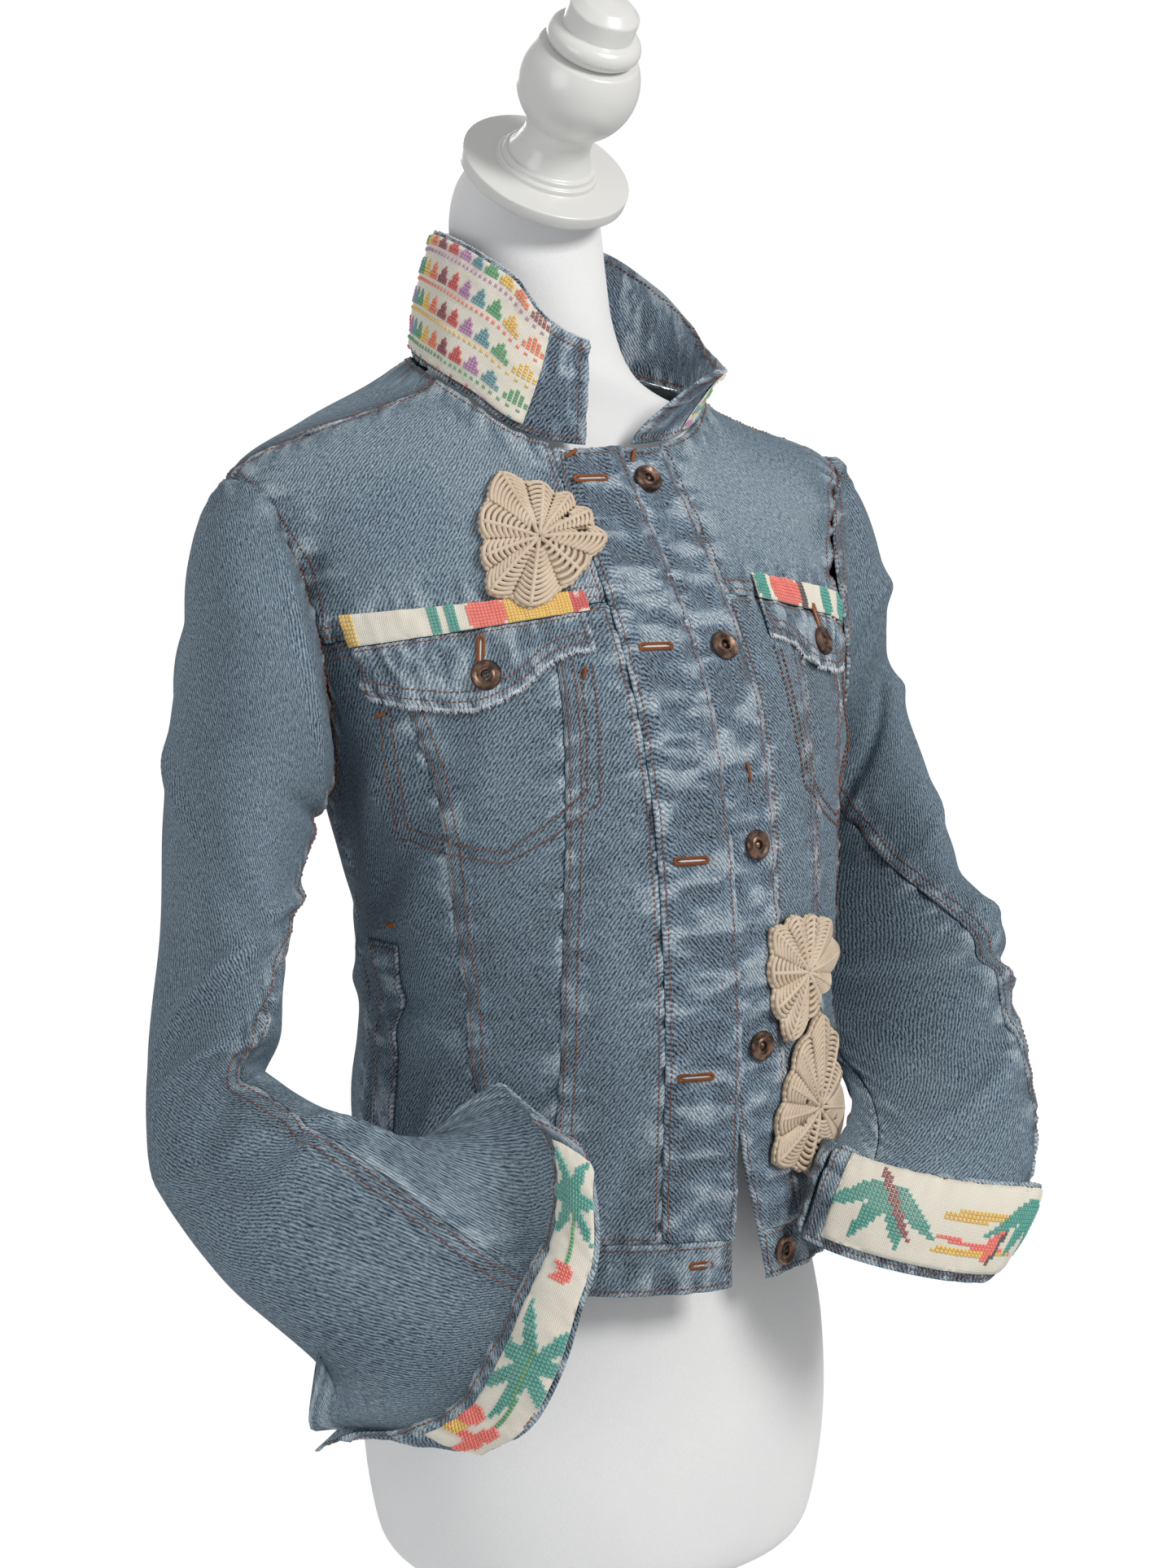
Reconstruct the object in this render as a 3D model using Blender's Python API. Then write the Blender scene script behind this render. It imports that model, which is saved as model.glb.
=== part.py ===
"""A women's denim jacket, worn hollow on a white dress form that stands on a round foot.

Metres, +Z up. The front of the jacket faces -Y and the wearer's right is at -X. The origin is the centre of
the foot's underside. A place on the jacket's body is given by its angle or its girth from the centre front
(negative on the wearer's right) and by its level, which is the height up to the armpits and then follows the
shoulders up to the neck.
"""

import math

import bmesh
import bpy
import numpy as np
from mathutils import Vector
from mathutils.geometry import delaunay_2d_cdt

# Cloth and seams
DENIM = 0.0014
DOUBLE = 0.0020
STRIP = 0.0010
CROCHET = 0.0036
SEAM_GAP = 0.0003
LAID_GAP = 0.0005

# Levels of the cross seams
HEM = 0.914
WAIST_SEAM = 0.943
NECK_FRONT = 1.405
PLACKET = 0.040
PLACKET_RISE = 0.0026
EDGE_RIGHT = 0.002

# The worn body, ring by ring from the hem up to the neck: level, height, half width, the y of its sides,
# front and back, and how square its front and its back are
RINGS = np.array(
    [
        (0.90, 0.900, 0.141, 0.000, -0.137, 0.132, 1.80, 2.3),
        (0.94, 0.940, 0.140, 0.000, -0.137, 0.131, 1.80, 2.3),
        (1.00, 1.000, 0.139, 0.000, -0.139, 0.132, 1.80, 2.3),
        (1.06, 1.060, 0.136, 0.000, -0.141, 0.131, 1.80, 2.3),
        (1.12, 1.120, 0.141, 0.004, -0.136, 0.136, 1.80, 2.3),
        (1.18, 1.180, 0.154, 0.016, -0.127, 0.150, 1.75, 2.3),
        (1.24, 1.240, 0.174, 0.032, -0.108, 0.158, 1.65, 2.4),
        (1.30, 1.297, 0.191, 0.048, -0.074, 0.155, 1.60, 2.4),
        (1.35, 1.335, 0.202, 0.062, -0.041, 0.145, 1.70, 2.3),
        (1.39, 1.362, 0.190, 0.068, -0.020, 0.137, 1.80, 2.2),
        (1.43, 1.384, 0.152, 0.070, -0.006, 0.130, 1.90, 2.1),
        (1.47, 1.404, 0.110, 0.070, 0.004, 0.126, 2.00, 2.0),
        (1.51, 1.424, 0.074, 0.070, 0.010, 0.122, 2.00, 2.0),
    ]
)

# How much lower the left shoulder is than the right one: nothing at the first level, all of it at the second
SHOULDER_DROP = 0.017
SHOULDER_DROP_LEVELS = (1.36, 1.47)

# Lengthwise seams: level, then girth from the centre front on the right and on the left
INNER_SEAM = np.array([(0.90, 0.100, 0.084), (1.01, 0.098, 0.083), (1.09, 0.095, 0.082), (1.18, 0.087, 0.086),
                       (1.25, 0.079, 0.092), (1.31, 0.074, 0.094)])
OUTER_SEAM = np.array([(0.90, 0.138, 0.126), (0.98, 0.142, 0.130), (1.04, 0.149, 0.135), (1.11, 0.155, 0.140),
                       (1.18, 0.158, 0.143), (1.24, 0.166, 0.147), (1.31, 0.172, 0.150)])
SIDE_SEAM = np.array([(0.90, 0.247, 0.235), (1.10, 0.250, 0.235), (1.19, 0.262, 0.248)])
BACK_SEAM = np.array([(0.90, 0.385, 0.385), (1.10, 0.385, 0.385), (1.31, 0.372, 0.372)])
LEFT_EDGE = np.array([(0.90, 0.032), (0.95, 0.018), (1.00, 0.004), (1.05, -0.002), (1.10, -0.004),
                      (1.18, -0.002), (1.24, 0.000), (1.30, -0.002), (1.41, -0.006)])

# Cross seams: angle from the centre front in degrees, then the level
YOKE_SEAM = np.array([(0.0, 1.296), (20.0, 1.290), (45.0, 1.281), (68.0, 1.271), (88.0, 1.261)])
BACK_YOKE_LEVEL = 1.300
NECKLINE = np.array([(0.0, 1.405), (10.0, 1.409), (20.0, 1.422), (34.0, 1.451), (55.0, 1.477), (85.0, 1.497),
                     (130.0, 1.505), (180.0, 1.507)])
SHOULDER_NECK_ANGLE = 58.0

# Armhole loop: angle round it (0 front, 90 shoulder, -90 underarm), girth right and left, level
ARMHOLE = np.array([(-180.0, 0.306, 0.300, 1.296), (-135.0, 0.300, 0.288, 1.215), (-90.0, 0.262, 0.248, 1.184),
                    (-50.0, 0.226, 0.202, 1.210), (0.0, 0.208, 0.170, 1.290), (45.0, 0.212, 0.178, 1.346),
                    (90.0, 0.236, 0.232, 1.373), (135.0, 0.272, 0.266, 1.352), (180.0, 0.306, 0.300, 1.296)])
ARMHOLE_GAP = 0.0018

# Sleeves, ring by ring down the arm. A place on a ring is a turn in degrees: 0 front, 90 outward, 180 back.
# Share of the length, centre, and the ways from the centre to the ring's front and to its outer point.
SLEEVE_RIGHT = np.array(
    [
        (0.00, -0.1750, 0.068, 1.279, 0.000, -0.078, 0.000, 0.000, 0.000, 0.094),
        (0.12, -0.1880, 0.056, 1.255, -0.004, -0.078, 0.004, -0.027, 0.000, 0.080),
        (0.25, -0.2030, 0.043, 1.213, -0.010, -0.080, 0.005, -0.030, 0.000, 0.056),
        (0.38, -0.2200, 0.030, 1.160, -0.012, -0.078, 0.010, -0.030, 0.003, 0.034),
        (0.50, -0.2330, 0.013, 1.105, -0.012, -0.076, 0.015, -0.027, 0.004, 0.012),
        (0.60, -0.2480, -0.006, 1.053, -0.010, -0.072, 0.024, -0.029, 0.004, 0.000),
        (0.68, -0.2600, -0.028, 1.017, 0.000, -0.044, 0.041, -0.028, -0.008, -0.003),
        (0.76, -0.2490, -0.074, 0.990, 0.012, -0.022, 0.049, -0.026, -0.014, 0.000),
        (0.87, -0.2220, -0.131, 0.974, 0.010, -0.008, 0.059, -0.021, -0.010, 0.000),
        (0.94, -0.1950, -0.170, 0.966, 0.008, -0.004, 0.055, -0.013, -0.006, 0.000),
        (1.00, -0.1760, -0.204, 0.958, 0.008, -0.002, 0.048, -0.010, -0.005, 0.000),
    ]
)
SLEEVE_LEFT = np.array(
    [
        (0.00, 0.1750, 0.068, 1.279, 0.000, -0.078, 0.000, 0.000, 0.000, 0.094),
        (0.12, 0.1920, 0.083, 1.258, 0.004, -0.067, 0.004, 0.031, 0.000, 0.080),
        (0.25, 0.1940, 0.078, 1.213, 0.008, -0.068, 0.005, 0.029, 0.000, 0.056),
        (0.38, 0.1990, 0.058, 1.160, 0.012, -0.070, 0.010, 0.028, 0.003, 0.034),
        (0.50, 0.2000, 0.028, 1.105, 0.020, -0.070, 0.015, 0.025, 0.008, 0.012),
        (0.60, 0.1960, -0.018, 1.064, 0.030, -0.064, 0.020, 0.025, 0.012, 0.000),
        (0.70, 0.1840, -0.050, 1.034, 0.034, -0.054, 0.018, 0.021, 0.016, 0.000),
        (0.78, 0.1720, -0.094, 1.006, 0.034, -0.042, 0.008, 0.018, 0.019, 0.003),
        (0.86, 0.1420, -0.140, 0.986, 0.040, -0.034, -0.002, 0.014, 0.020, 0.004),
        (0.93, 0.1120, -0.166, 0.966, 0.046, -0.029, -0.010, 0.011, 0.019, 0.004),
        (1.00, 0.0890, -0.169, 0.928, 0.045, -0.026, -0.012, 0.010, 0.018, 0.004),
    ]
)
ARMHOLE_BLEND = 0.20
SLEEVE_GAP = 0.0024
SLEEVE_ROWS = 18
UNDER_COLUMNS = 8
TOP_COLUMNS = 16

# Sleeve seams: share of the length, turn of the back seam right and left, share of the way to the front seam
SLEEVE_SEAMS = np.array([(0.0, -180.0, -180.0, 0.333), (0.45, -165.0, -170.0, 0.340), (0.75, -110.0, -140.0, 0.350),
                         (1.0, -80.0, -125.0, 0.360)])

# Sleeve folds: side, share, turn, how far they reach along and round, how the line slants per turn, depth
SLEEVE_FOLDS = (
    (-1, 0.10, -30.0, 0.030, 55.0, 0.0008, -0.005),
    (-1, 0.20, 140.0, 0.030, 60.0, -0.0006, -0.004),
    (-1, 0.33, 60.0, 0.035, 60.0, 0.0008, -0.004),
    (-1, 0.47, 20.0, 0.030, 60.0, -0.0010, -0.005),
    (-1, 0.60, 60.0, 0.022, 65.0, 0.0009, -0.005),
    (-1, 0.70, 30.0, 0.020, 60.0, 0.0004, -0.008),
    (-1, 0.77, 60.0, 0.020, 55.0, -0.0006, -0.005),
    (-1, 0.66, 170.0, 0.040, 60.0, 0.0000, 0.005),
    (1, 0.12, -20.0, 0.030, 60.0, -0.0008, -0.005),
    (1, 0.26, 20.0, 0.030, 60.0, 0.0009, -0.005),
    (1, 0.40, -20.0, 0.035, 60.0, -0.0008, -0.004),
    (1, 0.52, 10.0, 0.025, 60.0, 0.0008, -0.005),
    (1, 0.64, -20.0, 0.022, 70.0, 0.0004, -0.007),
    (1, 0.74, -40.0, 0.022, 60.0, -0.0005, -0.005),
    (1, 0.60, 160.0, 0.040, 60.0, 0.0000, 0.005),
)

# The right cuff hangs open and turned back: share of its length, then its fold edge and its free edge
CUFF_RIGHT = np.array(
    [
        (0.00, -0.141, -0.223, 1.026, -0.153, -0.187, 1.045),
        (0.10, -0.147, -0.243, 1.014, -0.150, -0.207, 1.026),
        (0.20, -0.154, -0.257, 0.989, -0.160, -0.220, 0.994),
        (0.32, -0.166, -0.261, 0.963, -0.179, -0.226, 0.970),
        (0.45, -0.177, -0.260, 0.932, -0.196, -0.222, 0.938),
        (0.58, -0.189, -0.249, 0.903, -0.209, -0.211, 0.908),
        (0.71, -0.203, -0.224, 0.889, -0.228, -0.192, 0.893),
        (0.86, -0.220, -0.186, 0.892, -0.247, -0.167, 0.886),
        (1.00, -0.230, -0.156, 0.905, -0.261, -0.155, 0.875),
    ]
)
CUFF_BULGE = 0.003
CUFF_THICK = 0.0022
CUFF_STEPS = 20
SLIT_SHARES = (0.80, 0.888)
SLEEVE_END_SHARE = 0.86
CUFF_RIGHT_SHARE = 0.075

# The left cuff is turned back round the sleeve's end: where it starts and ends on the ring, and its width
CUFF_LEFT_TURNS = (-163.0, 191.0)
CUFF_LEFT_SHARE = 0.09
CUFF_LEFT_FLARE = 0.004
CUFF_LEFT_CLEAR = 0.0007

# The embroidered strip on each cuff: its first and last column of the cuff. It leaves the outer rows bare.
STRIP_RIGHT = (1, 14)
STRIP_LEFT = (1, 12)
CUFF_ROWS_RIGHT = (0.0, 0.05, 0.40, 0.76, 1.0)
CUFF_ROWS_LEFT = (0.0, 0.10, 0.50, 0.95, 1.0)

# Collar from the wearer's right front end (-1) round the back (0) to the left front end (1): place, lean in x
# and y, and rise
COLLAR_ENDS = (6.0, 4.0)
COLLAR = np.array(
    [
        (-1.00, 0.0023, -0.0006, 0.0583),
        (-0.85, 0.0232, -0.0044, 0.0668),
        (-0.70, 0.0259, -0.0033, 0.0690),
        (-0.50, 0.0210, 0.0035, 0.0710),
        (-0.25, 0.0150, 0.0120, 0.0690),
        (0.00, 0.0070, 0.0160, 0.0677),
        (0.25, 0.0094, 0.0212, 0.0728),
        (0.50, 0.0120, 0.0320, 0.0600),
        (0.70, 0.0180, 0.0365, 0.0435),
        (0.85, 0.0270, 0.0260, 0.0340),
        (1.00, 0.0470, -0.0170, 0.0400),
    ]
)
COLLAR_STEPS = 32
COLLAR_ROWS = 5
COLLAR_SEAT = 0.0012
COLLAR_PATCH = (2, 15)
COLLAR_PATCH_HEIGHT = (0.06, 0.97)

# Pocket flaps: girth from the centre front, level of the lower edge, right and left
FLAP_RIGHT = np.array([(0.055, 1.266), (0.079, 1.260), (0.1005, 1.245), (0.120, 1.236), (0.157, 1.235),
                       (0.189, 1.240)])
FLAP_LEFT = np.array([(0.062, 1.268), (0.080, 1.262), (0.100, 1.249), (0.120, 1.243), (0.145, 1.241),
                      (0.165, 1.243)])
FLAP_STRIP_RIGHT = np.array([(0.052, 1.2865, 1.2980), (0.190, 1.2660, 1.2845)])
FLAP_STRIP_LEFT = np.array([(0.061, 1.2880, 1.3035), (0.167, 1.2655, 1.2825)])

# Welt pockets at the hips: girth of the two long edges at the top and at the bottom
WELT_LEVELS = (0.984, 1.100)
WELT_RIGHT = (0.2065, 0.2275, 0.199, 0.226)
WELT_LEFT = (0.190, 0.211, 0.184, 0.210)

# Buttons: girth and level of each centre
BUTTON_RADIUS = 0.0085
BUTTON_HOLE = 0.0026
BUTTON_THICK = 0.0030
FRONT_BUTTONS = ((0.012, 1.374), (0.0204, 1.264), (0.0194, 1.159), (0.0166, 1.050), (0.040, 0.9285))
FLAP_BUTTONS = ((-0.117, 1.252), (0.115, 1.259))

# Crochet leaves. Each has a centre on the chart, a turn, and lobes as pairs of direction in degrees and reach
LEAF_LOW = 0.0030
LEAF_RIB = 0.0012
LEAF_DIP = 0.0045
LEAF_STEPS = 4
LEAVES = {
    "crochet_leaf_shoulder": {
        "centre": (-0.0680, 1.3300),
        "lobes": ((2, 0.040), (31, 0.038), (54, 0.038), (79, 0.038), (110, 0.048), (160, 0.034), (196, 0.034),
                  (224, 0.044), (257, 0.043), (314, 0.030)),
        "slits": ((40, 0.022, 0.0085, 0.0022), (12, 0.025, 0.0090, 0.0030)),
    },
    "crochet_leaf_middle": {
        "centre": (0.0530, 1.0850),
        "lobes": ((3, 0.051), (35, 0.042), (72, 0.032), (104, 0.034), (135, 0.040), (172, 0.033), (208, 0.034),
                  (243, 0.041), (300, 0.025), (335, 0.032)),
        "slits": (),
    },
    "crochet_leaf_lower": {
        "centre": (0.0690, 1.0050),
        "lobes": ((-14, 0.068), (22, 0.037), (50, 0.046), (90, 0.055), (122, 0.047), (150, 0.040), (178, 0.042),
                  (208, 0.050), (250, 0.037), (310, 0.060)),
        "slits": ((-27, 0.029, 0.0060, 0.0044), (-58, 0.033, 0.0060, 0.0048), (155, 0.018, 0.0055, 0.0030),
                  (196, 0.019, 0.0060, 0.0028)),
    },
}

# Dress form, ring by ring, in the same columns as the worn body
FORM_RINGS = np.array(
    [
        (0.722, 0.722, 0.112, 0.004, -0.084, 0.096, 2.1, 2.1),
        (0.730, 0.730, 0.126, 0.004, -0.097, 0.110, 2.1, 2.2),
        (0.750, 0.750, 0.134, 0.004, -0.104, 0.118, 2.1, 2.2),
        (0.800, 0.800, 0.140, 0.004, -0.110, 0.125, 2.1, 2.2),
        (0.860, 0.860, 0.136, 0.002, -0.110, 0.122, 2.1, 2.2),
        (0.920, 0.920, 0.125, 0.000, -0.106, 0.113, 2.0, 2.2),
        (1.000, 1.000, 0.116, 0.000, -0.103, 0.106, 2.0, 2.2),
        (1.060, 1.060, 0.113, 0.000, -0.103, 0.104, 2.0, 2.2),
        (1.120, 1.120, 0.119, 0.004, -0.106, 0.111, 2.0, 2.2),
        (1.180, 1.180, 0.133, 0.016, -0.103, 0.126, 2.0, 2.2),
        (1.240, 1.240, 0.150, 0.032, -0.086, 0.136, 2.0, 2.3),
        (1.300, 1.297, 0.167, 0.048, -0.055, 0.137, 1.9, 2.3),
        (1.350, 1.331, 0.184, 0.062, -0.027, 0.133, 1.9, 2.2),
    ]
)
SHOULDER_RINGS = ((1.392, -0.0045), (1.425, -0.0026), (1.455, -0.0024))
CHEST_CLEARANCE = 0.008
FORM_COLUMNS = 24
# Rings of the form's neck: centre, tilt in degrees, half width, half depth, how far the left side drops
NECK = (
    (0.000, 0.0690, 1.4120, 0.0, 0.0730, 0.0540, 0.0180),
    (-0.002, 0.0700, 1.4240, 0.0, 0.0550, 0.0480, 0.0120),
    (-0.004, 0.0720, 1.4450, 5.0, 0.0465, 0.0465, 0.0040),
    (-0.005, 0.0750, 1.4700, 12.0, 0.0455, 0.0450, 0.0),
    (-0.006, 0.0765, 1.4920, 20.0, 0.0455, 0.0450, 0.0),
    (-0.006, 0.0745, 1.5070, 28.0, 0.0435, 0.0435, 0.0),
    (-0.006, 0.0680, 1.5165, 34.0, 0.0400, 0.0400, 0.0),
)
CAP_TILT = 38.5
CAP_SEAT = 0.036
CAP_CENTRE = (-0.006, 0.0568, 1.5235)
CAP_PROFILE = ((0.050, 0.000), (0.050, 0.008), (0.030, 0.008), (0.030, 0.0115), (0.0275, 0.0115),
               (0.0275, 0.015), (0.025, 0.015), (0.0230, 0.019), (0.0205, 0.026), (0.020, 0.032))
BULB_CENTRE = 0.066
BULB_RADIUS = 0.035
BULB_TURNS = (38, 62, 90, 110, 124)
RING_CENTRE = 0.0936
RING_RADIUS = 0.0205
RING_TUBE = 0.007
FINIAL_NECK = 0.0205
FINIAL_TOP = 0.120
POLE_RADIUS = 0.015
FOOT_PROFILE = ((0.175, 0.000), (0.175, 0.010), (0.170, 0.016), (0.120, 0.022), (0.050, 0.027),
                (0.026, 0.032), (0.024, 0.040))


def spline(stations, values, at):
    """Smooth curve through the values at their stations, read at one or more places."""
    stations = np.asarray(stations, float)
    values = np.asarray(values, float)
    single = values.ndim == 1
    if single:
        values = values[:, None]
    at = np.clip(np.asarray(at, float), stations[0], stations[-1])
    step = np.diff(stations)
    rise = np.diff(values, axis=0) / step[:, None]
    slope = np.empty_like(values)
    slope[0] = rise[0]
    slope[-1] = rise[-1]
    weight = (step[1:] + step[:-1])[:, None]
    slope[1:-1] = (rise[:-1] * step[1:, None] + rise[1:] * step[:-1, None]) / weight
    index = np.clip(np.searchsorted(stations, at, side="right") - 1, 0, len(stations) - 2)
    width = step[index][..., None]
    t = ((at - stations[index]) / step[index])[..., None]
    result = (
        (1 + 2 * t) * (1 - t) ** 2 * values[index]
        + t * (1 - t) ** 2 * width * slope[index]
        + t * t * (3 - 2 * t) * values[index + 1]
        + t * t * (t - 1) * width * slope[index + 1]
    )
    return result[..., 0] if single else result


def smooth(t):
    t = np.clip(t, 0.0, 1.0)
    return t * t * (3 - 2 * t)


def unit(vectors):
    return vectors / np.linalg.norm(vectors, axis=-1, keepdims=True)


def ring_point(table, angle, level):
    """Point on a ring of a table, at an angle (radians) and a level."""
    values = spline(table[:, 0], table[:, 1:], level)
    height, half, side, front, back, front_square, back_square = np.moveaxis(values, -1, 0)
    sine = np.sin(angle)
    cosine = np.cos(angle)
    square = np.where(cosine >= 0, front_square, back_square)
    reach = (np.abs(sine) ** square + np.abs(cosine) ** square) ** (-1 / square)
    depth = np.where(cosine >= 0, front - side, side - back)
    return np.stack([half * sine * reach, side + depth * cosine * reach, height + 0 * angle], -1)


def body_point(angle, level):
    """Point on the jacket's body. Its left shoulder drops a little more towards the neck."""
    angle, level = np.broadcast_arrays(np.asarray(angle, float), np.asarray(level, float))
    point = ring_point(RINGS, angle, level)
    low, high = SHOULDER_DROP_LEVELS
    leftness = np.maximum(0.0, np.sin(angle)) ** 1.5
    point[..., 2] -= SHOULDER_DROP * leftness * smooth((level - low) / (high - low))
    return point


def body_normal(angle, level):
    """Outward normal of the body's surface."""
    small_angle = 0.02
    small_level = 0.004
    across = body_point(angle + small_angle, level) - body_point(angle - small_angle, level)
    along = body_point(angle, level + small_level) - body_point(angle, level - small_level)
    return unit(np.cross(across, along))


GIRTH_ANGLES = np.linspace(0, math.pi, 361)
GIRTH_LEVELS = np.linspace(RINGS[0, 0], RINGS[-1, 0], 123)
GIRTH_POINTS = body_point(GIRTH_ANGLES[None, :], GIRTH_LEVELS[:, None])
RING_STEPS = np.linalg.norm(np.diff(GIRTH_POINTS, axis=1), axis=-1)
GIRTHS = np.concatenate([np.zeros((len(GIRTH_LEVELS), 1)), np.cumsum(RING_STEPS, axis=1)], axis=1)


def angle_at(girth, level):
    """Angle of the place that lies this far round the body from the centre front."""
    girth, level = np.broadcast_arrays(np.asarray(girth, float), np.asarray(level, float))
    place = (level - GIRTH_LEVELS[0]) / (GIRTH_LEVELS[1] - GIRTH_LEVELS[0])
    place = np.clip(place, 0, len(GIRTH_LEVELS) - 1.001)
    row = place.astype(int)
    part = place - row
    result = np.empty(girth.shape)
    for k in np.ndindex(girth.shape):
        lower = np.interp(abs(girth[k]), GIRTHS[row[k]], GIRTH_ANGLES)
        upper = np.interp(abs(girth[k]), GIRTHS[row[k] + 1], GIRTH_ANGLES)
        result[k] = math.copysign(lower * (1 - part[k]) + upper * part[k], girth[k])
    return result


def on_body(places, lift):
    """Points at (angle, level) places, moved out from the surface by lift."""
    angle = places[..., 0]
    level = places[..., 1]
    lift = np.asarray(lift, float)
    if lift.ndim:
        lift = lift[..., None]
    return body_point(angle, level) + body_normal(angle, level) * lift


# Curves on the body. Each gives (angle, level) rows for a run of numbers between 0 and 1.


def seam_column(side):
    return 1 if side < 0 else 2


def lengthwise(seam, side, low, high):
    def curve(v):
        level = low + (high - low) * v
        girth = side * spline(seam[:, 0], seam[:, seam_column(side)], level)
        return np.stack([angle_at(girth, level), level], -1)

    return curve


def straight(side, girth, low, high):
    """A line at one distance from the centre front."""

    def curve(v):
        level = low + (high - low) * v
        return np.stack([angle_at(side * girth + 0 * level, level), level], -1)

    return curve


def left_edge(shift, low, high):
    """The left front's own edge, which swings away below the last button."""

    def curve(v):
        level = low + (high - low) * v
        girth = spline(LEFT_EDGE[:, 0], LEFT_EDGE[:, 1], level) + shift
        return np.stack([angle_at(girth, level), level], -1)

    return curve


def yoke_level(angle):
    return spline(YOKE_SEAM[:, 0], YOKE_SEAM[:, 1], np.degrees(np.abs(angle)))


def neck_level(angle):
    return spline(NECKLINE[:, 0], NECKLINE[:, 1], np.degrees(np.abs(angle)))


def armhole(side, start, end):
    def curve(v):
        turn = start + (end - start) * v
        girth = side * spline(ARMHOLE[:, 0], ARMHOLE[:, seam_column(side)], turn)
        level = spline(ARMHOLE[:, 0], ARMHOLE[:, 3], turn)
        return np.stack([angle_at(girth, level), level], -1)

    return curve


def armhole_turn(side, low, high, level_of):
    """Turn round the armhole, between two turns, at which it meets a cross seam."""
    for _ in range(24):
        middle = (low + high) / 2
        angle, level = armhole(side, middle, middle)(np.array([0.0]))[0]
        if (level > level_of(angle)) == (armhole(side, high, high)(np.array([0.0]))[0, 1] > level_of(angle)):
            high = middle
        else:
            low = middle
    return (low + high) / 2


def front_yoke_turn(side):
    return armhole_turn(side, -50.0, 20.0, lambda angle: float(yoke_level(np.array([angle]))[0]))


def back_yoke_turn(side):
    return armhole_turn(side, 150.0, 180.0, lambda angle: BACK_YOKE_LEVEL)


def between(first, last, level_of):
    """A cross seam between two places' angles, at the level that its own rule gives."""

    def curve(u):
        angle = first + (last - first) * u
        return np.stack([angle, level_of(angle)], -1)

    return curve


def joined(parts):
    """Several curves run one after the other. Each part is its share of the run and its curve."""
    shares = np.array([share for share, _ in parts])
    ends = np.cumsum(shares)

    def curve(u):
        u = np.atleast_1d(u)
        rows = np.zeros(u.shape + (2,))
        start = 0.0
        for (share, part), end in zip(parts, ends):
            last = end > 1 - 1e-9
            inside = (u >= start - 1e-9) & ((u < end - 1e-9) | last)
            rows[inside] = part(np.clip((u[inside] - start) / share, 0, 1))
            start = end
        return rows

    return curve


def shoulder_seam(side):
    """From the neck to the shoulder point."""
    neck_angle = math.radians(SHOULDER_NECK_ANGLE)
    tip = armhole(side, 90.0, 90.0)(np.array([0.0]))[0]

    def curve(u):
        angle = side * (neck_angle + (abs(tip[0]) - neck_angle) * smooth(u) ** 0.9)
        start = neck_level(np.array([neck_angle]))[0]
        return np.stack([angle, start + (tip[1] - start) * u], -1)

    return curve


def patch(left, right, bottom, top, columns, rows):
    """Grid of (angle, level) places between four curves. Columns and rows are lists from 0 to 1."""
    u = np.asarray(columns)[:, None, None]
    v = np.asarray(rows)[None, :, None]
    west = left(np.asarray(rows))[None]
    east = right(np.asarray(rows))[None]
    south = bottom(np.asarray(columns))[:, None]
    north = top(np.asarray(columns))[:, None]
    corners = (
        (1 - u) * (1 - v) * south[:1]
        + u * (1 - v) * south[-1:]
        + (1 - u) * v * north[:1]
        + u * v * north[-1:]
    )
    return (1 - u) * west + u * east + (1 - v) * south + v * north - corners


def even(count):
    return np.linspace(0, 1, count + 1)


# Solids


def material(name, colour, roughness, metallic=0.0):
    made = bpy.data.materials.get(name)
    if made:
        return made
    made = bpy.data.materials.new(name)
    made.use_nodes = True
    shader = made.node_tree.nodes["Principled BSDF"]
    shader.inputs["Base Color"].default_value = (*colour, 1)
    shader.inputs["Roughness"].default_value = roughness
    shader.inputs["Metallic"].default_value = metallic
    made.diffuse_color = (*colour, 1)
    return made


def denim():
    return material("denim", (0.17, 0.24, 0.34), 0.85)


def cream_cotton():
    return material("cream_cotton", (0.86, 0.83, 0.76), 0.9)


def crochet_cotton():
    return material("crochet_cotton", (0.62, 0.50, 0.38), 0.9)


def aged_copper():
    return material("aged_copper", (0.14, 0.09, 0.07), 0.45, 0.9)


def form_jersey():
    return material("form_jersey", (0.88, 0.88, 0.87), 0.9)


def painted_wood():
    return material("painted_wood", (0.9, 0.9, 0.9), 0.3)


def add_object(name, points, faces, finish, sharp=40.0):
    mesh = bpy.data.meshes.new(name)
    mesh.from_pydata([tuple(point) for point in points], [], [tuple(face) for face in faces])
    mesh.validate()
    work = bmesh.new()
    work.from_mesh(mesh)
    bmesh.ops.recalc_face_normals(work, faces=work.faces)
    if work.calc_volume(signed=True) < 0:
        bmesh.ops.reverse_faces(work, faces=work.faces)
    work.to_mesh(mesh)
    work.free()
    mesh.shade_smooth()
    mesh.set_sharp_from_angle(angle=math.radians(sharp))
    mesh.materials.append(finish)
    made = bpy.data.objects.new(name, mesh)
    bpy.context.collection.objects.link(made)
    return made


def inset_edges(grid, amount, sides=(True, True, True, True)):
    """Moves the rim of a grid of points in along the surface: first and last column, first and last row."""
    grid = grid.copy()
    first_column, last_column, first_row, last_row = sides
    source = grid.copy()
    if first_column:
        grid[0] += unit(source[1] - source[0]) * amount
    if last_column:
        grid[-1] += unit(source[-2] - source[-1]) * amount
    if first_row:
        grid[:, 0] += unit(source[:, 1] - source[:, 0]) * amount
    if last_row:
        grid[:, -1] += unit(source[:, -2] - source[:, -1]) * amount
    return grid


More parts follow.
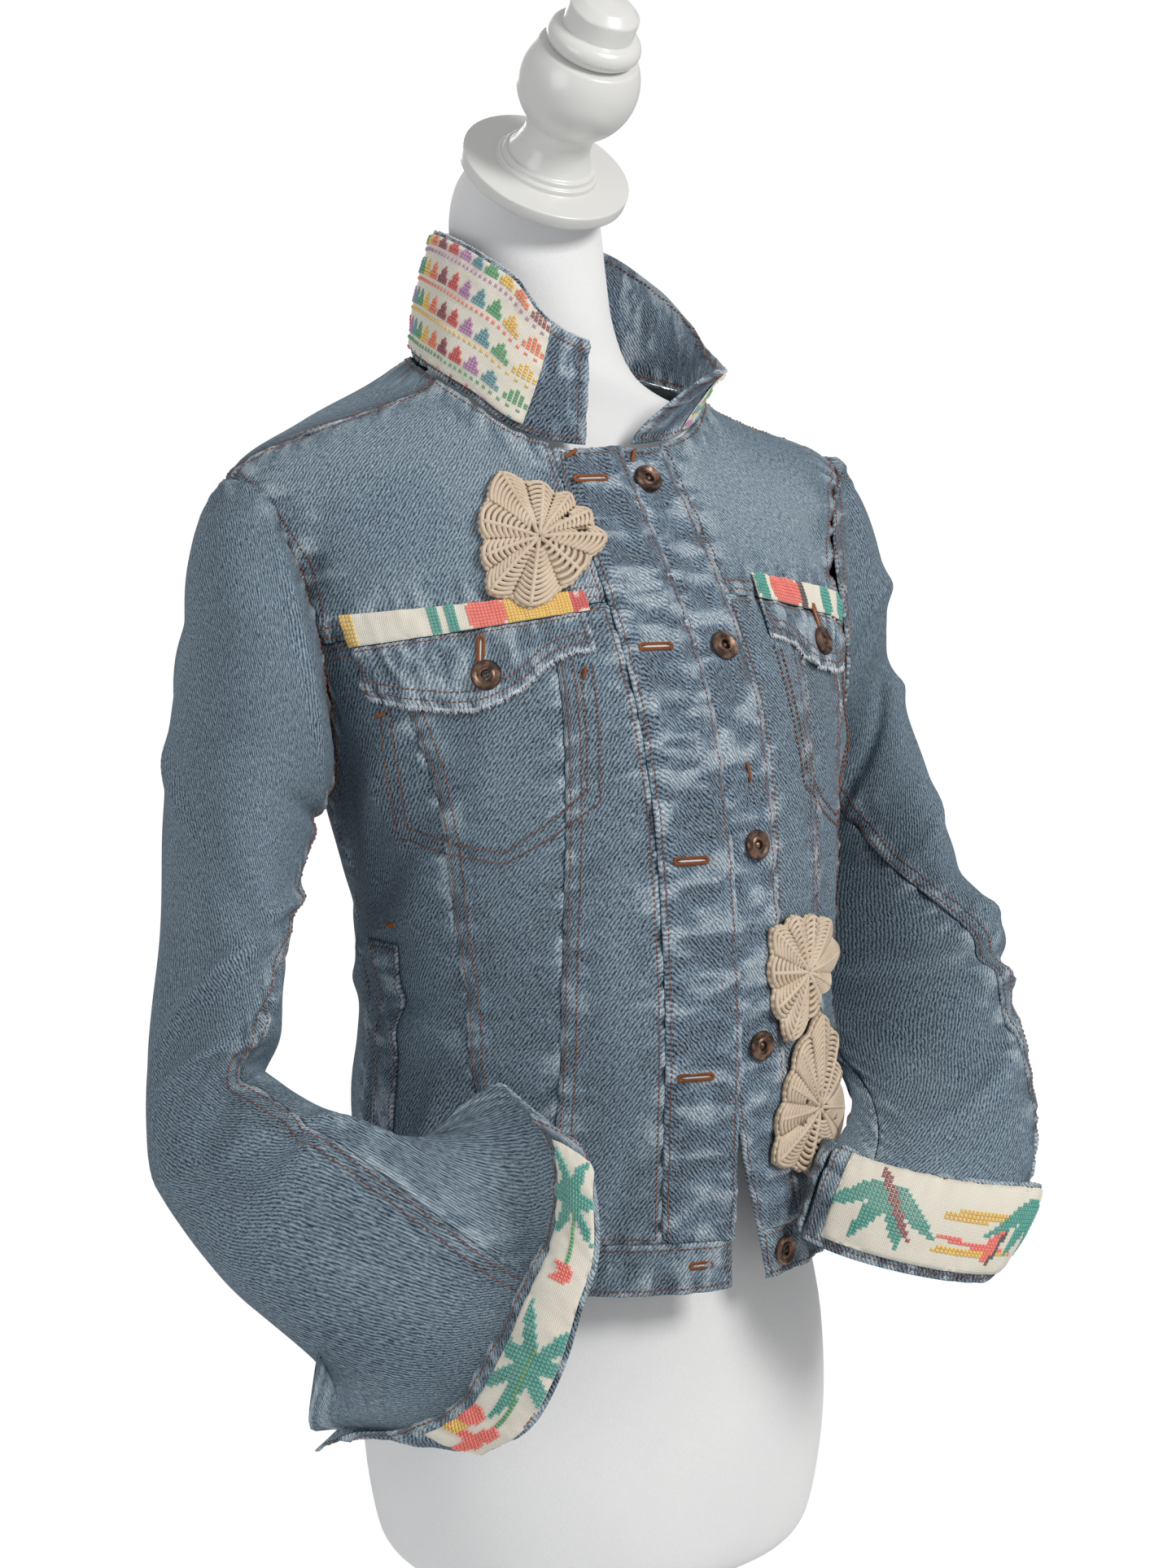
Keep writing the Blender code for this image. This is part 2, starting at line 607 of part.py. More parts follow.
def wall(name, inner, outer, finish, gap=SEAM_GAP / 2, sides=(True, True, True, True)):
    """A closed wall between two grids of points."""
    inner = inset_edges(inner, gap, sides)
    outer = inset_edges(outer, gap, sides)
    columns, rows = inner.shape[:2]
    count = columns * rows
    points = np.concatenate([outer.reshape(-1, 3), inner.reshape(-1, 3)])
    faces = []

    def at(i, j):
        return i * rows + j

    for i in range(columns - 1):
        for j in range(rows - 1):
            a, b, c, d = at(i, j), at(i + 1, j), at(i + 1, j + 1), at(i, j + 1)
            faces += [(a, b, c), (a, c, d)]
            faces += [(a + count, c + count, b + count), (a + count, d + count, c + count)]
    rim = [at(i, 0) for i in range(columns)]
    rim += [at(columns - 1, j) for j in range(1, rows)]
    rim += [at(i, rows - 1) for i in range(columns - 2, -1, -1)]
    rim += [at(0, j) for j in range(rows - 2, 0, -1)]
    for a, b in zip(rim, rim[1:] + rim[:1]):
        faces += [(a, a + count, b + count), (a, b + count, b)]
    return add_object(name, points, faces, finish)


def panel(name, places, finish, low=0.0, high=DENIM, **options):
    return wall(name, on_body(places, low), on_body(places, high), finish, **options)


def side_name(stem, side):
    return stem + ("_R" if side < 0 else "_L")


def front_edge(side, low, high):
    """Where the front panels start: the far seam of the placket."""
    if side < 0:
        return straight(side, PLACKET, low, high)
    return left_edge(PLACKET - 0.002, low, high)


def first_angle(curve):
    return curve(np.array([0.0]))[0, 0]


def last_angle(curve):
    return curve(np.array([1.0]))[0, 0]


def meet_yoke(seam_curve_of):
    """Level at which a lengthwise seam meets the yoke seam, found by stepping to it."""
    level = 1.28
    for _ in range(12):
        angle = last_angle(seam_curve_of(level))
        level = float(yoke_level(np.array([angle]))[0])
    return level


def front_seam(side, which):
    """A front seam from the waist seam up to the yoke."""
    if which == "placket":
        def of(high):
            return front_edge(side, WAIST_SEAM, high)
    else:
        table = {"inner": INNER_SEAM, "outer": OUTER_SEAM}[which]

        def of(high):
            return lengthwise(table, side, WAIST_SEAM, high)
    return of(meet_yoke(of))


def waist_seam(left, right):
    return between(first_angle(left), first_angle(right), lambda angle: WAIST_SEAM + 0 * angle)


def make_front_panels(side):
    rows = even(12)
    placket = front_seam(side, "placket")
    inner = front_seam(side, "inner")
    outer = front_seam(side, "outer")
    for stem, left, right, count in (("front_center", placket, inner, 3), ("front_middle", inner, outer, 4)):
        top = between(last_angle(left), last_angle(right), yoke_level)
        places = patch(left, right, waist_seam(left, right), top, even(count), rows)
        panel(side_name(stem, side), places, denim())
    under = float(spline(ARMHOLE[:, 0], ARMHOLE[:, 3], -90.0))
    side_seam = lengthwise(SIDE_SEAM, side, WAIST_SEAM, under)
    corner = first_angle(armhole(side, front_yoke_turn(side), 90.0))
    top = joined([(0.25, between(last_angle(outer), corner, yoke_level)),
                  (0.75, armhole(side, front_yoke_turn(side), -90.0))])
    places = patch(outer, side_seam, waist_seam(outer, side_seam), top, even(8), rows)
    panel(side_name("front_side", side), places, denim())


def make_front_yoke(side):
    low = meet_yoke(lambda high: front_edge(side, WAIST_SEAM, high))
    placket = front_edge(side, low, NECK_FRONT)
    neck_angle = side * math.radians(SHOULDER_NECK_ANGLE)
    top = joined([(0.5, between(last_angle(placket), neck_angle, neck_level)), (0.5, shoulder_seam(side))])
    top_start = top(np.array([0.0]))[0]
    placket = front_edge(side, low, float(top_start[1]))
    hole = armhole(side, front_yoke_turn(side), 90.0)
    bottom = between(first_angle(placket), first_angle(hole), yoke_level)
    places = patch(placket, hole, bottom, top, even(10), even(7))
    panel(side_name("front_yoke", side), places, denim(), gap=SEAM_GAP)


def make_back():
    rows = even(12)
    back_seams = {side: lengthwise(BACK_SEAM, side, WAIST_SEAM, BACK_YOKE_LEVEL) for side in (-1, 1)}
    under = float(spline(ARMHOLE[:, 0], ARMHOLE[:, 3], -90.0))

    def yoke_line(angle):
        return BACK_YOKE_LEVEL + 0 * angle

    for side in (-1, 1):
        side_seam = lengthwise(SIDE_SEAM, side, WAIST_SEAM, under)
        seam = back_seams[side]
        corner = first_angle(armhole(side, back_yoke_turn(side), 90.0))
        top = joined([(0.65, armhole(side, -90.0, back_yoke_turn(side) - 360.0)),
                      (0.35, between(corner, last_angle(seam), yoke_line))])
        places = patch(side_seam, seam, waist_seam(side_seam, seam), top, even(8), rows)
        panel(side_name("back_side", side), places, denim())

    left = back_seams[1]
    right = back_seams[-1]

    def wrapped(v):
        rows_of = right(v)
        rows_of[:, 0] += 2 * math.pi
        return rows_of

    top = between(last_angle(left), last_angle(right) + 2 * math.pi, yoke_line)
    bottom = between(first_angle(left), first_angle(right) + 2 * math.pi, lambda a: WAIST_SEAM + 0 * a)
    panel("back_center", patch(left, wrapped, bottom, top, even(5), rows), denim())


def make_back_yoke():
    holes = {side: armhole(side, back_yoke_turn(side), 90.0) for side in (-1, 1)}
    neck_angle = math.radians(SHOULDER_NECK_ANGLE)
    turn = 2 * math.pi

    def right_hole(v):
        rows = holes[-1](v)
        rows[:, 0] += turn
        return rows

    def left_shoulder(u):
        return shoulder_seam(1)(1 - np.asarray(u))

    def right_shoulder(u):
        rows = shoulder_seam(-1)(np.asarray(u))
        rows[:, 0] += turn
        return rows

    def neck(u):
        angle = neck_angle + (turn - 2 * neck_angle) * np.asarray(u)
        return np.stack([angle, neck_level(np.where(angle > math.pi, turn - angle, angle))], -1)

    top = joined([(0.25, left_shoulder), (0.5, neck), (0.25, right_shoulder)])
    bottom = between(first_angle(holes[1]), first_angle(holes[-1]) + turn, lambda a: BACK_YOKE_LEVEL + 0 * a)
    panel("back_yoke", patch(holes[1], right_hole, bottom, top, even(20), even(7)), denim(), gap=SEAM_GAP)


def make_plackets():
    """The right placket's edge rises over its last third, to lie over the left one's."""
    low, high = WAIST_SEAM, NECK_FRONT
    edges = {-1: (straight(-1, PLACKET, low, high), straight(-1, -EDGE_RIGHT, low, high)),
             1: (left_edge(0.0, low, high), front_edge(1, low, high))}
    columns = {-1: [0.0, 0.3, 0.62, 0.82, 1.0], 1: [0.0, 0.35, 0.7, 1.0]}
    for side, (left, right) in edges.items():
        top = between(last_angle(left), last_angle(right), neck_level)
        places = patch(left, right, waist_seam(left, right), top, columns[side], even(15))
        highest = PLACKET_RISE if side < 0 else 0.0
        rise = np.interp(columns[side], (0.62, 0.82), (0.0, highest))
        rise = np.repeat(rise[:, None], places.shape[1], axis=1)
        panel(side_name("placket", side), places, denim(), rise, rise + DOUBLE)


def make_waistbands():
    def level_line(level):
        return lambda angle: level + 0 * angle

    def band(name, left, right, count, turn=0.0):
        def wrapped(v):
            rows = right(v)
            rows[:, 0] += turn
            return rows

        bottom = between(first_angle(left), first_angle(right) + turn, level_line(HEM))
        top = between(last_angle(left), last_angle(right) + turn, level_line(WAIST_SEAM))
        places = patch(left, wrapped, bottom, top, even(count), even(2))
        panel(name, places, denim(), 0.0, DOUBLE)

    sides = {side: lengthwise(SIDE_SEAM, side, HEM, WAIST_SEAM) for side in (-1, 1)}
    band("waistband_R", straight(-1, -EDGE_RIGHT, HEM, WAIST_SEAM), sides[-1], 10)
    band("waistband_L", left_edge(0.0, HEM, WAIST_SEAM), sides[1], 10)
    band("waistband_back", sides[1], sides[-1], 16, 2 * math.pi)


# Collar


def collar_seam(place):
    """Angle and level of the neckline where this part of the collar is sewn on."""
    right_end, left_end = (math.radians(end) for end in COLLAR_ENDS)
    end = np.where(place < 0, right_end, left_end)
    angle = math.pi - (math.pi - end) * place
    short = np.where(angle > math.pi, 2 * math.pi - angle, angle)
    return angle, neck_level(short)


def collar_point(place, height):
    """Outer face of the collar at a height from 0 at the seam to 1 at its edge."""
    place, height = np.broadcast_arrays(np.asarray(place, float), np.asarray(height, float))
    angle, level = collar_seam(place)
    seam = on_body(np.stack([angle, level + COLLAR_SEAT], -1), COLLAR_SEAT)
    lean = spline(COLLAR[:, 0], COLLAR[:, 1:], place)
    reach = np.stack([height**1.5, height**1.5, height], -1)
    return seam + lean * reach


def surface_normals(point_of, first, second, size, sign):
    across = point_of(first + size, second) - point_of(first - size, second)
    along = point_of(first, second + size) - point_of(first, second - size)
    return unit(np.cross(across, along)) * sign


def collar_wall(name, places, heights, finish, low, high):
    place, height = np.meshgrid(places, heights, indexing="ij")
    surface = collar_point(place, height)
    outward = surface_normals(collar_point, place, np.clip(height, 0.02, 1.0), 0.01, -1)
    wall(name, surface + outward * low, surface + outward * high, finish, gap=0.0)


def make_collar():
    places = 2 * even(COLLAR_STEPS) - 1
    heights = even(COLLAR_ROWS)
    collar_wall("collar", places, heights, denim(), -DOUBLE, 0.0)
    near, far = COLLAR_PATCH
    middle = COLLAR_STEPS // 2
    low, high = COLLAR_PATCH_HEIGHT
    patch_heights = np.array([low, *heights[1:-1], high])
    for side in (-1, 1):
        first, last = sorted((middle + side * near, middle + side * far))
        name = side_name("collar_patch", side)
        collar_wall(name, places[first:last + 1], patch_heights, cream_cotton(), LAID_GAP, LAID_GAP + STRIP)


# Sleeves and cuffs


def sleeve_fold(side, turn, share):
    depth = np.zeros(np.broadcast(turn, share).shape)
    for fold_side, at_share, at_turn, along, around, slant, height in SLEEVE_FOLDS:
        if fold_side != side:
            continue
        away = (turn - at_turn + 180.0) % 360.0 - 180.0
        line = share - (at_share + slant * away)
        depth = depth + height * np.exp(-((line / along) ** 2) - (away / around) ** 2)
    return depth


def sleeve_tube(side, turn, share):
    """Inner face of the closed sleeve, which starts on the armhole."""
    turn, share = np.broadcast_arrays(np.asarray(turn, float), np.asarray(share, float))
    table = SLEEVE_RIGHT if side < 0 else SLEEVE_LEFT
    values = spline(table[:, 0], table[:, 1:], share)
    angle = np.radians(turn)
    out = values[..., 3:6] * np.cos(angle)[..., None] + values[..., 6:9] * np.sin(angle)[..., None]
    tube = values[..., 0:3] + out + unit(out) * sleeve_fold(side, turn, share)[..., None]
    wrapped = ((turn + 180.0) % 360.0) / 360.0
    loop = armhole(side, -180.0, 180.0)(wrapped)
    lift = DENIM + ARMHOLE_GAP + DENIM * np.maximum(0.0, -np.sin(angle))
    weight = smooth(share / ARMHOLE_BLEND)[..., None]
    return on_body(loop, lift) * (1 - weight) + tube * weight


def cuff_right_point(along, across):
    """Inner face of the turned-back right cuff: along it, and across from the fold to the free edge."""
    along, across = np.broadcast_arrays(np.asarray(along, float), np.asarray(across, float))
    edges = spline(CUFF_RIGHT[:, 0], CUFF_RIGHT[:, 1:], along)
    fold = edges[..., 0:3]
    free = edges[..., 3:6]
    small = 0.02
    ahead = spline(CUFF_RIGHT[:, 0], CUFF_RIGHT[:, 1:4], np.clip(along + small, 0, 1))
    behind = spline(CUFF_RIGHT[:, 0], CUFF_RIGHT[:, 1:4], np.clip(along - small, 0, 1))
    outward = unit(np.cross(free - fold, ahead - behind))
    crown = CUFF_BULGE * np.sin(math.pi * np.clip(across, 0.0, 1.0))
    return fold + (free - fold) * across[..., None] + outward * crown[..., None]


def cuff_right_normal(along, across):
    along = np.clip(along, 0.02, 0.98)
    across = np.clip(across, 0.02, 0.98)
    return surface_normals(cuff_right_point, along, across, 0.02, -1)


def sleeve_point(side, around, share):
    """Inner face of the sleeve: around runs from the back seam right round to it again."""
    around, share = np.broadcast_arrays(np.asarray(around, float), np.asarray(share, float))
    turn = spline(SLEEVE_SEAMS[:, 0], SLEEVE_SEAMS[:, seam_column(side)], share) + 360.0 * around
    tube = sleeve_tube(side, turn, share)
    if side > 0:
        return tube
    inset = DENIM + 4 * LAID_GAP
    across = 0.06 + (1 - share) / CUFF_RIGHT_SHARE
    along = around * SLEEVE_END_SHARE
    end = cuff_right_point(along, across) - cuff_right_normal(along, across) * inset
    start, end_share = SLIT_SHARES
    weight = smooth((share - start) / (end_share - start))[..., None]
    return tube * (1 - weight) + end * weight


def sleeve_normal(side, around, share):
    def point(first, second):
        return sleeve_point(side, first, second)

    return surface_normals(point, around, np.clip(share, 0.005, 0.995), 0.005, -side)


def make_sleeve(side):
    share = even(SLEEVE_ROWS)
    front_seam_at = spline(SLEEVE_SEAMS[:, 0], SLEEVE_SEAMS[:, 3], share)[None, :]
    under = even(UNDER_COLUMNS)[:, None] * front_seam_at
    top = front_seam_at + even(TOP_COLUMNS)[:, None] * (1 - front_seam_at)
    for stem, around in (("sleeve_under", under), ("sleeve_top", top)):
        rows = np.broadcast_to(share, around.shape)
        inner = sleeve_point(side, around, rows)
        outer = inner + sleeve_normal(side, around, rows) * DENIM
        rims = (True, True, False, True)
        wall(side_name(stem, side), inner, outer, denim(), gap=SLEEVE_GAP / 2, sides=rims)


def cuff_grid(side, along, across):
    """Inner face of a cuff and its outward normal."""
    if side < 0:
        return cuff_right_point(along, across), cuff_right_normal(along, across)
    start, end = CUFF_LEFT_TURNS
    turn = start + (end - start) * along
    share = 1 - CUFF_LEFT_SHARE * across

    def point(first, second):
        return sleeve_tube(1, first, second)

    centre = sleeve_tube(1, turn, share)
    ahead = point(turn + 1.0, share) - point(turn - 1.0, share)
    down = point(turn, np.clip(share + 0.01, 0, 1)) - point(turn, share - 0.01)
    outward = unit(np.cross(down, ahead))
    clear = DENIM + CUFF_LEFT_CLEAR + CUFF_LEFT_FLARE * across
    return centre + outward * clear[..., None], outward


def cuff_wall(name, side, along, across, finish, low, high):
    along, across = np.meshgrid(along, across, indexing="ij")
    inner, outward = cuff_grid(side, along, across)
    wall(name, inner + outward * low, inner + outward * high, finish, gap=0.0)


def make_cuff(side):
    columns = even(CUFF_STEPS)
    rows = np.array(CUFF_ROWS_RIGHT if side < 0 else CUFF_ROWS_LEFT)
    cuff_wall(side_name("cuff", side), side, columns, rows, denim(), 0.0, CUFF_THICK)
    first, last = STRIP_RIGHT if side < 0 else STRIP_LEFT
    base = CUFF_THICK + LAID_GAP
    cuff_wall(side_name("cuff_strip", side), side, columns[first:last + 1], rows[1:-1], cream_cotton(),
              base, base + STRIP)


# Trim laid on the panels


def chart_places(girth, level):
    return np.stack([angle_at(girth, level), level], -1)


def chart_grid(side, columns, low_of, high_of, rows):
    """Places between two edges, each a level for every girth."""
    girth = np.asarray(columns)[:, None] + 0 * even(rows)[None, :]
    low = low_of(np.asarray(columns))[:, None]
    high = high_of(np.asarray(columns))[:, None]
    level = low + (high - low) * even(rows)[None, :]
    return chart_places(side * girth, level)


def make_flap(side):
    edge = FLAP_RIGHT if side < 0 else FLAP_LEFT
    strip = FLAP_STRIP_RIGHT if side < 0 else FLAP_STRIP_LEFT
    columns = edge[0, 0] + (edge[-1, 0] - edge[0, 0]) * even(12)

    def lower(girth):
        return spline(edge[:, 0], edge[:, 1], girth)

    def strip_low(girth):
        return np.interp(girth, strip[:, 0], strip[:, 1])

    def upper(girth):
        return strip_low(girth) - SEAM_GAP

    base = DENIM + LAID_GAP
    places = chart_grid(side, columns, lower, upper, 3)
    panel(side_name("pocket_flap", side), places, denim(), base, base + DOUBLE)
    columns = strip[0, 0] + (strip[1, 0] - strip[0, 0]) * even(10)

    def strip_high(girth):
        return np.interp(girth, strip[:, 0], strip[:, 2])

    places = chart_grid(side, columns, strip_low, strip_high, 2)
    panel(side_name("flap_strip", side), places, cream_cotton(), base, base + STRIP)


def make_welt(side):
    inner_low, outer_low, inner_high, outer_high = WELT_RIGHT if side < 0 else WELT_LEFT
    along = even(6)[None, :]
    across = even(2)[:, None]
    low, high = WELT_LEVELS
    level = low + (high - low) * along + 0 * across
    inner = inner_low + (inner_high - inner_low) * along
    outer = outer_low + (outer_high - outer_low) * along
    places = chart_places(side * (inner + (outer - inner) * across), level)
    base = DENIM + LAID_GAP
    panel(side_name("welt", side), places, denim(), base, base + DOUBLE)


def body_frame(girth, level):
    """Point, normal, and the two directions across and up the cloth at a place."""
    angle = angle_at(girth, level)
    outward = body_normal(angle, level)
    up = unit(np.array([0.0, 0.0, 1.0]) - outward * outward[..., 2:3])
    return body_point(angle, level), outward, unit(np.cross(up, outward)), up


def lathe(name, profile, centre, axis, steps, finish, sharp=35.0):
    """Turned solid from (radius, height) pairs: a zero radius closes an end, or the profile is a closed loop."""
    axis = unit(np.asarray(axis, float))
    first = unit(np.cross(axis, (0.0, 1.0, 0.0)) if abs(axis[1]) < 0.95 else np.cross(axis, (1.0, 0.0, 0.0)))
    second = np.cross(axis, first)
    points = []
    rings = []
    for radius, height in profile:
        base = np.asarray(centre, float) + axis * height
        if radius < 1e-6:
            rings.append([len(points)])
            points.append(base)
            continue
        rings.append(list(range(len(points), len(points) + steps)))
        for k in range(steps):
            turn = 2 * math.pi * k / steps
            points.append(base + radius * (math.cos(turn) * first + math.sin(turn) * second))
    closed_loop = len(rings[0]) > 1
    pairs = list(zip(rings, rings[1:] + rings[:1])) if closed_loop else list(zip(rings, rings[1:]))
    faces = []
    for low, high in pairs:
        for k in range(steps):
            a, b = low[k % len(low)], low[(k + 1) % len(low)]
            c, d = high[(k + 1) % len(high)], high[k % len(high)]
            if len(low) == 1:
                faces.append((a, c, d))
            elif len(high) == 1:
                faces.append((a, b, c))
            else:
                faces += [(a, b, c), (a, c, d)]
    return add_object(name, points, faces, finish, sharp)


def make_buttons():
    edge = BUTTON_THICK * 0.35
    shoulder = BUTTON_THICK - edge
    profile = ((BUTTON_RADIUS, 0.0), (BUTTON_RADIUS, shoulder), (BUTTON_RADIUS - edge, BUTTON_THICK),
               (BUTTON_HOLE + edge, BUTTON_THICK), (BUTTON_HOLE, shoulder), (BUTTON_HOLE, 0.0))
    flap_face = DENIM + LAID_GAP + DOUBLE
    groups = (("front_button", FRONT_BUTTONS, DOUBLE), ("flap_button", FLAP_BUTTONS, flap_face))
    for stem, places, face in groups:
        for k, (girth, level) in enumerate(places):
            point, outward, _, _ = body_frame(np.array(girth), np.array(level))
            name = side_name(stem, girth) if stem == "flap_button" else f"{stem}_{k + 1}"
            lathe(name, profile, point + outward * (face + SEAM_GAP), outward, 14, aged_copper())


# Crochet leaves


def leaf_reach(lobes, turn):
    """Distance from the centre to the scalloped outline, and the nearness to a lobe."""
    directions = np.radians([direction for direction, _ in lobes])
    reaches = np.array([reach for _, reach in lobes])
    order = np.concatenate([directions, directions[:1] + 2 * math.pi])
    reaches = np.concatenate([reaches, reaches[:1]])
    turn = (turn - directions[0]) % (2 * math.pi) + directions[0]
    index = np.clip(np.searchsorted(order, turn, side="right") - 1, 0, len(lobes) - 1)
    part = (turn - order[index]) / (order[index + 1] - order[index])
    middle = 1 - np.abs(2 * part - 1)
    reach = reaches[index] * (1 - part) + reaches[index + 1] * part - LEAF_DIP * middle**1.6
    return reach, 1 - middle


def leaf_outline(lobes):
    turns = []
    count = len(lobes)
    for k in range(count):
        start = lobes[k][0]
        end = lobes[(k + 1) % count][0] + (360 if k == count - 1 else 0)
        turns += [math.radians(start + (end - start) * step / LEAF_STEPS) for step in range(LEAF_STEPS)]
    turns = np.array(turns)
    reach, _ = leaf_reach(lobes, turns)
    return np.stack([reach * np.cos(turns), reach * np.sin(turns)], -1)


def slit_loop(direction, distance, length, width):
    turn = math.radians(direction)
    along = np.array([math.cos(turn), math.sin(turn)])
    across = np.array([-along[1], along[0]])
    steps = [2 * math.pi * k / 8 for k in range(8)]
    centre = along * distance
    return np.array([centre + along * length / 2 * math.cos(s) + across * width / 2 * math.sin(s) for s in steps])


def inside_loop(point, loop):
    """Even-odd test of a point in a closed outline."""
    inside = False
    for (x1, y1), (x2, y2) in zip(loop, np.roll(loop, -1, axis=0)):
        if (y1 > point[1]) != (y2 > point[1]) and point[0] < x1 + (point[1] - y1) * (x2 - x1) / (y2 - y1):
            inside = not inside
    return inside


def leaf_cells(lobes, slits):
    """Points and triangles of a leaf's flat shape."""
    outline = leaf_outline(lobes)
    loops = [outline] + [slit_loop(*slit) for slit in slits]
    points = [tuple(point) for loop in loops for point in loop]
    edges = []
    start = 0
    for loop in loops:
        edges += [(start + k, start + (k + 1) % len(loop)) for k in range(len(loop))]
        start += len(loop)
    for share in (0.78, 0.52, 0.26):
        step = 1 if share > 0.7 else 2 if share > 0.4 else 5
        for point in outline[::step] * share:
            near = [np.linalg.norm(slit_loop(*slit) - point, axis=1).min() for slit in slits]
            covered = any(inside_loop(point, slit_loop(*slit)) for slit in slits)
            if not covered and (not near or min(near) > 0.002):
                points.append(tuple(point))
    points.append((0.0, 0.0))
    found = delaunay_2d_cdt([Vector(point) for point in points], edges, [], 0, 1e-7)
    flat = np.array([tuple(point) for point in found[0]])
    cells = []
    for cell in found[2]:
        middle = flat[list(cell)].mean(axis=0)
        if inside_loop(middle, outline) and not any(inside_loop(middle, slit_loop(*slit)) for slit in slits):
            cells.append(tuple(cell))
    return flat, cells


def leaf_height(lobes, flat):
    """Each lobe is ribbed along its middle, and the edge is thin."""
    turn = np.arctan2(flat[:, 1], flat[:, 0])
    reach, crest = leaf_reach(lobes, turn)
    share = np.linalg.norm(flat, axis=1) / reach
    rib = LEAF_RIB * crest * smooth(share / 0.3) * (1 - 0.5 * share)
    return CROCHET - LEAF_RIB * 0.8 * np.clip(share, 0, 1) ** 3 + rib


def make_leaf(name, leaf):
    lobes = leaf["lobes"]
    flat, cells = leaf_cells(lobes, leaf["slits"])
    girth, level = leaf["centre"]
    centre, _, across, up = body_frame(np.array(girth), np.array(level))
    where = centre + flat[:, :1] * across + flat[:, 1:] * up
    places = nearest_places(where, girth + flat[:, 0], level + flat[:, 1])
    low = on_body(places, LEAF_LOW)
    high = on_body(places, LEAF_LOW + leaf_height(lobes, flat))
    count = len(flat)
    faces = [tuple(cell) for cell in cells] + [(a + count, c + count, b + count) for a, b, c in cells]
    ends = [edge for a, b, c in cells for edge in ((a, b), (b, c), (c, a))]
    rim = [(a, b) for a, b in ends if (b, a) not in set(ends)]
    for a, b in rim:
        faces += [(a, a + count, b + count), (a, b + count, b)]
    add_object(name, np.concatenate([high, low]), faces, crochet_cotton(), 60.0)


def nearest_places(where, girths, levels):
    """Places on the chart nearest to points that lie just off the body, found in a few steps."""
    small = 0.002
    furthest = 0.010
    for _ in range(8):
        here = body_point(angle_at(girths, levels), levels)
        sideways = body_point(angle_at(girths + small, levels), levels) - here
        upward = body_point(angle_at(girths, levels + small), levels + small) - here
        away = where - here
        a = (sideways * sideways).sum(-1)
        b = (sideways * upward).sum(-1)
        c = (upward * upward).sum(-1)
        p = (away * sideways).sum(-1)
        q = (away * upward).sum(-1)
        base = a * c - b * b
        girths = girths + np.clip(small * (p * c - q * b) / base, -furthest, furthest)
        levels = levels + np.clip(small * (q * a - p * b) / base, -furthest, furthest)
    return chart_places(girths, levels)


# Dress form


def cap_axis():
    tilt = math.radians(CAP_TILT)
    return np.array([0.0, -math.sin(tilt), math.cos(tilt)])


def make_form_body():
    angle = np.arange(FORM_COLUMNS) * 2 * math.pi / FORM_COLUMNS
    rings = [ring_point(FORM_RINGS, angle, level) for level in FORM_RINGS[:, 0]]
    for level, lift in SHOULDER_RINGS:
        places = np.stack([angle, level + 0 * angle], -1)
        rings.append(on_body(places, lift - CHEST_CLEARANCE * np.cos(angle) ** 4))
    top = np.array(CAP_CENTRE) - cap_axis() * SEAM_GAP
    for x, y, z, tilt, wide, deep, drop in NECK + ((*top, CAP_TILT, CAP_SEAT, CAP_SEAT, 0.0),):
        lean = math.radians(tilt)
        ahead = deep * np.cos(angle)
        height = z - ahead * math.sin(lean) - drop * np.maximum(0.0, np.sin(angle)) ** 1.5
        rings.append(np.stack([x + wide * np.sin(angle), y - ahead * math.cos(lean), height], -1))
    points = np.concatenate(rings)
    columns = FORM_COLUMNS
    faces = []
    for k in range(len(rings) - 1):
        for i in range(columns):
            a, b = k * columns + i, k * columns + (i + 1) % columns
            faces += [(a, b, b + columns), (a, b + columns, a + columns)]
    centres = np.array([rings[0].mean(axis=0), top])
    count = len(points)
    last = count - columns
    for i in range(columns):
        following = (i + 1) % columns
        faces += [(count, following, i), (count + 1, last + i, last + following)]
    add_object("form_body", np.concatenate([points, centres]), faces, form_jersey())


def make_form_cap():
    bulb = [(BULB_RADIUS * math.sin(t), BULB_CENTRE - BULB_RADIUS * math.cos(t))
            for t in np.radians(BULB_TURNS)]
    ring = [(RING_RADIUS + RING_TUBE * math.sin(t), RING_CENTRE - RING_TUBE * math.cos(t))
            for t in np.radians((30, 90, 150))]
    profile = [(0.0, 0.0), *CAP_PROFILE, *bulb, *ring, (FINIAL_NECK, RING_CENTRE + RING_TUBE),
               (FINIAL_NECK, FINIAL_TOP - 0.007), (FINIAL_NECK * 0.7, FINIAL_TOP - 0.002), (0.0, FINIAL_TOP)]
    lathe("form_cap", profile, CAP_CENTRE, cap_axis(), 16, painted_wood())


def make_stand():
    profile = [(0.0, 0.0), *FOOT_PROFILE, (0.0, FOOT_PROFILE[-1][1])]
    lathe("form_foot", profile, (0, 0, 0), (0, 0, 1), 24, painted_wood())
    low = FOOT_PROFILE[-1][1] + SEAM_GAP
    high = FORM_RINGS[0, 1] - SEAM_GAP
    profile = ((0.0, low), (POLE_RADIUS, low), (POLE_RADIUS, high), (0.0, high))
    lathe("form_pole", profile, (0, 0, 0), (0, 0, 1), 20, painted_wood())


def clear_scene():
    for old in list(bpy.data.objects):
        bpy.data.objects.remove(old)


def main():
    clear_scene()
    for side in (-1, 1):
        make_front_panels(side)
        make_front_yoke(side)
        make_sleeve(side)
        make_cuff(side)
        make_flap(side)
        make_welt(side)
    make_back()
    make_back_yoke()
    make_plackets()
    make_waistbands()
    make_collar()
    make_buttons()
    for name, leaf in LEAVES.items():
        make_leaf(name, leaf)
    make_form_body()
    make_form_cap()
    make_stand()


main()
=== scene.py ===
"""Looks of a women's denim jacket on a white dress form. Metres, +Z up, the front facing -Y."""

import math

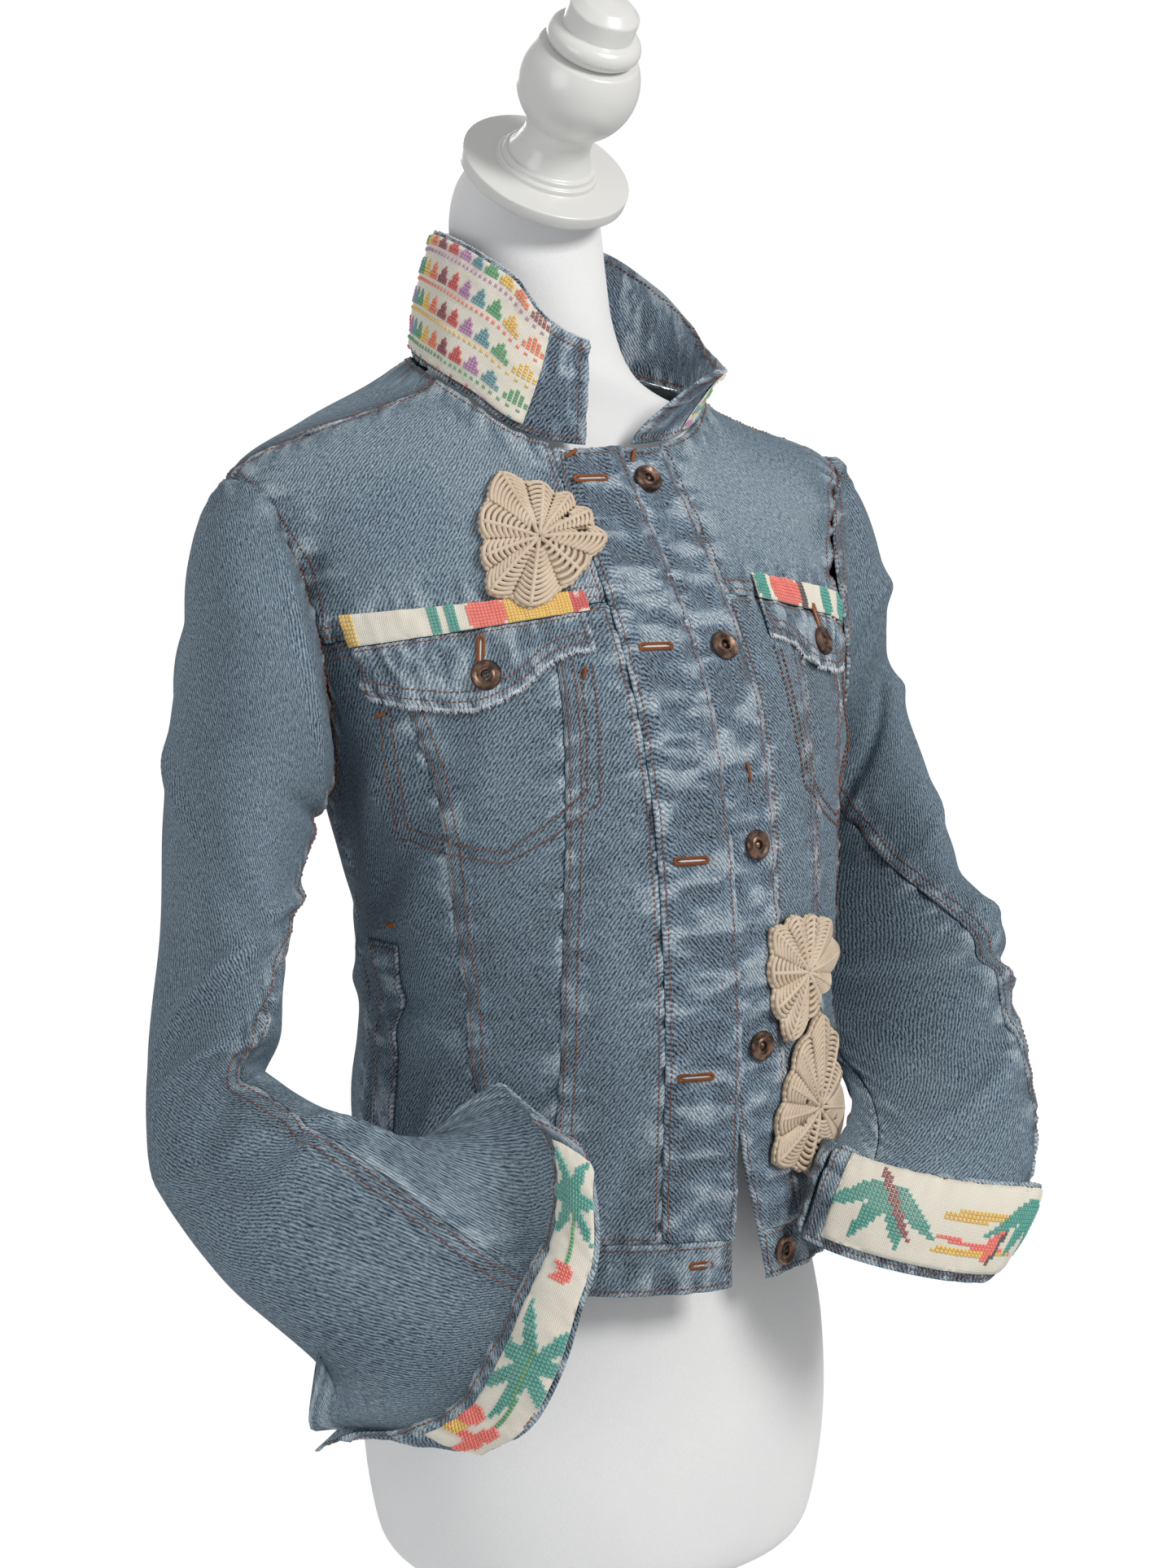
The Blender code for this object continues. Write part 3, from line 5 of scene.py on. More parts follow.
import bpy
import numpy as np
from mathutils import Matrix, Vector
from mathutils.geometry import delaunay_2d_cdt


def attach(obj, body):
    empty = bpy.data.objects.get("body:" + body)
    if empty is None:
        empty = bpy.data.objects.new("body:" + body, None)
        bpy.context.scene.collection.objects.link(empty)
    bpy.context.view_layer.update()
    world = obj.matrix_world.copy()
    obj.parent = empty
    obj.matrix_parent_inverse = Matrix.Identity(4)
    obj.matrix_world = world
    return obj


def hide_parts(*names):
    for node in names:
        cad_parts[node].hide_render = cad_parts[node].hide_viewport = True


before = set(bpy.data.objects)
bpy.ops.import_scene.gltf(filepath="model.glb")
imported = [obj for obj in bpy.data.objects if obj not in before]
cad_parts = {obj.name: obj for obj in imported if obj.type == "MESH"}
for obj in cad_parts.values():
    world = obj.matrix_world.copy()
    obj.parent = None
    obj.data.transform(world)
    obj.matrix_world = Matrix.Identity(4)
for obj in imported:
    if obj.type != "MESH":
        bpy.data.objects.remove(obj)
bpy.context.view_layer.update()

# The jacket's own sizes, as its solids have them

DENIM = 0.0014
DOUBLE = 0.0020
STRIP = 0.0010
CROCHET = 0.0036
SEAM_GAP = 0.0003
LAID_GAP = 0.0005
HEM = 0.914
WAIST_SEAM = 0.943
NECK_FRONT = 1.405
PLACKET = 0.040
PLACKET_RISE = 0.0026
EDGE_RIGHT = 0.002
RINGS = np.array([
    (0.90, 0.900, 0.141, 0.000, -0.137, 0.132, 1.80, 2.3),
    (0.94, 0.940, 0.140, 0.000, -0.137, 0.131, 1.80, 2.3),
    (1.00, 1.000, 0.139, 0.000, -0.139, 0.132, 1.80, 2.3),
    (1.06, 1.060, 0.136, 0.000, -0.141, 0.131, 1.80, 2.3),
    (1.12, 1.120, 0.141, 0.004, -0.136, 0.136, 1.80, 2.3),
    (1.18, 1.180, 0.154, 0.016, -0.127, 0.150, 1.75, 2.3),
    (1.24, 1.240, 0.174, 0.032, -0.108, 0.158, 1.65, 2.4),
    (1.30, 1.297, 0.191, 0.048, -0.074, 0.155, 1.60, 2.4),
    (1.35, 1.335, 0.202, 0.062, -0.041, 0.145, 1.70, 2.3),
    (1.39, 1.362, 0.190, 0.068, -0.020, 0.137, 1.80, 2.2),
    (1.43, 1.384, 0.152, 0.070, -0.006, 0.130, 1.90, 2.1),
    (1.47, 1.404, 0.110, 0.070, 0.004, 0.126, 2.00, 2.0),
    (1.51, 1.424, 0.074, 0.070, 0.010, 0.122, 2.00, 2.0),
])
SHOULDER_DROP = 0.017
SHOULDER_DROP_LEVELS = (1.36, 1.47)
INNER_SEAM = np.array([(0.90, 0.100, 0.084), (1.01, 0.098, 0.083), (1.09, 0.095, 0.082), (1.18, 0.087, 0.086),
                       (1.25, 0.079, 0.092), (1.31, 0.074, 0.094)])
OUTER_SEAM = np.array([(0.90, 0.138, 0.126), (0.98, 0.142, 0.130), (1.04, 0.149, 0.135), (1.11, 0.155, 0.140),
                       (1.18, 0.158, 0.143), (1.24, 0.166, 0.147), (1.31, 0.172, 0.150)])
SIDE_SEAM = np.array([(0.90, 0.247, 0.235), (1.10, 0.250, 0.235), (1.19, 0.262, 0.248)])
BACK_SEAM = np.array([(0.90, 0.385, 0.385), (1.10, 0.385, 0.385), (1.31, 0.372, 0.372)])
LEFT_EDGE = np.array([(0.90, 0.032), (0.95, 0.018), (1.00, 0.004), (1.05, -0.002), (1.10, -0.004),
                      (1.18, -0.002), (1.24, 0.000), (1.30, -0.002), (1.41, -0.006)])
YOKE_SEAM = np.array([(0.0, 1.296), (20.0, 1.290), (45.0, 1.281), (68.0, 1.271), (88.0, 1.261)])
BACK_YOKE_LEVEL = 1.300
NECKLINE = np.array([(0.0, 1.405), (10.0, 1.409), (20.0, 1.422), (34.0, 1.451), (55.0, 1.477), (85.0, 1.497),
                     (130.0, 1.505), (180.0, 1.507)])
SHOULDER_NECK_ANGLE = 58.0
ARMHOLE = np.array([(-180.0, 0.306, 0.300, 1.296), (-135.0, 0.300, 0.288, 1.215), (-90.0, 0.262, 0.248, 1.184),
                    (-50.0, 0.226, 0.202, 1.210), (0.0, 0.208, 0.170, 1.290), (45.0, 0.212, 0.178, 1.346),
                    (90.0, 0.236, 0.232, 1.373), (135.0, 0.272, 0.266, 1.352), (180.0, 0.306, 0.300, 1.296)])
ARMHOLE_GAP = 0.0018
SLEEVE_RIGHT = np.array([
    (0.00, -0.1750, 0.068, 1.279, 0.000, -0.078, 0.000, 0.000, 0.000, 0.094),
    (0.12, -0.1880, 0.056, 1.255, -0.004, -0.078, 0.004, -0.027, 0.000, 0.080),
    (0.25, -0.2030, 0.043, 1.213, -0.010, -0.080, 0.005, -0.030, 0.000, 0.056),
    (0.38, -0.2200, 0.030, 1.160, -0.012, -0.078, 0.010, -0.030, 0.003, 0.034),
    (0.50, -0.2330, 0.013, 1.105, -0.012, -0.076, 0.015, -0.027, 0.004, 0.012),
    (0.60, -0.2480, -0.006, 1.053, -0.010, -0.072, 0.024, -0.029, 0.004, 0.000),
    (0.68, -0.2600, -0.028, 1.017, 0.000, -0.044, 0.041, -0.028, -0.008, -0.003),
    (0.76, -0.2490, -0.074, 0.990, 0.012, -0.022, 0.049, -0.026, -0.014, 0.000),
    (0.87, -0.2220, -0.131, 0.974, 0.010, -0.008, 0.059, -0.021, -0.010, 0.000),
    (0.94, -0.1950, -0.170, 0.966, 0.008, -0.004, 0.055, -0.013, -0.006, 0.000),
    (1.00, -0.1760, -0.204, 0.958, 0.008, -0.002, 0.048, -0.010, -0.005, 0.000),
])
SLEEVE_LEFT = np.array([
    (0.00, 0.1750, 0.068, 1.279, 0.000, -0.078, 0.000, 0.000, 0.000, 0.094),
    (0.12, 0.1920, 0.083, 1.258, 0.004, -0.067, 0.004, 0.031, 0.000, 0.080),
    (0.25, 0.1940, 0.078, 1.213, 0.008, -0.068, 0.005, 0.029, 0.000, 0.056),
    (0.38, 0.1990, 0.058, 1.160, 0.012, -0.070, 0.010, 0.028, 0.003, 0.034),
    (0.50, 0.2000, 0.028, 1.105, 0.020, -0.070, 0.015, 0.025, 0.008, 0.012),
    (0.60, 0.1960, -0.018, 1.064, 0.030, -0.064, 0.020, 0.025, 0.012, 0.000),
    (0.70, 0.1840, -0.050, 1.034, 0.034, -0.054, 0.018, 0.021, 0.016, 0.000),
    (0.78, 0.1720, -0.094, 1.006, 0.034, -0.042, 0.008, 0.018, 0.019, 0.003),
    (0.86, 0.1420, -0.140, 0.986, 0.040, -0.034, -0.002, 0.014, 0.020, 0.004),
    (0.93, 0.1120, -0.166, 0.966, 0.046, -0.029, -0.010, 0.011, 0.019, 0.004),
    (1.00, 0.0890, -0.169, 0.928, 0.045, -0.026, -0.012, 0.010, 0.018, 0.004),
])
ARMHOLE_BLEND = 0.20
SLEEVE_ROWS = 18
UNDER_COLUMNS = 8
TOP_COLUMNS = 16
SLEEVE_SEAMS = np.array([(0.0, -180.0, -180.0, 0.333), (0.45, -165.0, -170.0, 0.340), (0.75, -110.0, -140.0, 0.350),
                         (1.0, -80.0, -125.0, 0.360)])
SLEEVE_FOLDS = (
    (-1, 0.10, -30.0, 0.030, 55.0, 0.0008, -0.005),
    (-1, 0.20, 140.0, 0.030, 60.0, -0.0006, -0.004),
    (-1, 0.33, 60.0, 0.035, 60.0, 0.0008, -0.004),
    (-1, 0.47, 20.0, 0.030, 60.0, -0.0010, -0.005),
    (-1, 0.60, 60.0, 0.022, 65.0, 0.0009, -0.005),
    (-1, 0.70, 30.0, 0.020, 60.0, 0.0004, -0.008),
    (-1, 0.77, 60.0, 0.020, 55.0, -0.0006, -0.005),
    (-1, 0.66, 170.0, 0.040, 60.0, 0.0000, 0.005),
    (1, 0.12, -20.0, 0.030, 60.0, -0.0008, -0.005),
    (1, 0.26, 20.0, 0.030, 60.0, 0.0009, -0.005),
    (1, 0.40, -20.0, 0.035, 60.0, -0.0008, -0.004),
    (1, 0.52, 10.0, 0.025, 60.0, 0.0008, -0.005),
    (1, 0.64, -20.0, 0.022, 70.0, 0.0004, -0.007),
    (1, 0.74, -40.0, 0.022, 60.0, -0.0005, -0.005),
    (1, 0.60, 160.0, 0.040, 60.0, 0.0000, 0.005),
)
CUFF_RIGHT = np.array([
    (0.00, -0.141, -0.223, 1.026, -0.153, -0.187, 1.045),
    (0.10, -0.147, -0.243, 1.014, -0.150, -0.207, 1.026),
    (0.20, -0.154, -0.257, 0.989, -0.160, -0.220, 0.994),
    (0.32, -0.166, -0.261, 0.963, -0.179, -0.226, 0.970),
    (0.45, -0.177, -0.260, 0.932, -0.196, -0.222, 0.938),
    (0.58, -0.189, -0.249, 0.903, -0.209, -0.211, 0.908),
    (0.71, -0.203, -0.224, 0.889, -0.228, -0.192, 0.893),
    (0.86, -0.220, -0.186, 0.892, -0.247, -0.167, 0.886),
    (1.00, -0.230, -0.156, 0.905, -0.261, -0.155, 0.875),
])
CUFF_BULGE = 0.003
CUFF_THICK = 0.0022
CUFF_STEPS = 20
SLIT_SHARES = (0.80, 0.888)
SLEEVE_END_SHARE = 0.86
CUFF_RIGHT_SHARE = 0.075
CUFF_LEFT_TURNS = (-163.0, 191.0)
CUFF_LEFT_SHARE = 0.09
CUFF_LEFT_FLARE = 0.004
CUFF_LEFT_CLEAR = 0.0007
STRIP_RIGHT = (1, 14)
STRIP_LEFT = (1, 12)
CUFF_ROWS_RIGHT = (0.0, 0.05, 0.40, 0.76, 1.0)
CUFF_ROWS_LEFT = (0.0, 0.10, 0.50, 0.95, 1.0)
COLLAR_ENDS = (6.0, 4.0)
COLLAR = np.array([
    (-1.00, 0.0023, -0.0006, 0.0583),
    (-0.85, 0.0232, -0.0044, 0.0668),
    (-0.70, 0.0259, -0.0033, 0.0690),
    (-0.50, 0.0210, 0.0035, 0.0710),
    (-0.25, 0.0150, 0.0120, 0.0690),
    (0.00, 0.0070, 0.0160, 0.0677),
    (0.25, 0.0094, 0.0212, 0.0728),
    (0.50, 0.0120, 0.0320, 0.0600),
    (0.70, 0.0180, 0.0365, 0.0435),
    (0.85, 0.0270, 0.0260, 0.0340),
    (1.00, 0.0470, -0.0170, 0.0400),
])
COLLAR_STEPS = 32
COLLAR_ROWS = 5
COLLAR_SEAT = 0.0012
COLLAR_PATCH = (2, 15)
COLLAR_PATCH_HEIGHT = (0.06, 0.97)
FLAP_RIGHT = np.array([(0.055, 1.266), (0.079, 1.260), (0.1005, 1.245), (0.120, 1.236), (0.157, 1.235),
                       (0.189, 1.240)])
FLAP_LEFT = np.array([(0.062, 1.268), (0.080, 1.262), (0.100, 1.249), (0.120, 1.243), (0.145, 1.241),
                      (0.165, 1.243)])
FLAP_STRIP_RIGHT = np.array([(0.052, 1.2865, 1.2980), (0.190, 1.2660, 1.2845)])
FLAP_STRIP_LEFT = np.array([(0.061, 1.2880, 1.3035), (0.167, 1.2655, 1.2825)])
WELT_LEVELS = (0.984, 1.100)
WELT_RIGHT = (0.2065, 0.2275, 0.199, 0.226)
WELT_LEFT = (0.190, 0.211, 0.184, 0.210)
BUTTON_RADIUS = 0.0085
BUTTON_HOLE = 0.0026
BUTTON_THICK = 0.0030
FRONT_BUTTONS = ((0.012, 1.374), (0.0204, 1.264), (0.0194, 1.159), (0.0166, 1.050), (0.040, 0.9285))
FLAP_BUTTONS = ((-0.117, 1.252), (0.115, 1.259))
LEAF_LOW = 0.0030
LEAF_RIB = 0.0012
LEAF_DIP = 0.0045
LEAF_STEPS = 4
LEAVES = {
    "crochet_leaf_shoulder": {
        "centre": (-0.0680, 1.3300),
        "lobes": ((2, 0.040), (31, 0.038), (54, 0.038), (79, 0.038), (110, 0.048), (160, 0.034), (196, 0.034),
                  (224, 0.044), (257, 0.043), (314, 0.030)),
        "slits": ((40, 0.022, 0.0085, 0.0022), (12, 0.025, 0.0090, 0.0030)),
    },
    "crochet_leaf_middle": {
        "centre": (0.0530, 1.0850),
        "lobes": ((3, 0.051), (35, 0.042), (72, 0.032), (104, 0.034), (135, 0.040), (172, 0.033), (208, 0.034),
                  (243, 0.041), (300, 0.025), (335, 0.032)),
        "slits": (),
    },
    "crochet_leaf_lower": {
        "centre": (0.0690, 1.0050),
        "lobes": ((-14, 0.068), (22, 0.037), (50, 0.046), (90, 0.055), (122, 0.047), (150, 0.040), (178, 0.042),
                  (208, 0.050), (250, 0.037), (310, 0.060)),
        "slits": ((-27, 0.029, 0.0060, 0.0044), (-58, 0.033, 0.0060, 0.0048), (155, 0.018, 0.0055, 0.0030),
                  (196, 0.019, 0.0060, 0.0028)),
    },
}
FORM_RINGS = np.array([
    (0.722, 0.722, 0.112, 0.004, -0.084, 0.096, 2.1, 2.1),
    (0.730, 0.730, 0.126, 0.004, -0.097, 0.110, 2.1, 2.2),
    (0.750, 0.750, 0.134, 0.004, -0.104, 0.118, 2.1, 2.2),
    (0.800, 0.800, 0.140, 0.004, -0.110, 0.125, 2.1, 2.2),
    (0.860, 0.860, 0.136, 0.002, -0.110, 0.122, 2.1, 2.2),
    (0.920, 0.920, 0.125, 0.000, -0.106, 0.113, 2.0, 2.2),
    (1.000, 1.000, 0.116, 0.000, -0.103, 0.106, 2.0, 2.2),
    (1.060, 1.060, 0.113, 0.000, -0.103, 0.104, 2.0, 2.2),
    (1.120, 1.120, 0.119, 0.004, -0.106, 0.111, 2.0, 2.2),
    (1.180, 1.180, 0.133, 0.016, -0.103, 0.126, 2.0, 2.2),
    (1.240, 1.240, 0.150, 0.032, -0.086, 0.136, 2.0, 2.3),
    (1.300, 1.297, 0.167, 0.048, -0.055, 0.137, 1.9, 2.3),
    (1.350, 1.331, 0.184, 0.062, -0.027, 0.133, 1.9, 2.2),
])
SHOULDER_RINGS = ((1.392, -0.0045), (1.425, -0.0026), (1.455, -0.0024))
CHEST_CLEARANCE = 0.008
NECK = (
    (0.000, 0.0690, 1.4120, 0.0, 0.0730, 0.0540, 0.0180),
    (-0.002, 0.0700, 1.4240, 0.0, 0.0550, 0.0480, 0.0120),
    (-0.004, 0.0720, 1.4450, 5.0, 0.0465, 0.0465, 0.0040),
    (-0.005, 0.0750, 1.4700, 12.0, 0.0455, 0.0450, 0.0),
    (-0.006, 0.0765, 1.4920, 20.0, 0.0455, 0.0450, 0.0),
    (-0.006, 0.0745, 1.5070, 28.0, 0.0435, 0.0435, 0.0),
    (-0.006, 0.0680, 1.5165, 34.0, 0.0400, 0.0400, 0.0),
)
CAP_TILT = 38.5
CAP_SEAT = 0.036
CAP_CENTRE = (-0.006, 0.0568, 1.5235)
CAP_PROFILE = ((0.050, 0.000), (0.050, 0.008), (0.030, 0.008), (0.030, 0.0115), (0.0275, 0.0115),
               (0.0275, 0.015), (0.025, 0.015), (0.0230, 0.019), (0.0205, 0.026), (0.020, 0.032))
BULB_CENTRE = 0.066
BULB_RADIUS = 0.035
RING_CENTRE = 0.0936
RING_RADIUS = 0.0205
RING_TUBE = 0.007
FINIAL_NECK = 0.0205
FINIAL_TOP = 0.120
POLE_RADIUS = 0.015
FOOT_PROFILE = ((0.175, 0.000), (0.175, 0.010), (0.170, 0.016), (0.120, 0.022), (0.050, 0.027),
                (0.026, 0.032), (0.024, 0.040))


def spline(stations, values, at):
    """Smooth curve through the values at their stations, read at one or more places."""
    stations = np.asarray(stations, float)
    values = np.asarray(values, float)
    single = values.ndim == 1
    if single:
        values = values[:, None]
    at = np.clip(np.asarray(at, float), stations[0], stations[-1])
    step = np.diff(stations)
    rise = np.diff(values, axis=0) / step[:, None]
    slope = np.empty_like(values)
    slope[0] = rise[0]
    slope[-1] = rise[-1]
    weight = (step[1:] + step[:-1])[:, None]
    slope[1:-1] = (rise[:-1] * step[1:, None] + rise[1:] * step[:-1, None]) / weight
    index = np.clip(np.searchsorted(stations, at, side="right") - 1, 0, len(stations) - 2)
    width = step[index][..., None]
    t = ((at - stations[index]) / step[index])[..., None]
    result = (
        (1 + 2 * t) * (1 - t) ** 2 * values[index]
        + t * (1 - t) ** 2 * width * slope[index]
        + t * t * (3 - 2 * t) * values[index + 1]
        + t * t * (t - 1) * width * slope[index + 1]
    )
    return result[..., 0] if single else result


def smooth(t):
    t = np.clip(t, 0.0, 1.0)
    return t * t * (3 - 2 * t)


def unit(vectors):
    return vectors / np.linalg.norm(vectors, axis=-1, keepdims=True)


def ring_point(table, angle, level):
    """Point on a ring of a table, at an angle (radians) and a level."""
    values = spline(table[:, 0], table[:, 1:], level)
    height, half, side, front, back, front_square, back_square = np.moveaxis(values, -1, 0)
    sine = np.sin(angle)
    cosine = np.cos(angle)
    square = np.where(cosine >= 0, front_square, back_square)
    reach = (np.abs(sine) ** square + np.abs(cosine) ** square) ** (-1 / square)
    depth = np.where(cosine >= 0, front - side, side - back)
    return np.stack([half * sine * reach, side + depth * cosine * reach, height + 0 * angle], -1)


def body_point(angle, level):
    """Point on the jacket's body. Its left shoulder drops a little more towards the neck."""
    angle, level = np.broadcast_arrays(np.asarray(angle, float), np.asarray(level, float))
    point = ring_point(RINGS, angle, level)
    low, high = SHOULDER_DROP_LEVELS
    leftness = np.maximum(0.0, np.sin(angle)) ** 1.5
    point[..., 2] -= SHOULDER_DROP * leftness * smooth((level - low) / (high - low))
    return point


def body_normal(angle, level):
    """Outward normal of the body's surface."""
    small_angle = 0.02
    small_level = 0.004
    across = body_point(angle + small_angle, level) - body_point(angle - small_angle, level)
    along = body_point(angle, level + small_level) - body_point(angle, level - small_level)
    return unit(np.cross(across, along))

GIRTH_ANGLES = np.linspace(0, math.pi, 361)
GIRTH_LEVELS = np.linspace(RINGS[0, 0], RINGS[-1, 0], 123)
GIRTH_POINTS = body_point(GIRTH_ANGLES[None, :], GIRTH_LEVELS[:, None])
RING_STEPS = np.linalg.norm(np.diff(GIRTH_POINTS, axis=1), axis=-1)
GIRTHS = np.concatenate([np.zeros((len(GIRTH_LEVELS), 1)), np.cumsum(RING_STEPS, axis=1)], axis=1)


def on_body(places, lift):
    """Points at (angle, level) places, moved out from the surface by lift."""
    angle = places[..., 0]
    level = places[..., 1]
    lift = np.asarray(lift, float)
    if lift.ndim:
        lift = lift[..., None]
    return body_point(angle, level) + body_normal(angle, level) * lift


def seam_column(side):
    return 1 if side < 0 else 2


def chart_places(girth, level):
    """Angles and levels of places given by their girths and levels."""
    return np.stack([angle_at(girth, level), level], -1)


def lengthwise(seam, side, low, high):
    def curve(v):
        level = low + (high - low) * v
        girth = side * spline(seam[:, 0], seam[:, seam_column(side)], level)
        return chart_places(girth, level)

    return curve


def straight(side, girth, low, high):
    """A line at one distance from the centre front."""

    def curve(v):
        level = low + (high - low) * v
        return chart_places(side * girth + 0 * level, level)

    return curve


def left_edge(shift, low, high):
    """The left front's own edge, which swings away below the last button."""

    def curve(v):
        level = low + (high - low) * v
        girth = spline(LEFT_EDGE[:, 0], LEFT_EDGE[:, 1], level) + shift
        return chart_places(girth, level)

    return curve


def yoke_level(angle):
    return spline(YOKE_SEAM[:, 0], YOKE_SEAM[:, 1], np.degrees(np.abs(angle)))


def neck_level(angle):
    return spline(NECKLINE[:, 0], NECKLINE[:, 1], np.degrees(np.abs(angle)))


def armhole(side, start, end):
    def curve(v):
        turn = start + (end - start) * v
        girth = side * spline(ARMHOLE[:, 0], ARMHOLE[:, seam_column(side)], turn)
        level = spline(ARMHOLE[:, 0], ARMHOLE[:, 3], turn)
        return chart_places(girth, level)

    return curve


def armhole_turn(side, low, high, level_of):
    """Turn round the armhole, between two turns, at which it meets a cross seam."""
    for _ in range(24):
        middle = (low + high) / 2
        angle, level = armhole(side, middle, middle)(np.array([0.0]))[0]
        if (level > level_of(angle)) == (armhole(side, high, high)(np.array([0.0]))[0, 1] > level_of(angle)):
            high = middle
        else:
            low = middle
    return (low + high) / 2


def front_yoke_turn(side):
    return armhole_turn(side, -50.0, 20.0, lambda angle: float(yoke_level(np.array([angle]))[0]))


def back_yoke_turn(side):
    return armhole_turn(side, 150.0, 180.0, lambda angle: BACK_YOKE_LEVEL)


def between(first, last, level_of):
    """A cross seam between two places' angles, at the level that its own rule gives."""

    def curve(u):
        angle = first + (last - first) * u
        return np.stack([angle, level_of(angle)], -1)

    return curve


def joined(parts):
    """Several curves run one after the other. Each part is its share of the run and its curve."""
    shares = np.array([share for share, _ in parts])
    ends = np.cumsum(shares)

    def curve(u):
        u = np.atleast_1d(u)
        rows = np.zeros(u.shape + (2,))
        start = 0.0
        for (share, part), end in zip(parts, ends):
            last = end > 1 - 1e-9
            inside = (u >= start - 1e-9) & ((u < end - 1e-9) | last)
            rows[inside] = part(np.clip((u[inside] - start) / share, 0, 1))
            start = end
        return rows

    return curve


def shoulder_seam(side):
    """From the neck to the shoulder point."""
    neck_angle = math.radians(SHOULDER_NECK_ANGLE)
    tip = armhole(side, 90.0, 90.0)(np.array([0.0]))[0]

    def curve(u):
        angle = side * (neck_angle + (abs(tip[0]) - neck_angle) * smooth(u) ** 0.9)
        start = neck_level(np.array([neck_angle]))[0]
        return np.stack([angle, start + (tip[1] - start) * u], -1)

    return curve


def patch(left, right, bottom, top, columns, rows):
    """Grid of (angle, level) places between four curves. Columns and rows are lists from 0 to 1."""
    u = np.asarray(columns)[:, None, None]
    v = np.asarray(rows)[None, :, None]
    west = left(np.asarray(rows))[None]
    east = right(np.asarray(rows))[None]
    south = bottom(np.asarray(columns))[:, None]
    north = top(np.asarray(columns))[:, None]
    corners = (
        (1 - u) * (1 - v) * south[:1]
        + u * (1 - v) * south[-1:]
        + (1 - u) * v * north[:1]
        + u * v * north[-1:]
    )
    return (1 - u) * west + u * east + (1 - v) * south + v * north - corners


def inset_edges(grid, amount, sides=(True, True, True, True)):
    """Moves the rim of a grid of points in along the surface: first and last column, first and last row."""
    grid = grid.copy()
    first_column, last_column, first_row, last_row = sides
    source = grid.copy()
    if first_column:
        grid[0] += unit(source[1] - source[0]) * amount
    if last_column:
        grid[-1] += unit(source[-2] - source[-1]) * amount
    if first_row:
        grid[:, 0] += unit(source[:, 1] - source[:, 0]) * amount
    if last_row:
        grid[:, -1] += unit(source[:, -2] - source[:, -1]) * amount
    return grid


def side_name(stem, side):
    return stem + ("_R" if side < 0 else "_L")


def front_edge(side, low, high):
    """Where the front panels start: the far seam of the placket."""
    if side < 0:
        return straight(side, PLACKET, low, high)
    return left_edge(PLACKET - 0.002, low, high)


def first_angle(curve):
    return curve(np.array([0.0]))[0, 0]


def last_angle(curve):
    return curve(np.array([1.0]))[0, 0]


def meet_yoke(seam_curve_of):
    """Level at which a lengthwise seam meets the yoke seam, found by stepping to it."""
    level = 1.28
    for _ in range(12):
        angle = last_angle(seam_curve_of(level))
        level = float(yoke_level(np.array([angle]))[0])
    return level


def front_seam(side, which):
    """A front seam from the waist seam up to the yoke."""
    if which == "placket":
        def of(high):
            return front_edge(side, WAIST_SEAM, high)
    else:
        table = {"inner": INNER_SEAM, "outer": OUTER_SEAM}[which]

        def of(high):
            return lengthwise(table, side, WAIST_SEAM, high)
    return of(meet_yoke(of))


def waist_seam(left, right):
    return between(first_angle(left), first_angle(right), lambda angle: WAIST_SEAM + 0 * angle)


def make_front_panels(side):
    rows = even(12)
    placket = front_seam(side, "placket")
    inner = front_seam(side, "inner")
    outer = front_seam(side, "outer")
    for stem, left, right, count in (("front_center", placket, inner, 3), ("front_middle", inner, outer, 4)):
        top = between(last_angle(left), last_angle(right), yoke_level)
        places = patch(left, right, waist_seam(left, right), top, even(count), rows)
        panel(side_name(stem, side), places, DENIM_FINISH)
    under = float(spline(ARMHOLE[:, 0], ARMHOLE[:, 3], -90.0))
    side_seam = lengthwise(SIDE_SEAM, side, WAIST_SEAM, under)
    corner = first_angle(armhole(side, front_yoke_turn(side), 90.0))
    top = joined([(0.25, between(last_angle(outer), corner, yoke_level)),
                  (0.75, armhole(side, front_yoke_turn(side), -90.0))])
    places = patch(outer, side_seam, waist_seam(outer, side_seam), top, even(8), rows)
    panel(side_name("front_side", side), places, DENIM_FINISH)


def make_front_yoke(side):
    low = meet_yoke(lambda high: front_edge(side, WAIST_SEAM, high))
    placket = front_edge(side, low, NECK_FRONT)
    neck_angle = side * math.radians(SHOULDER_NECK_ANGLE)
    top = joined([(0.5, between(last_angle(placket), neck_angle, neck_level)), (0.5, shoulder_seam(side))])
    top_start = top(np.array([0.0]))[0]
    placket = front_edge(side, low, float(top_start[1]))
    hole = armhole(side, front_yoke_turn(side), 90.0)
    bottom = between(first_angle(placket), first_angle(hole), yoke_level)
    places = patch(placket, hole, bottom, top, even(10), even(7))
    panel(side_name("front_yoke", side), places, DENIM_FINISH, gap=SEAM_GAP)


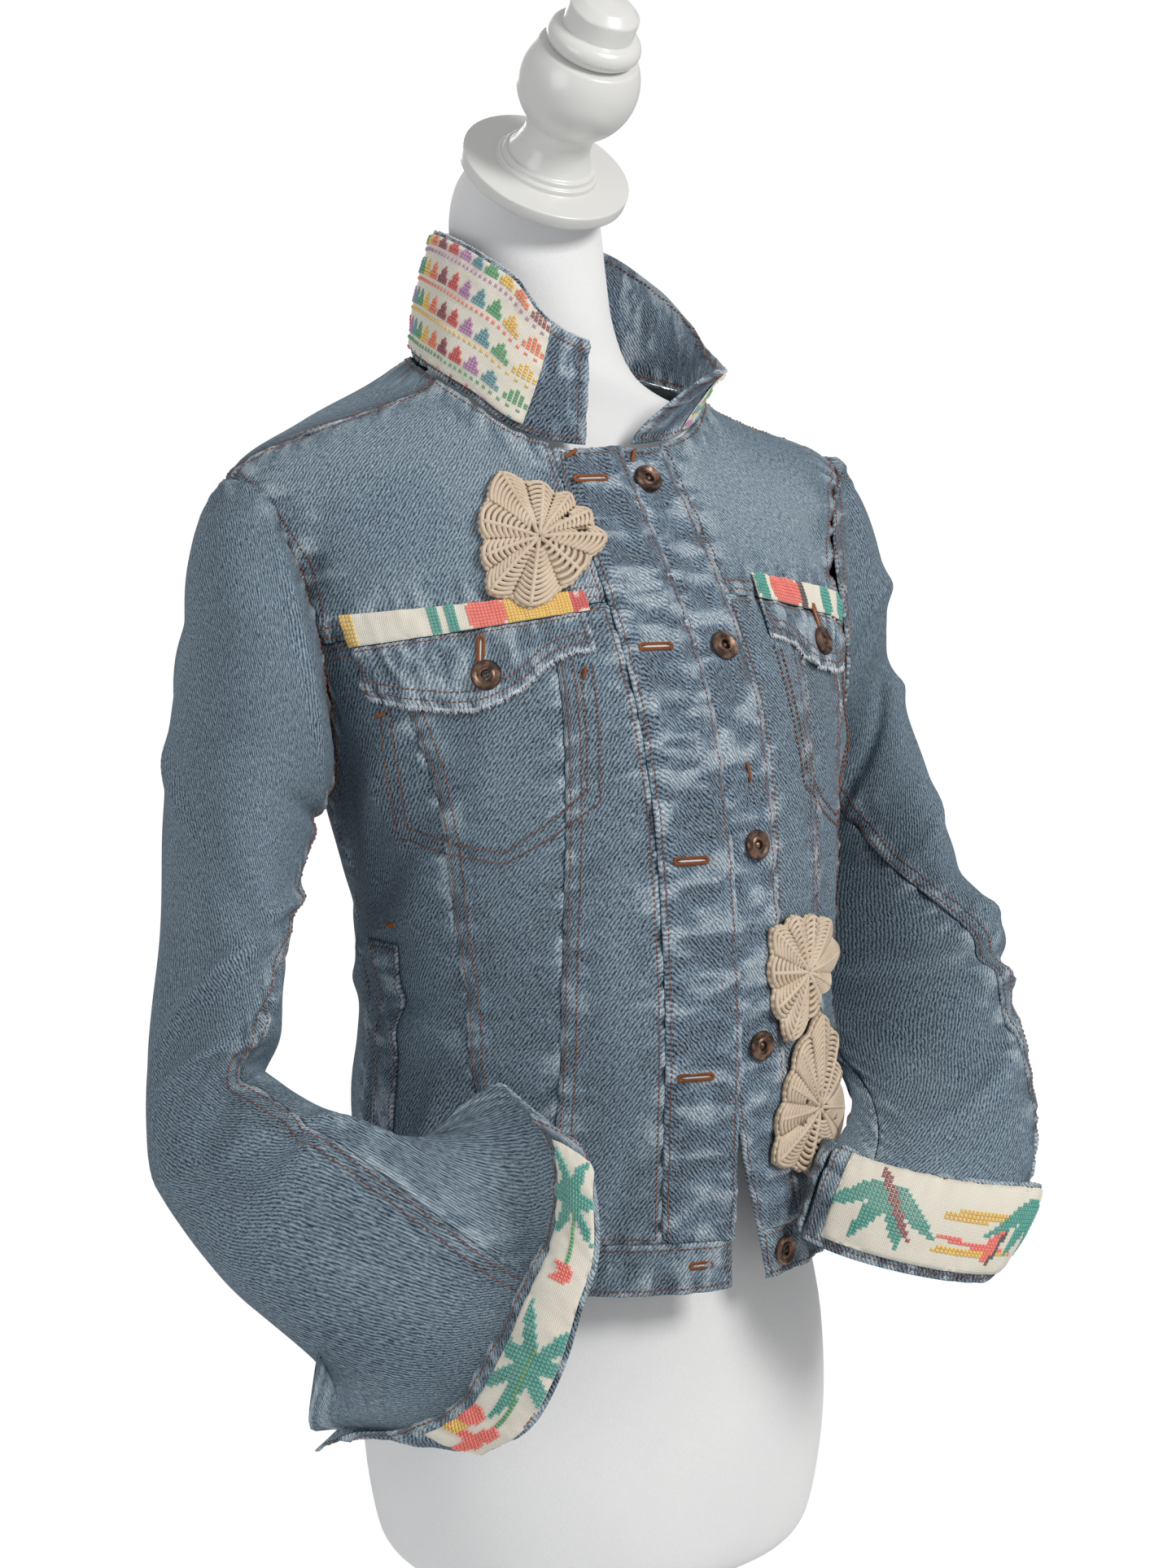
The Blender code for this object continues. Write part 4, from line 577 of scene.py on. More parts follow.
def make_back():
    rows = even(12)
    back_seams = {side: lengthwise(BACK_SEAM, side, WAIST_SEAM, BACK_YOKE_LEVEL) for side in (-1, 1)}
    under = float(spline(ARMHOLE[:, 0], ARMHOLE[:, 3], -90.0))

    def yoke_line(angle):
        return BACK_YOKE_LEVEL + 0 * angle

    for side in (-1, 1):
        side_seam = lengthwise(SIDE_SEAM, side, WAIST_SEAM, under)
        seam = back_seams[side]
        corner = first_angle(armhole(side, back_yoke_turn(side), 90.0))
        top = joined([(0.65, armhole(side, -90.0, back_yoke_turn(side) - 360.0)),
                      (0.35, between(corner, last_angle(seam), yoke_line))])
        places = patch(side_seam, seam, waist_seam(side_seam, seam), top, even(8), rows)
        panel(side_name("back_side", side), places, DENIM_FINISH)

    left = back_seams[1]
    right = back_seams[-1]

    def wrapped(v):
        rows_of = right(v)
        rows_of[:, 0] += 2 * math.pi
        return rows_of

    top = between(last_angle(left), last_angle(right) + 2 * math.pi, yoke_line)
    bottom = between(first_angle(left), first_angle(right) + 2 * math.pi, lambda a: WAIST_SEAM + 0 * a)
    panel("back_center", patch(left, wrapped, bottom, top, even(5), rows), DENIM_FINISH)


def make_back_yoke():
    holes = {side: armhole(side, back_yoke_turn(side), 90.0) for side in (-1, 1)}
    neck_angle = math.radians(SHOULDER_NECK_ANGLE)
    turn = 2 * math.pi

    def right_hole(v):
        rows = holes[-1](v)
        rows[:, 0] += turn
        return rows

    def left_shoulder(u):
        return shoulder_seam(1)(1 - np.asarray(u))

    def right_shoulder(u):
        rows = shoulder_seam(-1)(np.asarray(u))
        rows[:, 0] += turn
        return rows

    def neck(u):
        angle = neck_angle + (turn - 2 * neck_angle) * np.asarray(u)
        return np.stack([angle, neck_level(np.where(angle > math.pi, turn - angle, angle))], -1)

    top = joined([(0.25, left_shoulder), (0.5, neck), (0.25, right_shoulder)])
    bottom = between(first_angle(holes[1]), first_angle(holes[-1]) + turn, lambda a: BACK_YOKE_LEVEL + 0 * a)
    panel("back_yoke", patch(holes[1], right_hole, bottom, top, even(20), even(7)), DENIM_FINISH, gap=SEAM_GAP)


def make_waistbands():
    def level_line(level):
        return lambda angle: level + 0 * angle

    def band(name, left, right, count, turn=0.0):
        def wrapped(v):
            rows = right(v)
            rows[:, 0] += turn
            return rows

        bottom = between(first_angle(left), first_angle(right) + turn, level_line(HEM))
        top = between(last_angle(left), last_angle(right) + turn, level_line(WAIST_SEAM))
        places = patch(left, wrapped, bottom, top, even(count), even(2))
        panel(name, places, DENIM_FINISH, 0.0, DOUBLE)

    sides = {side: lengthwise(SIDE_SEAM, side, HEM, WAIST_SEAM) for side in (-1, 1)}
    band("waistband_R", straight(-1, -EDGE_RIGHT, HEM, WAIST_SEAM), sides[-1], 10)
    band("waistband_L", left_edge(0.0, HEM, WAIST_SEAM), sides[1], 10)
    band("waistband_back", sides[1], sides[-1], 16, 2 * math.pi)


def collar_seam(place):
    """Angle and level of the neckline where this part of the collar is sewn on."""
    right_end, left_end = (math.radians(end) for end in COLLAR_ENDS)
    end = np.where(place < 0, right_end, left_end)
    angle = math.pi - (math.pi - end) * place
    short = np.where(angle > math.pi, 2 * math.pi - angle, angle)
    return angle, neck_level(short)


def collar_point(place, height):
    """Outer face of the collar at a height from 0 at the seam to 1 at its edge."""
    place, height = np.broadcast_arrays(np.asarray(place, float), np.asarray(height, float))
    angle, level = collar_seam(place)
    seam = on_body(np.stack([angle, level + COLLAR_SEAT], -1), COLLAR_SEAT)
    lean = spline(COLLAR[:, 0], COLLAR[:, 1:], place)
    reach = np.stack([height**1.5, height**1.5, height], -1)
    return seam + lean * reach


def surface_normals(point_of, first, second, size, sign):
    across = point_of(first + size, second) - point_of(first - size, second)
    along = point_of(first, second + size) - point_of(first, second - size)
    return unit(np.cross(across, along)) * sign


def sleeve_fold(side, turn, share):
    depth = np.zeros(np.broadcast(turn, share).shape)
    for fold_side, at_share, at_turn, along, around, slant, height in SLEEVE_FOLDS:
        if fold_side != side:
            continue
        away = (turn - at_turn + 180.0) % 360.0 - 180.0
        line = share - (at_share + slant * away)
        depth = depth + height * np.exp(-((line / along) ** 2) - (away / around) ** 2)
    return depth


def sleeve_tube(side, turn, share):
    """Inner face of the closed sleeve, which starts on the armhole."""
    turn, share = np.broadcast_arrays(np.asarray(turn, float), np.asarray(share, float))
    table = SLEEVE_RIGHT if side < 0 else SLEEVE_LEFT
    values = spline(table[:, 0], table[:, 1:], share)
    angle = np.radians(turn)
    out = values[..., 3:6] * np.cos(angle)[..., None] + values[..., 6:9] * np.sin(angle)[..., None]
    tube = values[..., 0:3] + out + unit(out) * sleeve_fold(side, turn, share)[..., None]
    wrapped = ((turn + 180.0) % 360.0) / 360.0
    loop = armhole(side, -180.0, 180.0)(wrapped)
    lift = DENIM + ARMHOLE_GAP + DENIM * np.maximum(0.0, -np.sin(angle))
    weight = smooth(share / ARMHOLE_BLEND)[..., None]
    return on_body(loop, lift) * (1 - weight) + tube * weight


def cuff_right_point(along, across):
    """Inner face of the turned-back right cuff: along it, and across from the fold to the free edge."""
    along, across = np.broadcast_arrays(np.asarray(along, float), np.asarray(across, float))
    edges = spline(CUFF_RIGHT[:, 0], CUFF_RIGHT[:, 1:], along)
    fold = edges[..., 0:3]
    free = edges[..., 3:6]
    small = 0.02
    ahead = spline(CUFF_RIGHT[:, 0], CUFF_RIGHT[:, 1:4], np.clip(along + small, 0, 1))
    behind = spline(CUFF_RIGHT[:, 0], CUFF_RIGHT[:, 1:4], np.clip(along - small, 0, 1))
    outward = unit(np.cross(free - fold, ahead - behind))
    crown = CUFF_BULGE * np.sin(math.pi * np.clip(across, 0.0, 1.0))
    return fold + (free - fold) * across[..., None] + outward * crown[..., None]


def cuff_right_normal(along, across):
    along = np.clip(along, 0.02, 0.98)
    across = np.clip(across, 0.02, 0.98)
    return surface_normals(cuff_right_point, along, across, 0.02, -1)


def sleeve_point(side, around, share):
    """Inner face of the sleeve: around runs from the back seam right round to it again."""
    around, share = np.broadcast_arrays(np.asarray(around, float), np.asarray(share, float))
    turn = spline(SLEEVE_SEAMS[:, 0], SLEEVE_SEAMS[:, seam_column(side)], share) + 360.0 * around
    tube = sleeve_tube(side, turn, share)
    if side > 0:
        return tube
    inset = DENIM + 4 * LAID_GAP
    across = 0.06 + (1 - share) / CUFF_RIGHT_SHARE
    along = around * SLEEVE_END_SHARE
    end = cuff_right_point(along, across) - cuff_right_normal(along, across) * inset
    start, end_share = SLIT_SHARES
    weight = smooth((share - start) / (end_share - start))[..., None]
    return tube * (1 - weight) + end * weight


def sleeve_normal(side, around, share):
    def point(first, second):
        return sleeve_point(side, first, second)

    return surface_normals(point, around, np.clip(share, 0.005, 0.995), 0.005, -side)


def cuff_grid(side, along, across):
    """Inner face of a cuff and its outward normal."""
    if side < 0:
        return cuff_right_point(along, across), cuff_right_normal(along, across)
    start, end = CUFF_LEFT_TURNS
    turn = start + (end - start) * along
    share = 1 - CUFF_LEFT_SHARE * across

    def point(first, second):
        return sleeve_tube(1, first, second)

    centre = sleeve_tube(1, turn, share)
    ahead = point(turn + 1.0, share) - point(turn - 1.0, share)
    down = point(turn, np.clip(share + 0.01, 0, 1)) - point(turn, share - 0.01)
    outward = unit(np.cross(down, ahead))
    clear = DENIM + CUFF_LEFT_CLEAR + CUFF_LEFT_FLARE * across
    return centre + outward * clear[..., None], outward


def chart_grid(side, columns, low_of, high_of, rows):
    """Places between two edges, each a level for every girth."""
    girth = np.asarray(columns)[:, None] + 0 * even(rows)[None, :]
    low = low_of(np.asarray(columns))[:, None]
    high = high_of(np.asarray(columns))[:, None]
    level = low + (high - low) * even(rows)[None, :]
    return chart_places(side * girth, level)


def make_flap(side):
    edge = FLAP_RIGHT if side < 0 else FLAP_LEFT
    strip = FLAP_STRIP_RIGHT if side < 0 else FLAP_STRIP_LEFT
    columns = edge[0, 0] + (edge[-1, 0] - edge[0, 0]) * even(12)

    def lower(girth):
        return spline(edge[:, 0], edge[:, 1], girth)

    def strip_low(girth):
        return np.interp(girth, strip[:, 0], strip[:, 1])

    def upper(girth):
        return strip_low(girth) - SEAM_GAP

    base = DENIM + LAID_GAP
    places = chart_grid(side, columns, lower, upper, 3)
    panel(side_name("pocket_flap", side), places, DENIM_FINISH, base, base + DOUBLE)
    columns = strip[0, 0] + (strip[1, 0] - strip[0, 0]) * even(10)

    def strip_high(girth):
        return np.interp(girth, strip[:, 0], strip[:, 2])

    places = chart_grid(side, columns, strip_low, strip_high, 2)
    panel(side_name("flap_strip", side), places, CREAM_FINISH, base, base + STRIP)


def make_welt(side):
    inner_low, outer_low, inner_high, outer_high = WELT_RIGHT if side < 0 else WELT_LEFT
    along = even(6)[None, :]
    across = even(2)[:, None]
    low, high = WELT_LEVELS
    level = low + (high - low) * along + 0 * across
    inner = inner_low + (inner_high - inner_low) * along
    outer = outer_low + (outer_high - outer_low) * along
    places = chart_places(side * (inner + (outer - inner) * across), level)
    base = DENIM + LAID_GAP
    panel(side_name("welt", side), places, DENIM_FINISH, base, base + DOUBLE)


def body_frame(girth, level):
    """Point, normal, and the two directions across and up the cloth at a place."""
    angle = angle_at(girth, level)
    outward = body_normal(angle, level)
    up = unit(np.array([0.0, 0.0, 1.0]) - outward * outward[..., 2:3])
    return body_point(angle, level), outward, unit(np.cross(up, outward)), up


def leaf_reach(lobes, turn):
    """Distance from the centre to the scalloped outline, and the nearness to a lobe."""
    directions = np.radians([direction for direction, _ in lobes])
    reaches = np.array([reach for _, reach in lobes])
    order = np.concatenate([directions, directions[:1] + 2 * math.pi])
    reaches = np.concatenate([reaches, reaches[:1]])
    turn = (turn - directions[0]) % (2 * math.pi) + directions[0]
    index = np.clip(np.searchsorted(order, turn, side="right") - 1, 0, len(lobes) - 1)
    part = (turn - order[index]) / (order[index + 1] - order[index])
    middle = 1 - np.abs(2 * part - 1)
    reach = reaches[index] * (1 - part) + reaches[index + 1] * part - LEAF_DIP * middle**1.6
    return reach, 1 - middle


def leaf_outline(lobes):
    turns = []
    count = len(lobes)
    for k in range(count):
        start = lobes[k][0]
        end = lobes[(k + 1) % count][0] + (360 if k == count - 1 else 0)
        turns += [math.radians(start + (end - start) * step / LEAF_STEPS) for step in range(LEAF_STEPS)]
    turns = np.array(turns)
    reach, _ = leaf_reach(lobes, turns)
    return np.stack([reach * np.cos(turns), reach * np.sin(turns)], -1)


def slit_loop(direction, distance, length, width):
    turn = math.radians(direction)
    along = np.array([math.cos(turn), math.sin(turn)])
    across = np.array([-along[1], along[0]])
    steps = [2 * math.pi * k / 8 for k in range(8)]
    centre = along * distance
    return np.array([centre + along * length / 2 * math.cos(s) + across * width / 2 * math.sin(s) for s in steps])


def inside_loop(point, loop):
    """Even-odd test of a point in a closed outline."""
    inside = False
    for (x1, y1), (x2, y2) in zip(loop, np.roll(loop, -1, axis=0)):
        if (y1 > point[1]) != (y2 > point[1]) and point[0] < x1 + (point[1] - y1) * (x2 - x1) / (y2 - y1):
            inside = not inside
    return inside


def leaf_height(lobes, flat):
    """Each lobe is ribbed along its middle, and the edge is thin."""
    turn = np.arctan2(flat[:, 1], flat[:, 0])
    reach, crest = leaf_reach(lobes, turn)
    share = np.linalg.norm(flat, axis=1) / reach
    rib = LEAF_RIB * crest * smooth(share / 0.3) * (1 - 0.5 * share)
    return CROCHET - LEAF_RIB * 0.8 * np.clip(share, 0, 1) ** 3 + rib


def nearest_places(where, girths, levels):
    """Places on the chart nearest to points that lie just off the body, found in a few steps."""
    small = 0.002
    furthest = 0.010
    for _ in range(8):
        here = body_point(angle_at(girths, levels), levels)
        sideways = body_point(angle_at(girths + small, levels), levels) - here
        upward = body_point(angle_at(girths, levels + small), levels + small) - here
        away = where - here
        a = (sideways * sideways).sum(-1)
        b = (sideways * upward).sum(-1)
        c = (upward * upward).sum(-1)
        p = (away * sideways).sum(-1)
        q = (away * upward).sum(-1)
        base = a * c - b * b
        girths = girths + np.clip(small * (p * c - q * b) / base, -furthest, furthest)
        levels = levels + np.clip(small * (q * a - p * b) / base, -furthest, furthest)
    return chart_places(girths, levels)


def cap_axis():
    tilt = math.radians(CAP_TILT)
    return np.array([0.0, -math.sin(tilt), math.cos(tilt)])


# Finer grids on the same surfaces
FINE = 8


def even(count):
    return np.linspace(0, 1, count * FINE + 1)


def finer(stations):
    return np.interp(np.arange((len(stations) - 1) * FINE + 1) / FINE, np.arange(len(stations)), stations)


GIRTH_STEPS = np.linspace(0, 0.6, 601)
ANGLES = np.array([np.interp(GIRTH_STEPS, row, GIRTH_ANGLES) for row in GIRTHS])


def between_cells(table, row, column):
    """Value of a table at places that lie between its rows and columns."""
    row = np.clip(row, 0, table.shape[0] - 1.001)
    column = np.clip(column, 0, table.shape[1] - 1.001)
    r, c = row.astype(int), column.astype(int)
    p, q = row - r, column - c
    if table.ndim == 3:
        p, q = p[..., None], q[..., None]
    near = table[r, c] * (1 - q) + table[r, c + 1] * q
    far = table[r + 1, c] * (1 - q) + table[r + 1, c + 1] * q
    return near * (1 - p) + far * p


def level_row(level):
    return (level - GIRTH_LEVELS[0]) / (GIRTH_LEVELS[1] - GIRTH_LEVELS[0])


def angle_at(girth, level):
    """Angle of the place that lies this far round the body from the centre front."""
    girth, level = np.broadcast_arrays(np.asarray(girth, float), np.asarray(level, float))
    return np.copysign(between_cells(ANGLES, level_row(level), np.abs(girth) / GIRTH_STEPS[1]), girth)


def girth_at(angle, level):
    angle, level = np.broadcast_arrays(np.asarray(angle, float), np.asarray(level, float))
    turned = (angle + math.pi) % (2 * math.pi) - math.pi
    return np.copysign(between_cells(GIRTHS, level_row(level), np.abs(turned) / GIRTH_ANGLES[1]), turned)


def seed_of(name):
    return sum((k + 3) * ord(letter) for k, letter in enumerate(name)) % 9973


def rough(x, y, seed):
    """Smooth uneven values from -1 to 1 over a plane whose lumps are about one unit wide."""
    table = np.random.default_rng(seed).uniform(-1, 1, (97, 89))
    i, j = np.floor(x).astype(int), np.floor(y).astype(int)
    p, q = smooth(x - i), smooth(y - j)
    near = table[i % 97, j % 89] * (1 - q) + table[i % 97, (j + 1) % 89] * q
    far = table[(i + 1) % 97, j % 89] * (1 - q) + table[(i + 1) % 97, (j + 1) % 89] * q
    return near * (1 - p) + far * p


CREASE_DEPTH = 1.45
SLEEVE_DEPTH = 1.6

# Main creases of the worn body: girth, level, slant in degrees, half length, half width, height
BODY_CREASES = (
    (-0.205, 1.178, 62, 0.050, 0.0100, 0.0040),
    (-0.188, 1.150, 52, 0.045, 0.0085, -0.0030),
    (-0.222, 1.105, 24, 0.055, 0.0090, 0.0032),
    (-0.196, 1.068, 12, 0.058, 0.0080, -0.0028),
    (-0.168, 1.047, -9, 0.050, 0.0090, 0.0026),
    (-0.118, 1.022, 10, 0.040, 0.0100, -0.0018),
    (-0.071, 1.115, 84, 0.060, 0.0095, 0.0020),
    (-0.128, 1.205, 72, 0.046, 0.0100, 0.0016),
    (-0.104, 0.983, 86, 0.044, 0.0075, 0.0022),
    (-0.180, 0.990, 78, 0.040, 0.0080, 0.0030),
    (-0.236, 0.985, 97, 0.047, 0.0085, 0.0030),
    (-0.152, 1.325, 22, 0.055, 0.0110, 0.0020),
    (-0.196, 1.318, 64, 0.045, 0.0080, -0.0028),
    (-0.094, 1.350, -16, 0.050, 0.0090, 0.0016),
    (-0.062, 0.972, 74, 0.032, 0.0065, -0.0018),
    (-0.256, 1.130, 40, 0.038, 0.0080, -0.0026),
    (0.186, 1.172, -60, 0.048, 0.0095, 0.0038),
    (0.170, 1.136, -48, 0.046, 0.0085, -0.0028),
    (0.206, 1.090, -20, 0.050, 0.0085, 0.0030),
    (0.176, 1.052, -8, 0.055, 0.0080, -0.0026),
    (0.140, 1.030, 14, 0.042, 0.0085, 0.0022),
    (0.112, 1.120, 82, 0.052, 0.0095, 0.0016),
    (0.096, 1.195, 100, 0.040, 0.0090, -0.0014),
    (0.160, 0.985, 98, 0.044, 0.0080, 0.0026),
    (0.214, 0.982, 82, 0.040, 0.0080, 0.0028),
    (0.112, 1.335, 14, 0.050, 0.0100, 0.0020),
    (0.148, 1.318, -58, 0.040, 0.0080, -0.0024),
    (0.064, 1.352, 24, 0.040, 0.0085, 0.0014),
    (-0.330, 1.195, 58, 0.055, 0.0110, 0.0038),
    (-0.352, 1.120, 34, 0.060, 0.0100, -0.0030),
    (-0.318, 1.060, 12, 0.058, 0.0095, 0.0034),
    (-0.372, 1.020, -6, 0.050, 0.0090, -0.0026),
    (-0.300, 0.985, 84, 0.040, 0.0085, 0.0026),
    (-0.340, 1.270, 20, 0.050, 0.0110, 0.0022),
    (-0.360, 1.400, -12, 0.045, 0.0100, 0.0018),
    (0.318, 1.185, -62, 0.050, 0.0105, 0.0036),
    (0.344, 1.136, -38, 0.056, 0.0095, -0.0028),
    (0.305, 1.072, -14, 0.060, 0.0090, 0.0030),
    (0.366, 1.035, 9, 0.048, 0.0095, 0.0026),
    (0.290, 0.980, 96, 0.044, 0.0080, -0.0022),
    (0.332, 1.262, -24, 0.048, 0.0105, 0.0020),
    (0.352, 1.398, 15, 0.045, 0.0100, 0.0016),
)

# More folds of the sleeves: side, share down the sleeve and turn of the fold's middle, its reach down and round the
# sleeve, how far down it runs for each degree, and its height
SLEEVE_CREASES = (
    (-1, 0.06, 60.0, 0.016, 40.0, 0.0012, 0.0030),
    (-1, 0.15, 10.0, 0.016, 45.0, -0.0016, 0.0034),
    (-1, 0.26, -40.0, 0.015, 50.0, 0.0014, -0.0030),
    (-1, 0.38, 100.0, 0.018, 42.0, -0.0012, 0.0028),
    (-1, 0.43, -30.0, 0.014, 46.0, 0.0016, 0.0030),
    (-1, 0.535, 30.0, 0.012, 50.0, 0.0010, 0.0042),
    (-1, 0.575, -10.0, 0.010, 44.0, 0.0016, -0.0036),
    (-1, 0.635, 50.0, 0.011, 52.0, 0.0004, 0.0044),
    (-1, 0.735, 70.0, 0.012, 48.0, -0.0008, 0.0038),
    (-1, 0.80, 10.0, 0.012, 42.0, -0.0014, 0.0026),
    (-1, 0.30, 170.0, 0.020, 45.0, 0.0012, 0.0030),
    (-1, 0.50, 190.0, 0.016, 40.0, -0.0010, -0.0030),
    (1, 0.07, 70.0, 0.016, 42.0, -0.0012, 0.0028),
    (1, 0.18, 30.0, 0.015, 50.0, 0.0014, 0.0032),
    (1, 0.31, -30.0, 0.016, 46.0, -0.0012, -0.0030),
    (1, 0.345, 60.0, 0.014, 40.0, 0.0012, 0.0026),
    (1, 0.46, 0.0, 0.013, 52.0, -0.0006, 0.0022),
    (1, 0.58, 20.0, 0.012, 50.0, 0.0006, 0.0024),
    (1, 0.68, -10.0, 0.011, 54.0, 0.0005, 0.0026),
    (1, 0.79, -50.0, 0.012, 44.0, -0.0010, 0.0028),
    (1, 0.24, 175.0, 0.018, 46.0, -0.0012, 0.0032),
    (1, 0.52, 185.0, 0.016, 42.0, 0.0012, -0.0028),
)


BODY_RIPPLE = 0.0007
SLEEVE_RIPPLE = 0.0007
CUFF_RIPPLE = 0.0006
TUCK = 0.0030


def body_creases(places):
    """How far the worn body's creases lift each place."""
    girth, level = girth_at(places[..., 0], places[..., 1]), places[..., 1]
    lift = BODY_RIPPLE * rough(girth / 0.045, level / 0.05, 11)
    for at_girth, at_level, slant, length, width, height in BODY_CREASES:
        turn = math.radians(slant)
        x, y = girth - at_girth, level - at_level
        along = x * math.cos(turn) + y * math.sin(turn)
        across = y * math.cos(turn) - x * math.sin(turn) + along * along * (2.2 if height > 0 else -1.8)
        lift = lift + CREASE_DEPTH * height * np.exp(-((along / length) ** 2) - (across / width) ** 2)
    edge = smooth((level - HEM) / 0.02)
    return lift * (0.35 + 0.65 * edge) * smooth((1.50 - level) / 0.03)


def distances(grid):
    """Distance of each point of a grid from its first and last column and its first and last row."""
    steps = np.linalg.norm(np.diff(grid, axis=0), axis=-1)
    across = np.concatenate([np.zeros((1, grid.shape[1])), np.cumsum(steps, axis=0)])
    steps = np.linalg.norm(np.diff(grid, axis=1), axis=-1)
    along = np.concatenate([np.zeros((grid.shape[0], 1)), np.cumsum(steps, axis=1)], axis=1)
    return across, across[-1:] - across, along, along[:, -1:] - along


# Rows of stitches along the edges of each piece, in metres in from the edge: first column, last column, first row and
# last row. An edge with two rows is a felled seam
TWIN = (0.0028, 0.0088)
SINGLE = (0.0032,)
STITCHING = {
    "front_center": (SINGLE, TWIN, SINGLE, SINGLE),
    "front_middle": ((), TWIN, (), SINGLE),
    "front_side": ((), (), (), TWIN),
    "front_yoke": (SINGLE, TWIN, TWIN, SINGLE),
    "back_center": (TWIN, TWIN, (), ()),
    "back_side": ((), (), (), TWIN),
    "back_yoke": (TWIN, TWIN, TWIN, SINGLE),
    "placket": (SINGLE, SINGLE, (), SINGLE),
    "waistband": (SINGLE, SINGLE, SINGLE, SINGLE),
    "sleeve_top": (TWIN, (), TWIN, ()),
    "sleeve_under": ((), (), (), ()),
    "cuff": (SINGLE, SINGLE, SINGLE, SINGLE),
    "collar": ((0.0055,), (0.0055,), (0.0030,), (0.0060,)),
    "pocket_flap": ((0.0035,), (0.0035,), (0.0045, 0.0100), (0.0020,)),
    "welt": ((0.0022,), (0.0022,), SINGLE, SINGLE),
    "flap_strip": ((), (), (), ()),
    "cuff_strip": ((), (), (), ()),
    "collar_patch": ((), (), (), ()),
}
# How strongly each laid piece is puckered all over, in metres
PUCKERS = {"placket": 0.0015, "waistband": 0.0013, "pocket_flap": 0.0008, "cuff": 0.0005, "collar": 0.0006,
           "welt": 0.0006, "flap_strip": 0.0003, "cuff_strip": 0.0003, "collar_patch": 0.0004}
# How much paler or darker than the rest each piece has washed
TONES = {"front_yoke": 0.10, "front_middle": -0.10, "front_side": -0.09, "front_center": -0.02, "back_yoke": 0.06,
         "sleeve_under": 0.03, "cuff": -0.02, "placket": 0.02, "pocket_flap": 0.02}
SEAM_RIDGE = 0.0008
SEAM_WIDTH = 0.0122
EDGE_GROOVE = 0.0007
STITCH_GROOVE = 0.00035


def stem_of(name):
    for stem in STITCHING:
        if name == stem or name.startswith(stem + "_") and name[len(stem):] in ("_L", "_R", "_back"):
            return stem
    return name


def cloth_relief(name, grid):
    """Seam ridges, edge grooves and the puckers along them. Gives the lift, and a value that is high where the cloth
    is worn pale and low in troughs and stitch grooves, where shade is painted in.
    """
    stem = stem_of(name)
    seed = seed_of(name)
    gaps = distances(grid)
    lift = np.zeros(grid.shape[:2])
    wear_and_shade = np.zeros(grid.shape[:2])
    whole = PUCKERS.get(stem, 0.0)
    for side, (away, rows) in enumerate(zip(gaps, STITCHING[stem])):
        along = gaps[2] if side < 2 else gaps[0]
        felled = len(rows) == 2
        if felled:
            lift += SEAM_RIDGE * smooth((SEAM_WIDTH - away) / 0.0022)
        lift -= EDGE_GROOVE * np.exp(-((away / 0.0014) ** 2))
        strength = 0.0016 if felled else 0.0013 if rows else 0.0008
        reach = 0.016 if felled else 0.012
        ripple = rough(along / 0.0054, away / 0.013, seed + side)
        ripple = ripple + 0.5 * rough(along / 0.0030, away / 0.008, seed + 40 + side)
        fall = np.exp(-((away / reach) ** 1.6))
        lift += strength * ripple * fall
        # The value rises on the ridges and along the rubbed edge, which are worn pale. It falls in the troughs
        # between, where the denim paints shade.
        wear_and_shade += 1.9 * ripple * fall + (0.8 if rows else 0.4) * np.exp(-((away / 0.0022) ** 2))
        for row in rows:
            lift -= STITCH_GROOVE * np.exp(-(((away - row) / 0.0010) ** 2))
            # Painted shade: the value drops in each stitch groove, so the groove is coloured darker.
            wear_and_shade -= 0.35 * np.exp(-(((away - row) / 0.0012) ** 2))
    if whole:
        lengthways = 2 if stem in ("placket", "welt", "collar_patch") else 0
        first, second = gaps[lengthways], gaps[2 - lengthways]
        ripple = rough(first / 0.0056, second / 0.022, seed + 7)
        ripple = ripple + 0.5 * rough(first / 0.0034, second / 0.0075, seed + 9)
        lift += whole * ripple
        # Puckers all over: their ridges are worn pale and their troughs get painted shade.
        wear_and_shade += 1.45 * ripple
    broad = rough(gaps[0] / 0.05, gaps[2] / 0.06, seed + 21)
    return lift, np.clip(0.52 + TONES.get(stem, 0.0) + 0.34 * wear_and_shade + 0.10 * broad, 0, 1)


# Meshes


def make_mesh(name, points, faces, uv=None, values=None, colours=None):
    """One mesh object whose faces all have the same number of corners."""
    mesh = bpy.data.meshes.new(name)
    corners = faces.shape[1]
    mesh.vertices.add(len(points))
    mesh.vertices.foreach_set("co", np.ascontiguousarray(points, np.float32).ravel())
    mesh.loops.add(faces.size)
    mesh.loops.foreach_set("vertex_index", np.ascontiguousarray(faces, np.int32).ravel())
    mesh.polygons.add(len(faces))
    mesh.polygons.foreach_set("loop_start", np.arange(0, faces.size, corners, dtype=np.int32))
    mesh.update(calc_edges=True)
    if uv is not None:
        layer = mesh.uv_layers.new(name="cloth")
        layer.data.foreach_set("uv", np.ascontiguousarray(uv[faces.ravel()], np.float32).ravel())
    if values is not None:
        layer = mesh.attributes.new("wear_and_shade", "FLOAT", "POINT")
        layer.data.foreach_set("value", np.ascontiguousarray(values, np.float32))
    if colours is not None:
        layer = mesh.attributes.new("thread", "FLOAT_COLOR", "POINT")
        layer.data.foreach_set("color", np.ascontiguousarray(colours, np.float32).ravel())
    mesh.validate()
    mesh.shade_smooth()
    made = bpy.data.objects.new(name, mesh)
    bpy.context.collection.objects.link(made)
    return made


def dress(made, finish, node=None):
    """Gives a piece its finish and body, and hides the CAD node that it stands for."""
    made.data.materials.append(finish)
    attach(made, "root")
    if node:
        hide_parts(node)
    return made


SHEETS = {}
GRIDS = {}
FORM = "form_body_cover"


